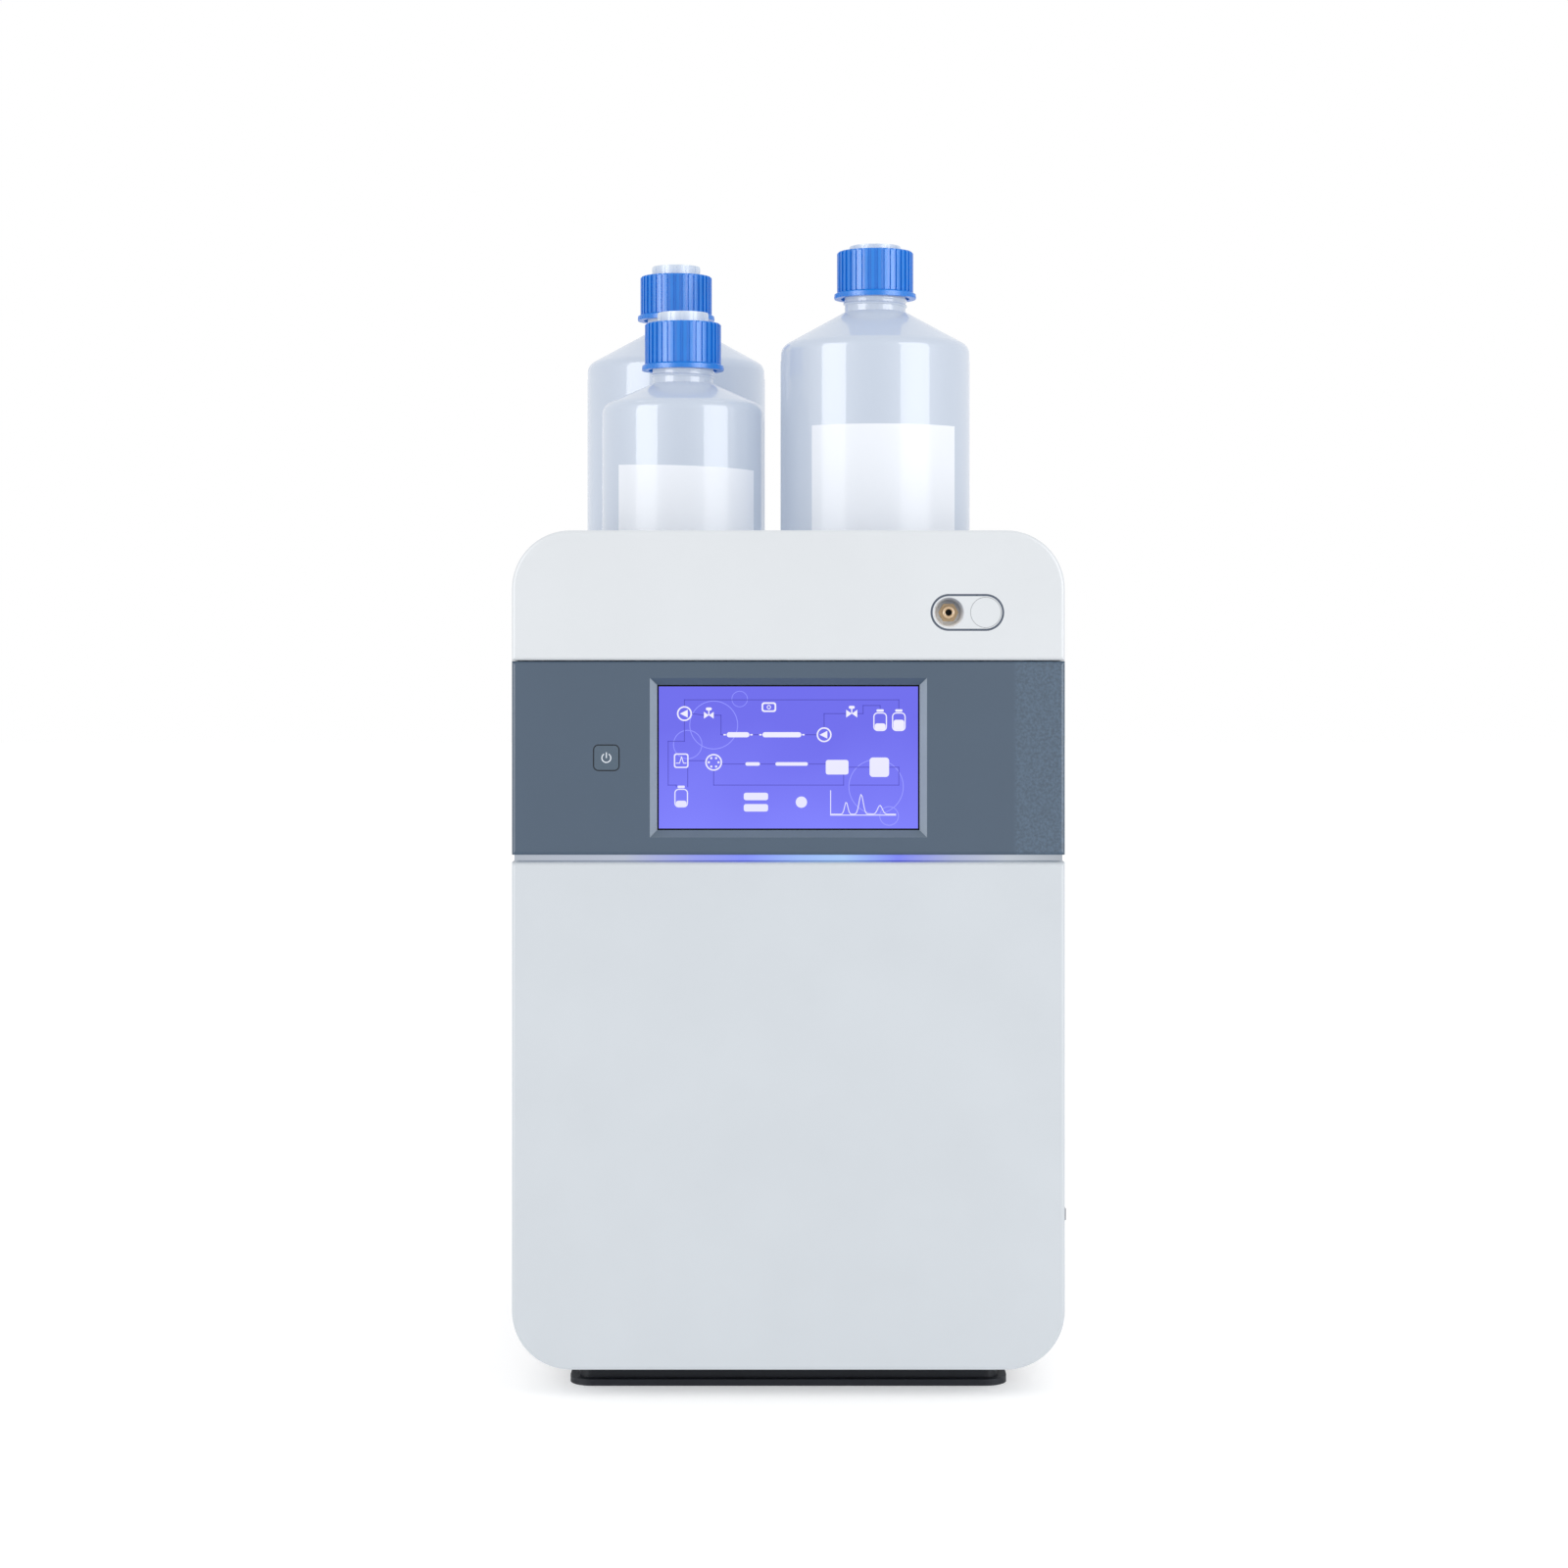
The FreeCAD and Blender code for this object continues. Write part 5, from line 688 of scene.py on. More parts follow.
faint = [ring(-54, -18, 17, 0.5, 48), ring(-62, -36, 6, 0.5), ring(46, 20, 15, 0.5, 48), ring(62, 8, 9, 0.5),
         ring(30, 36, 5, 0.4)]
wide, tall = LIT_WIDTH / 2, LIT_HEIGHT / 2
draw("screen_picture", [[[(-wide, -tall), (wide, -tall), (wide, tall), (-wide, tall)]]], PANE, picture_blue)
draw("screen_rings", faint, MOTIF, picture_faint)
draw("screen_tubes", tubes, LINES, picture_line)
draw("screen_signs", signs, SIGNS, picture_white)

# %% [markdown]
# The power key carries the usual mark for standby: an open ring and a stroke. It rides on the key, so
# it moves in with it. The thin dark ring round the key is a painted shadow of the gap between key and
# band; it lies on the band and stays where it is. Both are plates, sunk a little at the back and just
# proud at the front, so that no two faces share a plane.

# %% Mark of the power key and the painted shadow of its gap
KEY_X = -111.8
SUNK, PROUD = 0.1, 0.03
BAND_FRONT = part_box("display_band")[0][1] / MM
key_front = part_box("power_button")[0][1] / MM


def open_ring(x, z, radius, width, gap, steps=40):
    """The outline of a ring that is open at the top."""
    start, end = math.radians(90 + gap), math.radians(450 - gap)
    turns = [start + (end - start) * i / steps for i in range(steps + 1)]
    far = [(x + (radius + width / 2) * math.cos(a), z + (radius + width / 2) * math.sin(a)) for a in turns]
    near = [(x + (radius - width / 2) * math.cos(a), z + (radius - width / 2) * math.sin(a)) for a in turns]
    return far + near[::-1]


mark = bmesh.new()
plate(mark, open_ring(KEY_X, SCREEN_Z - 0.1, 2.75, 0.62, 32), key_front + SUNK, key_front - PROUD)
plate(mark, rounded(KEY_X, SCREEN_Z + 1.6, 0.62, 3.6, 0.28), key_front + SUNK, key_front - PROUD)
add_piece("power_mark", mark, mark_white, "button")
# A thin dark ring on the band: a painted shadow of the gap round the key.
gap_shadow = bmesh.new()
plate(gap_shadow, rounded(KEY_X, SCREEN_Z, 16.4, 16.4, 3.3), BAND_FRONT + 3 * SUNK, BAND_FRONT - PROUD,
      rounded(KEY_X, SCREEN_Z, 15.6, 15.6, 2.9))
add_piece("key_gap_shadow", gap_shadow, foot_black, "housing")

# %% [markdown]
# The sloping edge round the window catches the light differently on each side, because it mirrors other
# parts of the room. The band is one piece with one finish, so a thin skin over each slope carries the
# difference: four corners, given a little thickness along their own normal.

# %% Slopes round the window
SLOPE_WIDE, SLOPE_DEEP = 4.3, 4.0
WINDOW_WIDE, WINDOW_TALL = 161.6, 89.4
SKIN_DEEP = 0.2


def skin(shape, corners):
    """A thin closed skin over four corners, just proud of them."""
    corners = [Vector(corner) for corner in corners]
    normal = (corners[1] - corners[0]).cross(corners[3] - corners[0]).normalized()
    front = [shape.verts.new((corner + normal * PROUD) * MM) for corner in corners]
    back = [shape.verts.new((corner - normal * SKIN_DEEP) * MM) for corner in corners]
    shape.faces.new(front)
    shape.faces.new(back[::-1])
    for i in range(4):
        j = (i + 1) % 4
        shape.faces.new((front[i], back[i], back[j], front[j]))


def slope(start, end):
    """Corner points of the slope between two corners of the window, which are signs of x and z."""
    outer, inner = (SLOPE_WIDE, 0.0), (0.0, SLOPE_DEEP)
    half_wide, half_tall = WINDOW_WIDE / 2, WINDOW_TALL / 2
    return [(SCREEN_X + side * (half_wide + out), BAND_FRONT + sunk, SCREEN_Z + up * (half_tall + out))
            for (side, up), (out, sunk) in ((start, outer), (end, outer), (end, inner), (start, inner))]


sides, sill = bmesh.new(), bmesh.new()
skin(sides, slope((-1, 1), (-1, -1)))
skin(sides, slope((1, -1), (1, 1)))
skin(sill, slope((-1, -1), (1, -1)))
add_piece("window_side_slopes", sides, side_slope_painted_light, "housing")
add_piece("window_lower_slope", sill, lower_slope_painted_light, "housing")

# %% [markdown]
# The labels are blank film stuck round the bottles. A label is a strip of the bottle's own cylinder,
# moved out by its thickness, so it lies on the wall at every angle. Its film closes over the edges.

# %% Blank labels
LABEL_FILM, LABEL_GLUE, LABEL_STEPS = 0.18, 0.03, 56
LARGE_LABEL, SMALL_LABEL = (526, 604.8), (512, 578.3)


def middle_of(node):
    low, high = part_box(node)
    return (low[0] + high[0]) / 2 / MM, (low[1] + high[1]) / 2 / MM, (high[0] - low[0]) / 2 / MM


def label(name, bottle, heights, start, end, lean=0.0):
    """A curved label between two angles, counted from the front, leaning by so many degrees."""
    x, y, radius = middle_of(bottle)
    shape = bmesh.new()
    layers = []
    for reach in (radius + LABEL_GLUE, radius + LABEL_FILM):
        rows = []
        for height in heights:
            row = []
            for step in range(LABEL_STEPS + 1):
                turn = math.radians(start + (end - start) * step / LABEL_STEPS)
                slide = radius * (turn - math.radians((start + end) / 2)) * math.tan(math.radians(lean))
                spot = Vector((x + reach * math.sin(turn), y - reach * math.cos(turn), height - slide))
                row.append(shape.verts.new(spot * MM))
            rows.append(row)
        layers.append(rows)
    (inner_low, inner_top), (outer_low, outer_top) = layers
    for i in range(LABEL_STEPS):
        shape.faces.new((outer_low[i], outer_low[i + 1], outer_top[i + 1], outer_top[i]))
        shape.faces.new((inner_low[i + 1], inner_low[i], inner_top[i], inner_top[i + 1]))
        shape.faces.new((inner_low[i], inner_low[i + 1], outer_low[i + 1], outer_low[i]))
        shape.faces.new((outer_top[i], outer_top[i + 1], inner_top[i + 1], inner_top[i]))
    shape.faces.new((inner_low[0], outer_low[0], outer_top[0], inner_top[0]))
    shape.faces.new((outer_low[-1], inner_low[-1], inner_top[-1], outer_top[-1]))
    return add_piece(name, shape, label_film, "housing")


label("right_label", "right_bottle", LARGE_LABEL, -42.5, 54.0)
label("rear_label", "rear_bottle", LARGE_LABEL, -46.0, 50.0)
label("small_label", "small_bottle", SMALL_LABEL, -49.5, 62.0, lean=1.8)

# %% [markdown]
# Small parts start as simple solids in millimetres, drawn about their own origin with the axis upright:
# a section turned about the axis, a bevelled block, or a bar with six flats. They are then laid over to
# face the front or the rear and moved to their place.

# %% Simple solids
FRONTWARD, REARWARD, UPRIGHT = 90, -90, 0
FLAT_CHAMFER = 0.5


def lathe(section, count=32, open_middle=False):
    """Turn a section of radius and height about the upright axis; an open middle makes a ring."""
    shape = bmesh.new()
    rows = []
    for radius, height in section:
        if radius == 0:
            rows.append([shape.verts.new((0, 0, height * MM))] * count)
        else:
            rows.append([shape.verts.new((radius * math.cos(2 * math.pi * i / count) * MM,
                                          radius * math.sin(2 * math.pi * i / count) * MM, height * MM))
                         for i in range(count)])
    pairs = list(zip(rows, rows[1:])) + ([(rows[-1], rows[0])] if open_middle else [])
    for low, high in pairs:
        for i in range(count):
            j = (i + 1) % count
            corners = list(dict.fromkeys((low[i], low[j], high[j], high[i])))
            if len(corners) > 2:
                shape.faces.new(corners)
    return shape


def block(centre, size, bevel=0.0):
    """A box about a centre, with its edges rounded over."""
    shape = bmesh.new()
    scale = Matrix.Diagonal((*[length * MM for length in size], 1.0))
    made = bmesh.ops.create_cube(shape, size=1.0, matrix=Matrix.Translation(Vector(centre) * MM) @ scale)
    if bevel:
        edges = list({edge for vert in made["verts"] for edge in vert.link_edges})
        bmesh.ops.bevel(shape, geom=edges, offset=bevel * MM, segments=2, affect="EDGES")
    return shape


def six_flats(flats, low, high):
    """A hexagonal bar, given across its flats, with its two ends chamfered."""
    radius = flats / math.sqrt(3)
    flat = radius - FLAT_CHAMFER
    section = [(0, low), (flat, low), (radius, low + FLAT_CHAMFER), (radius, high - FLAT_CHAMFER),
               (flat, high), (0, high)]
    return lathe(section, 6)


def laid(shape, tilt, place=(0, 0, 0)):
    """Lay a solid over by so many degrees about the X axis and move it."""
    move = Matrix.Translation(Vector(place) * MM) @ Matrix.Rotation(math.radians(tilt), 4, "X")
    bmesh.ops.transform(shape, matrix=move, verts=shape.verts)
    return shape


def merged(*shapes):
    """Several solids as one; the parts stay closed in themselves."""
    whole = bmesh.new()
    for shape in shapes:
        scratch = bpy.data.meshes.new("scratch")
        shape.to_mesh(scratch)
        whole.from_mesh(scratch)
        shape.free()
        bpy.data.meshes.remove(scratch)
    return whole


def span(node):
    """The two corners of a solid piece in millimetres."""
    low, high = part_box(node)
    return [v / MM for v in low], [v / MM for v in high]


def centre_of(node):
    low, high = span(node)
    return [(a + b) / 2 for a, b in zip(low, high)]


print("pump stands from", [round(v, 1) for v in span("pump_housing")[0]])

# %% [markdown]
# What repeats is best grown from a rule. Geometry Nodes places copies by a count and a size, so one tree
# serves many parts and a change of one number changes the whole row. A helper makes a tree with named
# inputs, another ends it with real geometry and its finish, and a third runs a tree once on a small
# carrier and keeps the result as a plain mesh.

# %% Run a node tree and keep its mesh
def new_tree(name, **inputs):
    """A geometry tree with named inputs; each value's type chooses the socket."""
    tree = bpy.data.node_groups.new(name, "GeometryNodeTree")
    tree.interface.new_socket(name="Geometry", in_out="INPUT", socket_type="NodeSocketGeometry")
    tree.interface.new_socket(name="Geometry", in_out="OUTPUT", socket_type="NodeSocketGeometry")
    kinds = {float: "NodeSocketFloat", int: "NodeSocketInt", tuple: "NodeSocketVector",
             str: "NodeSocketMaterial"}
    for title, sample in inputs.items():
        tree.interface.new_socket(name=title, in_out="INPUT", socket_type=kinds[type(sample)])
    return tree, tree.nodes.new("NodeGroupInput"), tree.nodes.new("NodeGroupOutput")


def close_tree(tree, entry, leave, geometry):
    """Every tree ends the same way: real geometry with its finish set."""
    real = tree.nodes.new("GeometryNodeRealizeInstances")
    dress = tree.nodes.new("GeometryNodeSetMaterial")
    wire(tree, geometry, real.inputs["Geometry"])
    wire(tree, real.outputs["Geometry"], dress.inputs["Geometry"])
    wire(tree, entry.outputs["Finish"], dress.inputs["Material"])
    wire(tree, dress.outputs["Geometry"], leave.inputs["Geometry"])


def math_node(tree, operation, first, second):
    node = tree.nodes.new("ShaderNodeMath")
    node.operation = operation
    for socket, source in zip(node.inputs, (first, second)):
        if isinstance(source, (int, float)):
            socket.default_value = source
        else:
            wire(tree, source, socket)
    return node.outputs["Value"]


def grow(tree, material, seedling=None, **sizes):
    """Run a tree on a carrier, whose mesh is its seedling, and return the result as a plain mesh."""
    mesh = bpy.data.meshes.new("carrier")
    if seedling:
        seedling.to_mesh(mesh)
        seedling.free()
    carrier = bpy.data.objects.new("carrier", mesh)
    bpy.context.scene.collection.objects.link(carrier)
    run = carrier.modifiers.new("run", "NODES")
    run.node_group = tree
    sockets = {item.name: item.identifier for item in tree.interface.items_tree if item.in_out == "INPUT"}
    run[sockets["Finish"]] = material
    for size, number in sizes.items():
        run[sockets[size]] = number
    bpy.context.view_layer.update()
    graph = bpy.context.evaluated_depsgraph_get()
    grown = bpy.data.meshes.new_from_object(carrier.evaluated_get(graph))
    carrier.modifiers.remove(run)
    bpy.data.objects.remove(carrier)
    return grown


print("trees can run")

# %% [markdown]
# The first tree sets copies of its carrier evenly on a circle, each turned with its place, which makes
# ribs, teeth and bolt rings. A mesh circle gives the points, and the index of a point over their count
# gives its turn. The whole ring is then laid over and moved.

# %% Copies on a circle
circle_tree, entry, leave = new_tree("copies_on_a_circle", Count=12, Radius=0.01, Tilt=(0, 0, 0),
                                     Place=(0, 0, 0), Finish="")
points = circle_tree.nodes.new("GeometryNodeMeshCircle")
number = circle_tree.nodes.new("GeometryNodeInputIndex")
heading = circle_tree.nodes.new("ShaderNodeCombineXYZ")
turned_by = circle_tree.nodes.new("FunctionNodeEulerToRotation")
copies = circle_tree.nodes.new("GeometryNodeInstanceOnPoints")
tilted_by = circle_tree.nodes.new("FunctionNodeEulerToRotation")
laid_over = circle_tree.nodes.new("GeometryNodeTransform")
wire(circle_tree, entry.outputs["Count"], points.inputs["Vertices"])
wire(circle_tree, entry.outputs["Radius"], points.inputs["Radius"])
share = math_node(circle_tree, "DIVIDE", number.outputs["Index"], entry.outputs["Count"])
wire(circle_tree, math_node(circle_tree, "MULTIPLY", share, 2 * math.pi), heading.inputs["Z"])
wire(circle_tree, heading.outputs["Vector"], turned_by.inputs["Euler"])
wire(circle_tree, points.outputs["Mesh"], copies.inputs["Points"])
wire(circle_tree, entry.outputs["Geometry"], copies.inputs["Instance"])
wire(circle_tree, turned_by.outputs["Rotation"], copies.inputs["Rotation"])
wire(circle_tree, entry.outputs["Tilt"], tilted_by.inputs["Euler"])
wire(circle_tree, copies.outputs["Instances"], laid_over.inputs["Geometry"])
wire(circle_tree, tilted_by.outputs["Rotation"], laid_over.inputs["Rotation"])
wire(circle_tree, entry.outputs["Place"], laid_over.inputs["Translation"])
close_tree(circle_tree, entry, leave, laid_over.outputs["Geometry"])
print("circle tree has", len(circle_tree.nodes), "nodes")

# %% [markdown]
# The second tree sets copies in a straight row, a step apart. Screws, fittings, louvres and contacts all
# come from it, and two rows of it make a grid.

# %% Copies in a row
row_tree, entry, leave = new_tree("copies_in_a_row", Count=4, Step=(0, 0, 0), Place=(0, 0, 0), Finish="")
line = row_tree.nodes.new("GeometryNodeMeshLine")
line.mode = "OFFSET"
along = row_tree.nodes.new("GeometryNodeInstanceOnPoints")
wire(row_tree, entry.outputs["Count"], line.inputs["Count"])
wire(row_tree, entry.outputs["Step"], line.inputs["Offset"])
wire(row_tree, entry.outputs["Place"], line.inputs["Start Location"])
wire(row_tree, line.outputs["Mesh"], along.inputs["Points"])
wire(row_tree, entry.outputs["Geometry"], along.inputs["Instance"])
close_tree(row_tree, entry, leave, along.outputs["Instances"])
print("row tree has", len(row_tree.nodes), "nodes")

# %% [markdown]
# The third tree sweeps a round section along the edges of its carrier and closes the ends. Fillet Curve
# rounds the corners first, so a tube needs only its corner points, as when it is bent by hand.

# %% Round section along a path
path_tree, entry, leave = new_tree("round_section_along_a_path", Thickness=0.001, Bend=0.005, Finish="")
spine = path_tree.nodes.new("GeometryNodeMeshToCurve")
bends = path_tree.nodes.new("GeometryNodeFilletCurve")
section = path_tree.nodes.new("GeometryNodeCurvePrimitiveCircle")
swept = path_tree.nodes.new("GeometryNodeCurveToMesh")
bends.mode = "POLY"
bends.inputs["Count"].default_value = 6
bends.inputs["Limit Radius"].default_value = True
section.inputs["Resolution"].default_value = 12
swept.inputs["Fill Caps"].default_value = True
wire(path_tree, entry.outputs["Geometry"], spine.inputs["Mesh"])
wire(path_tree, spine.outputs["Curve"], bends.inputs["Curve"])
wire(path_tree, entry.outputs["Bend"], bends.inputs["Radius"])
wire(path_tree, entry.outputs["Thickness"], section.inputs["Radius"])
wire(path_tree, bends.outputs["Curve"], swept.inputs["Curve"])
wire(path_tree, section.outputs["Curve"], swept.inputs["Profile Curve"])
close_tree(path_tree, entry, leave, swept.outputs["Mesh"])
print("path tree has", len(path_tree.nodes), "nodes")

# %% [markdown]
# Short helpers give the trees their sizes in millimetres, so a part can be asked for in one line.

# %% Rings, rows and tubes in millimetres
def in_metres(point):
    return tuple(v * MM for v in point)


def ring_of(seed, material, count, radius, place, tilt=UPRIGHT, start=0):
    """Copies on a circle that begins at a start angle and is laid over by a tilt, both in degrees."""
    return grow(circle_tree, material, seed, Count=count, Radius=radius * MM,
                Tilt=(math.radians(tilt), 0.0, math.radians(start)), Place=in_metres(place))


def row_of(seed, material, count, step, place):
    return grow(row_tree, material, seed, Count=count, Step=in_metres(step), Place=in_metres(place))


def as_shape(*meshes):
    """Grown meshes back in one bmesh, to be grown again or merged with others."""
    shape = bmesh.new()
    for mesh in meshes:
        shape.from_mesh(mesh)
    return shape


def tube_along(paths, material, thickness, bend, closed=False):
    """A tube or wire along each path of corner points."""
    spines = bmesh.new()
    for path in paths:
        corners = [spines.verts.new(Vector(point) * MM) for point in path]
        for first, second in zip(corners, corners[1:] + (corners[:1] if closed else [])):
            spines.edges.new((first, second))
    return grow(path_tree, material, spines, Thickness=thickness * MM, Bend=bend * MM)


print("a step of 8.6 mm is", in_metres((0, 0, 8.6)), "in metres")

# %% [markdown]
# The screw thread on a bottle's neck shows under its cap, and more of it when the cap is turned up. It is
# a spiral swept with a small round section. Its turns, pitch and thickness are inputs of its own tree,
# and the same tree serves three bottles.

# %% Neck threads
thread_tree, entry, leave = new_tree("neck_thread", Radius=1.0, Turns=1.0, Pitch=1.0, Thickness=1.0,
                                     Place=(0, 0, 0), Finish="")
spiral = thread_tree.nodes.new("GeometryNodeCurveSpiral")
spiral.inputs["Resolution"].default_value = 64
wire(thread_tree, entry.outputs["Turns"], spiral.inputs["Rotations"])
wire(thread_tree, entry.outputs["Radius"], spiral.inputs["Start Radius"])
wire(thread_tree, entry.outputs["Radius"], spiral.inputs["End Radius"])
climb = math_node(thread_tree, "MULTIPLY", entry.outputs["Turns"], entry.outputs["Pitch"])
wire(thread_tree, climb, spiral.inputs["Height"])
section = thread_tree.nodes.new("GeometryNodeCurvePrimitiveCircle")
section.inputs["Resolution"].default_value = 10
wire(thread_tree, entry.outputs["Thickness"], section.inputs["Radius"])
sweep = thread_tree.nodes.new("GeometryNodeCurveToMesh")
sweep.inputs["Fill Caps"].default_value = True
wire(thread_tree, spiral.outputs["Curve"], sweep.inputs["Curve"])
wire(thread_tree, section.outputs["Curve"], sweep.inputs["Profile Curve"])
shift = thread_tree.nodes.new("GeometryNodeTransform")
wire(thread_tree, sweep.outputs["Mesh"], shift.inputs["Geometry"])
wire(thread_tree, entry.outputs["Place"], shift.inputs["Translation"])
close_tree(thread_tree, entry, leave, shift.outputs["Geometry"])

NECK_RADIUS = 20.2
THREAD_TURNS, THREAD_PITCH, THREAD_THICKNESS, THREAD_DROP = 1.3, 3.6, 1.0, 5.0
BOTTLES = ("right", "rear", "small")
for side in BOTTLES:
    x, y, _ = middle_of(side + "_bottle")
    cap_foot = span(side + "_bottle_cap")[0][2]
    thread = grow(thread_tree, bottle_milk, Radius=NECK_RADIUS * MM, Turns=THREAD_TURNS,
                  Pitch=THREAD_PITCH * MM, Thickness=THREAD_THICKNESS * MM,
                  Place=in_metres((x, y, cap_foot - THREAD_DROP)))
    add_piece(side + "_neck_thread", thread, bottle_milk, "housing")

# %% [markdown]
# Each cap has a toothed edge at its foot, and each stopper carries upright ribs and a short collar round
# each of its three holes. The solids leave them out, because dozens of small teeth are quicker to grow
# from one here. The teeth ride on the cap and the ribs on the stopper, so both lift when the cap is
# turned.

# %% Cap teeth and stopper ribs
TEETH, TEETH_RADIUS = 48, 26.9
RIBS, STOPPER_RADIUS = 12, 16.6
TUBE_HOLES, TUBE_RING, FIRST_HOLE = 3, 8.5, 90
COLLAR = [(2.1, -0.4), (3.3, -0.4), (3.3, 0.0), (2.9, 0.0), (2.1, 0.0)]
for side in BOTTLES:
    x, y, _ = middle_of(side + "_bottle")
    cap_low, cap_high = span(side + "_bottle_cap")
    tooth = block((-0.15, 0, 0.9), (0.7, 1.5, 1.8), 0.25)
    teeth = ring_of(tooth, cap_blue, TEETH, TEETH_RADIUS, (x, y, cap_low[2] + 0.1))
    add_piece(side + "_cap_teeth", teeth, cap_blue, side + "_cap")
    top = span(side + "_bottle_stopper")[1][2]
    visible = top - cap_high[2]
    rib = block((-0.2, 0, -visible / 2), (1.0, 2.4, visible - 0.6), 0.25)
    ribs = ring_of(rib, stopper_milk, RIBS, STOPPER_RADIUS, (x, y, top))
    add_piece(side + "_stopper_ribs", ribs, stopper_milk, side + "_stopper")
    collar = lathe(COLLAR, 20, open_middle=True)
    collars = ring_of(collar, stopper_milk, TUBE_HOLES, TUBE_RING, (x, y, top), start=FIRST_HOLE)
    add_piece(side + "_stopper_collars", collars, stopper_milk, side + "_stopper")

# %% [markdown]
# The bottles were blown in two halves of a mould, which leaves a fine seam up each side. It is a wire
# sunk by half into the wall. The tray has low rings that keep each bottle in its place, turned from a
# small section with sloping sides.

# %% Mould seams and locating rings
STRAIGHT_SIDE = {"right": 163.7, "rear": 163.7, "small": 124.7}
SEAM_THICKNESS, SEAM_START, SEAM_END = 0.28, 6, 9
for side in BOTTLES:
    x, y, radius = middle_of(side + "_bottle")
    foot = span(side + "_bottle")[0][2]
    shoulder = STRAIGHT_SIDE[side] + foot
    seams = [[(x + sign * radius, y, foot + SEAM_START), (x + sign * radius, y, shoulder - SEAM_END)]
             for sign in (-1, 1)]
    seam_wires = tube_along(seams, bottle_milk, SEAM_THICKNESS, 1.0)
    add_piece(side + "_mould_seams", seam_wires, bottle_milk, "housing")
    section = [(radius + 0.8, -0.4), (radius + 2.8, -0.4), (radius + 2.4, 1.4), (radius + 1.2, 1.4)]
    locator = laid(lathe(section, 72, open_middle=True), UPRIGHT, (x, y, foot))
    add_piece(side + "_locating_ring", locator, fascia_white, "housing")

# %% [markdown]
# The injection port is the smallest thing that the photograph shows clearly: a bright cone leads a
# syringe to a tan nut, whose rounded nose shines round a dark hole. Its three pieces are turned, so each
# is one section on the lathe; the black cup in the hole is painted shade for the deep bore. The thin grey
# ring round the blanking disc beside it is a painted shadow of its gap, and it is turned the same way.

# %% Injection port
BOWL_WALL = [(9.1, 0.0), (7.32, 9.9), (5.6, 9.9), (5.6, 9.75), (7.18, 9.75), (8.95, 0.0)]
THROAT_WALL = [(1.97, 0.3), (1.97, 7.9), (0, 7.9), (0, 7.7), (1.85, 7.7), (1.85, 0.3)]
NOSE_MIDDLE, NOSE_HALF, NOSE_RISE, NOSE_FOOT = 2.95, 0.91, 0.8, -0.6
GAP_SHADOW_WIDTH = 0.28
port_low, port_high = span("injection_port")
port_x, port_z = (port_low[0] + port_high[0]) / 2, (port_low[2] + port_high[2]) / 2
face_y = span("port_insert")[0][1]
bowl = lathe(BOWL_WALL, 64, open_middle=True)
add_piece("port_bowl", laid(bowl, REARWARD, (port_x, face_y, port_z)), bowl_silver, "housing")
over = [math.radians(turn) for turn in range(0, 181, 15)]
round_nose = [(NOSE_MIDDLE + NOSE_HALF * math.cos(turn), 0.1 + NOSE_RISE * math.sin(turn)) for turn in over]
nose = lathe([(NOSE_MIDDLE + NOSE_HALF, NOSE_FOOT)] + round_nose + [(NOSE_MIDDLE - NOSE_HALF, NOSE_FOOT)], 48,
             open_middle=True)
add_piece("port_nose_ring", laid(nose, FRONTWARD, (port_x, port_low[1], port_z)), nose_tan, "housing")
disc_x, _, disc_z = centre_of("blanking_disc")
disc_low, disc_high = span("blanking_disc")
disc_edge = (disc_high[0] - disc_low[0]) / 2
gap_shadow_edge = disc_edge + GAP_SHADOW_WIDTH
# The ring fills the gap round the disc with grey: painted shadow.
rim_section = [(disc_edge, -0.2), (gap_shadow_edge, -0.2), (gap_shadow_edge, PROUD), (disc_edge, PROUD)]
rim = laid(lathe(rim_section, 72, open_middle=True), FRONTWARD, (disc_x, face_y, disc_z))
add_piece("disc_gap_shadow", rim, gap_shadow_grey, "housing")
# The black cup that lines the hole is painted shade for the deep, narrow bore.
throat = laid(lathe(THROAT_WALL, 24), REARWARD, (port_x, port_low[1], port_z))
add_piece("port_throat", throat, socket_black, "housing")

# %% [markdown]
# Behind the door the modules get what a service engineer would expect: a screw in each corner, blank
# labels and small lamps. A button-head screw is turned once, set in a pair, and the pair is set twice.

# %% Front screws, labels and lamps of the modules
LARGE_HEAD, SMALL_HEAD = 2.2, 1.8
TAG_FILM, TAG_DROP = 0.25, 14


def corner_screws(name, node, inset, radius):
    """Four button-head screws on the front of a module."""
    low, high = span(node)
    head = [(0, -0.2), (radius, -0.2), (radius, 0.7), (radius - 0.6, 1.2), (1.1, 1.2), (1.1, 0.5), (0, 0.5)]
    wide, tall = high[0] - low[0] - 2 * inset, high[2] - low[2] - 2 * inset
    pair = row_of(laid(lathe(head, 20), FRONTWARD), bright_steel, 2, (wide, 0, 0), (0, 0, 0))
    both = row_of(as_shape(pair), bright_steel, 2, (0, 0, tall), (low[0] + inset, low[1], low[2] + inset))
    add_piece(name, both, bright_steel, "housing")


def front_tag(name, node, x, z, width, height):
    """A blank label with round corners on the front of a module."""
    front = span(node)[0][1]
    shape = bmesh.new()
    plate(shape, rounded(x, z, width, height, min(width, height) * 0.14), front + SUNK, front - TAG_FILM)
    return add_piece(name, shape, label_film, "housing")


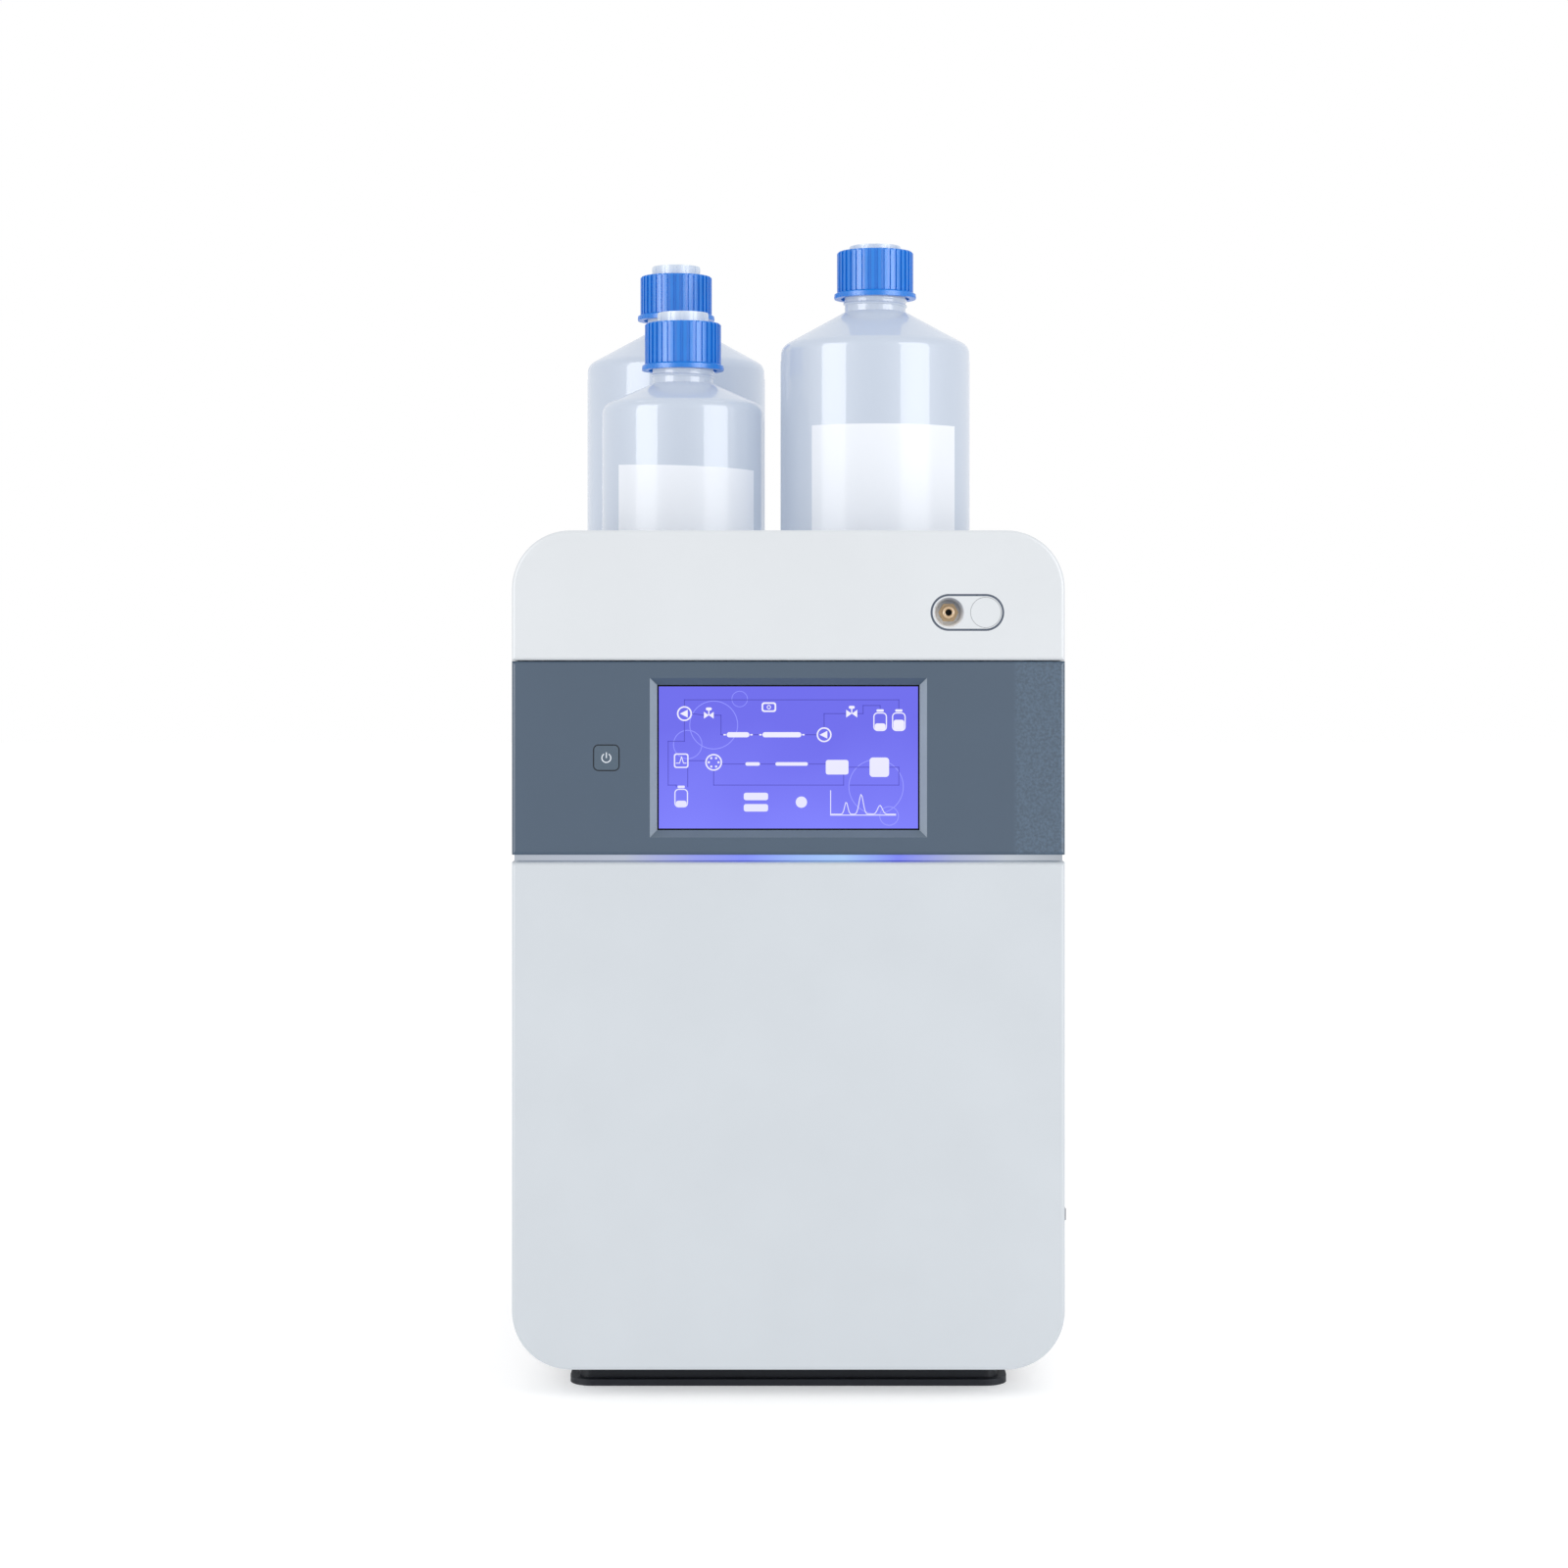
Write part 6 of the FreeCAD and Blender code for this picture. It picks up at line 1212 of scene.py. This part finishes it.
corner_screws("pump_screws", "pump_housing", 7, LARGE_HEAD)
corner_screws("actuator_screws", "valve_actuator", 7, LARGE_HEAD)
corner_screws("suppressor_screws", "suppressor", 5.5, SMALL_HEAD)
corner_screws("cell_screws", "conductivity_cell", 5.5, SMALL_HEAD)
corner_screws("degasser_screws", "degasser", 6, SMALL_HEAD)
pump_low, pump_high = span("pump_housing")
valve_low, valve_high = span("valve_actuator")
gas_low, gas_high = span("degasser")
cell_low, cell_high = span("conductivity_cell")
sup_low, sup_high = span("suppressor")
valve_middle, gas_middle = centre_of("valve_actuator")[0], centre_of("degasser")[0]
sup_middle, cell_middle = centre_of("suppressor")[0], centre_of("conductivity_cell")[0]
front_tag("pump_tag", "pump_housing", pump_low[0] + 26, pump_high[2] - TAG_DROP, 26, 9)
front_tag("valve_tag", "valve_actuator", valve_middle, valve_high[2] - 6.5, 30, 6)
front_tag("degasser_tag", "degasser", gas_middle, gas_high[2] - TAG_DROP, 36, 10)
front_tag("suppressor_tag", "suppressor", sup_middle, centre_of("suppressor")[2], 26, 18)
lamp = laid(lathe([(0, -0.3), (1.5, -0.3), (1.5, 0.4), (1.0, 0.9), (0, 1.05)], 18), FRONTWARD)
lamps = row_of(lamp, lamp_green, 3, (7, 0, 0), (pump_high[0] - 32, pump_low[1], pump_high[2] - TAG_DROP))
add_piece("pump_lamps", lamps, lamp_green, "housing")

# %% [markdown]
# The tubes go into finger-tight fittings: a knurled barrel on a collar. A knurl could be a bump in the
# material, but its edge shows against the light, so it is a ring of small ribs. The fitting is made once
# and set in rows, in the colours that keep the lines apart.

# %% Fittings of the modules
FITTING_RADIUS, FITTING_LENGTH, KNURLS = 4.2, 8.0, 20
GAS_PITCH, SUP_PITCH, CELL_PITCH = 15, 22, 18
in_z, out_z = gas_low[2] + 54, gas_low[2] + 24
up_z, low_z = sup_high[2] - 19, sup_low[2] + 16


def fitting():
    """A knurled finger-tight fitting that faces the front, with its collar against the module."""
    radius, length = FITTING_RADIUS, FITTING_LENGTH
    body = [(0, -0.3), (radius + 0.9, -0.3), (radius + 0.9, 1.2), (radius, 1.5), (radius, length - 0.8),
            (radius - 0.8, length), (1.1, length), (0, length - 0.5)]
    knurl = block((0, 0, (length + 1) / 2), (0.5, 0.55, length - 2.6), 0.12)
    knurls = ring_of(knurl, nut_white, KNURLS, radius, (0, 0, 0))
    return laid(merged(lathe(body, 28), as_shape(knurls)), FRONTWARD)


def fittings(name, node, count, pitch, z, material):
    """A level row of fittings about the middle of a module's front."""
    start = centre_of(node)[0] - (count - 1) / 2 * pitch
    row = row_of(fitting(), material, count, (pitch, 0, 0), (start, span(node)[0][1], z))
    add_piece(name, row, material, "housing")


fittings("degasser_inlets", "degasser", 4, GAS_PITCH, in_z, nut_blue)
fittings("degasser_outlets", "degasser", 4, GAS_PITCH, out_z, nut_white)
fittings("suppressor_upper_fittings", "suppressor", 2, SUP_PITCH, up_z, nut_white)
fittings("suppressor_lower_fittings", "suppressor", 2, SUP_PITCH, low_z, nut_red)
fittings("cell_fittings", "conductivity_cell", 2, CELL_PITCH, up_z, nut_white)

# %% [markdown]
# Tubes join the fittings. Each path is a list of corner points, and the tree rounds the corners. The
# lower pump valves draw from the degasser, the suppressor feeds the cell, and a waste line ends over the
# drip tray. The paths stay clear of the swing of the door and of the purge knob.

# %% Low-pressure tubes and the cell cable
PUMP_HEAD_RADIUS, VALVE_REACH, FITTING_REACH = 19, 16.2, 7.5
LEFT_SAG, RIGHT_SAG, PURGE_Z, DRIP_Z = 69, 75, 163.6, 52
heads_low, heads_high = span("pump_heads")
left_x, right_x = heads_low[0] + PUMP_HEAD_RADIUS, heads_high[0] - PUMP_HEAD_RADIUS
valve_y = pump_low[1] - VALVE_REACH
gas_y, sup_y, cell_y = gas_low[1] - FITTING_REACH, sup_low[1] - FITTING_REACH, cell_low[1] - FITTING_REACH
first_gas, second_gas = gas_middle - 1.5 * GAS_PITCH, gas_middle - 0.5 * GAS_PITCH
inlet_z = heads_low[2] + 0.5
supply_paths = [
    [(first_gas, gas_y, out_z), (first_gas, valve_y, out_z), (first_gas, valve_y, RIGHT_SAG),
     (right_x, valve_y, RIGHT_SAG), (right_x, valve_y, inlet_z)],
    [(second_gas, gas_y, out_z), (second_gas, valve_y, out_z), (second_gas, valve_y, LEFT_SAG),
     (left_x, valve_y, LEFT_SAG), (left_x, valve_y, inlet_z)],
]
add_piece("supply_tubes", tube_along(supply_paths, tube_clear, 1.6, 7), tube_clear, "housing")
sup_left, sup_right = sup_middle - SUP_PITCH / 2, sup_middle + SUP_PITCH / 2
cell_left, cell_right = cell_middle - CELL_PITCH / 2, cell_middle + CELL_PITCH / 2
over_y, back_y, waste_y, between_x = sup_y - 20, sup_y - 16, sup_y - 18, sup_middle + 30
flow_paths = [
    [(sup_right, sup_y, up_z), (sup_right, over_y, up_z), (cell_left, over_y, up_z),
     (cell_left, cell_y, up_z)],
    [(cell_right, cell_y, up_z), (cell_right, back_y, up_z), (cell_right, back_y, up_z - 30),
     (between_x, back_y, up_z - 30), (between_x, back_y, low_z), (sup_right, back_y, low_z),
     (sup_right, sup_y, low_z)],
    [(right_x, valve_y, heads_high[2] - 0.5), (right_x, valve_y, heads_high[2] + 12),
     (right_x, valve_y, PURGE_Z), (right_x - 14.5, valve_y, PURGE_Z)],
]
add_piece("flow_tubes", tube_along(flow_paths, tube_red, 0.8, 6), tube_red, "housing")
beside_pump = pump_high[0] + 2
waste_path = [(sup_left, sup_y, low_z), (sup_left, waste_y, low_z), (sup_left, waste_y, low_z - 22),
              (beside_pump, waste_y, low_z - 32), (beside_pump, waste_y, DRIP_Z)]
add_piece("waste_tube", tube_along([waste_path], tube_clear, 1.5, 8), tube_clear, "housing")
cable_y, cable_z = cell_low[1] + 14, cell_low[2] - 12
cable = [(cell_middle, cable_y, cell_low[2] + 1), (cell_middle, cable_y, cable_z),
         (cell_middle, cell_high[1] + 0.5, cable_z)]
add_piece("cell_cable", tube_along([cable], socket_black, 1.8, 6), socket_black, "housing")

# %% [markdown]
# The check valves end in knurled nuts, a ring of small ribs round the collar that is there as a solid.
# The two columns get coloured bands and small nuts at their ends, and the long one has a blank label
# round its barrel. All of these are turned.

# %% Knurled nuts and the ends of the columns
NUT_RADIUS, NUT_RIBS = 5.5, 28
BAND_SECTION = [(6.4, -1.6), (7.6, -1.6), (7.6, 1.6), (6.4, 1.6)]
BAND_INSET = 16.5
STUB = [(0, 0), (3.2, 0), (3.2, 4.2), (2.4, 5), (0, 5)]
WRAP_LENGTH, WRAP_START = 58, 57


def check_nut(name, x, low, high):
    """Ribs round the upright collar of a check valve."""
    rib = block((0, 0, (low + high) / 2), (0.7, NUT_RADIUS * 0.11, high - low), 0.12)
    ribs = ring_of(rib, bright_steel, NUT_RIBS, NUT_RADIUS, (x, valve_y, 0))
    add_piece(name, ribs, bright_steel, "housing")


for tag, x in (("left", left_x), ("right", right_x)):
    check_nut(f"{tag}_lower_check_nut", x, heads_low[2] + 1, heads_low[2] + 8)
    check_nut(f"{tag}_upper_check_nut", x, heads_high[2] - 8, heads_high[2] - 1)
for node in ("analytical_column", "guard_column"):
    low, high = span(node)
    x, y, _ = centre_of(node)
    bands = [laid(lathe(BAND_SECTION, 32, open_middle=True), UPRIGHT, (x, y, z))
             for z in (low[2] + BAND_INSET, high[2] - BAND_INSET)]
    add_piece(node + "_bands", merged(*bands), nut_blue, "housing")
    ends = [laid(lathe(STUB, 20), turn, (x, y, z)) for turn, z in ((0, high[2] - 0.2), (180, low[2] + 0.2))]
    add_piece(node + "_nuts", merged(*ends), nut_white, "housing")
x, y, _ = centre_of("analytical_column")
foot = span("analytical_column")[0][2] + WRAP_START
wrap = lathe([(6.45, 0), (6.62, 0), (6.62, WRAP_LENGTH), (6.45, WRAP_LENGTH)], 40, open_middle=True)
add_piece("column_label", laid(wrap, UPRIGHT, (x, y, foot)), label_film, "housing")

# %% [markdown]
# The drip tray is moulded with ribs, the pump heads sit in bezels, and the injection valve has a scale
# ring of small pips. A white line on the purge knob shows how far it is turned, and it rides on the
# knob.

# %% Ribs, bezels and the knob line
DRIP_RIBS, RIB_PITCH, FIRST_RIB = 15, 16, -112
BEZEL = [(18.9, -0.3), (22.5, -0.3), (22.5, 1.0), (21.8, 1.7), (19.8, 1.7), (18.9, 1.0)]
SCALE_PIPS, SCALE_RADIUS = 24, 26
drip_low, drip_high = span("drip_tray")
drip_y = centre_of("drip_tray")[1]
rib = block((0, 0, 0.9), (2.2, drip_high[1] - drip_low[1] - 12, 1.9), 0.5)
ribs = row_of(rib, liner_grey, DRIP_RIBS, (RIB_PITCH, 0, 0), (FIRST_RIB, drip_y, drip_low[2] + 1.4))
add_piece("drip_ribs", ribs, liner_grey, "housing")
head_z = centre_of("pump_heads")[2]
bezel = laid(lathe(BEZEL, 56, open_middle=True), FRONTWARD)
bezels = row_of(bezel, satin_black, 2, (right_x - left_x, 0, 0), (left_x, pump_low[1], head_z))
add_piece("head_bezels", bezels, satin_black, "housing")
dial_x, _, dial_z = centre_of("injection_valve")
pip = block((0, 0, 0), (1.8, 0.7, 0.9), 0.15)
pips = ring_of(pip, mark_white, SCALE_PIPS, SCALE_RADIUS, (dial_x, valve_low[1] - 0.2, dial_z), FRONTWARD)
add_piece("valve_scale", pips, mark_white, "housing")
knob_x, _, knob_z = centre_of("purge_knob")
knob_front = span("purge_knob")[0][1]
line_up = bmesh.new()
plate(line_up, rounded(knob_x, knob_z + 4.2, 1.2, 6.4, 0.5), knob_front + 0.2, knob_front - 0.2)
add_piece("knob_line", line_up, mark_white, "knob")

# %% [markdown]
# The inner skin of the door has a soft gasket, which meets the chassis when the door is shut, and a row
# of screws down each side. They ride on the door.

# %% Door gasket, screws and label
GASKET_HALF, GASKET_FOOT, GASKET_TOP, GASKET_BEND = 139, 46, 312, 14
SCREW_HALF, SCREW_STEP, FIRST_SCREW, SCREW_ROWS = 131, 54, 70, 5
SCREW_HEAD = [(0, -0.2), (2.3, -0.2), (2.3, 0.3), (1.7, 0.7), (1.0, 0.7), (1.0, 0.3), (0, 0.3)]
skin_y = span("front_door")[1][1] - 2.0
gasket_y = skin_y + 0.3
gasket = [(-GASKET_HALF, gasket_y, GASKET_FOOT), (GASKET_HALF, gasket_y, GASKET_FOOT),
          (GASKET_HALF, gasket_y, GASKET_TOP), (-GASKET_HALF, gasket_y, GASKET_TOP)]
soft_seal = tube_along([gasket], foot_black, 1.1, GASKET_BEND, closed=True)
add_piece("door_gasket", soft_seal, foot_black, "door")
screw = laid(lathe(SCREW_HEAD, 20), REARWARD)
pair = as_shape(row_of(screw, bright_steel, 2, (2 * SCREW_HALF, 0, 0), (0, 0, 0)))
screws = row_of(pair, bright_steel, SCREW_ROWS, (0, 0, SCREW_STEP), (-SCREW_HALF, skin_y, FIRST_SCREW))
add_piece("door_screws", screws, bright_steel, "door")
blank = bmesh.new()
plate(blank, rounded(0, 236, 84, 52, 3), skin_y + 0.25, skin_y - 0.1)
add_piece("door_blank_label", blank, label_film, "door")

# %% [markdown]
# The back of the instrument is seen less often, but it tells the same story. Its covers are held by
# pan-head screws with a cross recess. The solids have plain heads, so these turned ones replace them, and
# the crosses are thin dark blocks on top: painted shade that stands for the recesses.

# %% Screws of the covers
SCREW_RADIUS, MIDDLE_ROW = 3.5, 263.2
PAN_HEAD = [(0, 0), (3.5, 0), (3.5, 1.0), (2.9, 1.7), (1.6, 2.0), (0, 2.0)]
screw_low, screw_high = span("cover_screws")
left_screw, right_screw = screw_low[0] + SCREW_RADIUS, screw_high[0] - SCREW_RADIUS
screw_rows = (screw_low[2] + SCREW_RADIUS, MIDDLE_ROW, screw_high[2] - SCREW_RADIUS)
panel_y = screw_low[1]


def cover_screws(seed, material):
    """Copies of a seed at the six cover screws: a pair in each of three rows."""
    pair = row_of(laid(seed, REARWARD), material, 2, (right_screw - left_screw, 0, 0), (0, 0, 0))
    return merged(*[laid(as_shape(pair), UPRIGHT, (left_screw, panel_y, z)) for z in screw_rows])


# The dark crosses are painted shade of the cross recesses, not cut into the heads.
cross = merged(block((0, 0, 2.0), (2.9, 0.7, 0.12)), block((0, 0, 2.0), (0.7, 2.9, 0.12)))
pans = cover_screws(lathe(PAN_HEAD, 28), bright_steel)
heads = add_piece("cover_screw_heads", pans, bright_steel, "housing")
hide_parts("cover_screws")
add_piece("cover_screw_crosses", cover_screws(cross, socket_black), socket_black, "housing")

# %% [markdown]
# The rest of the rear panel follows: air louvres pressed out of the sheet, a blank rating label, contacts
# in the network socket, tongues in the two narrow ones, and an earth stud with its nut. A louvre starts
# on the lathe as a long rounded bar, which is laid level, flattened and sunk into the panel by half.

# %% Louvres, label and sockets of the rear panel
LOUVRE = [(0, -32), (1.9, -32), (2.6, -31), (2.6, 31), (1.9, 32), (0, 32)]
LOUVRES, LOUVRE_PITCH, LABEL_X = 10, 8.6, 62
CONTACTS, CONTACT_PITCH, CONTACT_START = 8, 1.35, 28.8
hood = lathe(LOUVRE, 16)
bmesh.ops.transform(hood, matrix=Matrix.Rotation(math.radians(90), 4, "Y"), verts=hood.verts)
bmesh.ops.scale(hood, vec=(1.0, 0.75, 1.0), verts=hood.verts)
louvres = row_of(hood, powder_coat, LOUVRES, (0, 0, LOUVRE_PITCH), (LABEL_X, panel_y, 356))
add_piece("rear_louvres", louvres, powder_coat, "housing")
rating = bmesh.new()
plate(rating, rounded(LABEL_X, 300, 86, 42, 2.5), panel_y + 0.3, panel_y - 0.2)
add_piece("rating_label", rating, label_film, "housing")
block_x, _, block_z = centre_of("interface_sockets")
sockets_y = span("interface_sockets")[1][1]
contacts = row_of(block((0, 0, 0), (0.55, 8.0, 0.35)), contact_gold, CONTACTS, (CONTACT_PITCH, 0, 0),
                  (block_x - CONTACT_START, sockets_y - 6.2, block_z + 4.6))
add_piece("network_contacts", contacts, contact_gold, "housing")
tongue = block((0, 0, 0), (10.4, 8.6, 1.7), 0.2)
tongues = row_of(tongue, socket_white, 2, (20, 0, 0), (block_x - 3.5, sockets_y - 6.0, block_z))
add_piece("socket_tongues", tongues, socket_white, "housing")
bolt = lathe([(0, 0), (2.2, 0), (2.2, 8.2), (1.7, 8.8), (0, 8.8)], 20)
washer = lathe([(0, 0), (5.2, 0), (5.2, 0.8), (0, 0.8)], 32)
stud = merged(six_flats(8, 0, 3.2), bolt, washer)
add_piece("earth_stud", laid(stud, REARWARD, (132, panel_y - 0.2, 70)), bright_steel, "housing")

# %% [markdown]
# The floor is a wide sheet of pale paper, lit from below a little, as on a light table, so that only the
# shadow right under the instrument stays. It belongs to the studio.

# %% Studio floor
FLOOR_HALF, FLOOR_GLOW = 12.0, 0.35
floor = bpy.data.objects.new("studio_floor", bpy.data.meshes.new("studio_floor"))
paper = bmesh.new()
bmesh.ops.create_grid(paper, x_segments=1, y_segments=1, size=FLOOR_HALF)
paper.to_mesh(floor.data)
paper.free()
paper_white = finish("paper_white", tint(222, 222, 222), 0.9, 0.002, 2, 2.0, 0.0, Emission_Color=WHITE,
                     Emission_Strength=FLOOR_GLOW)
floor.data.materials.append(paper_white)
bpy.context.scene.collection.objects.link(floor)
print("floor laid")
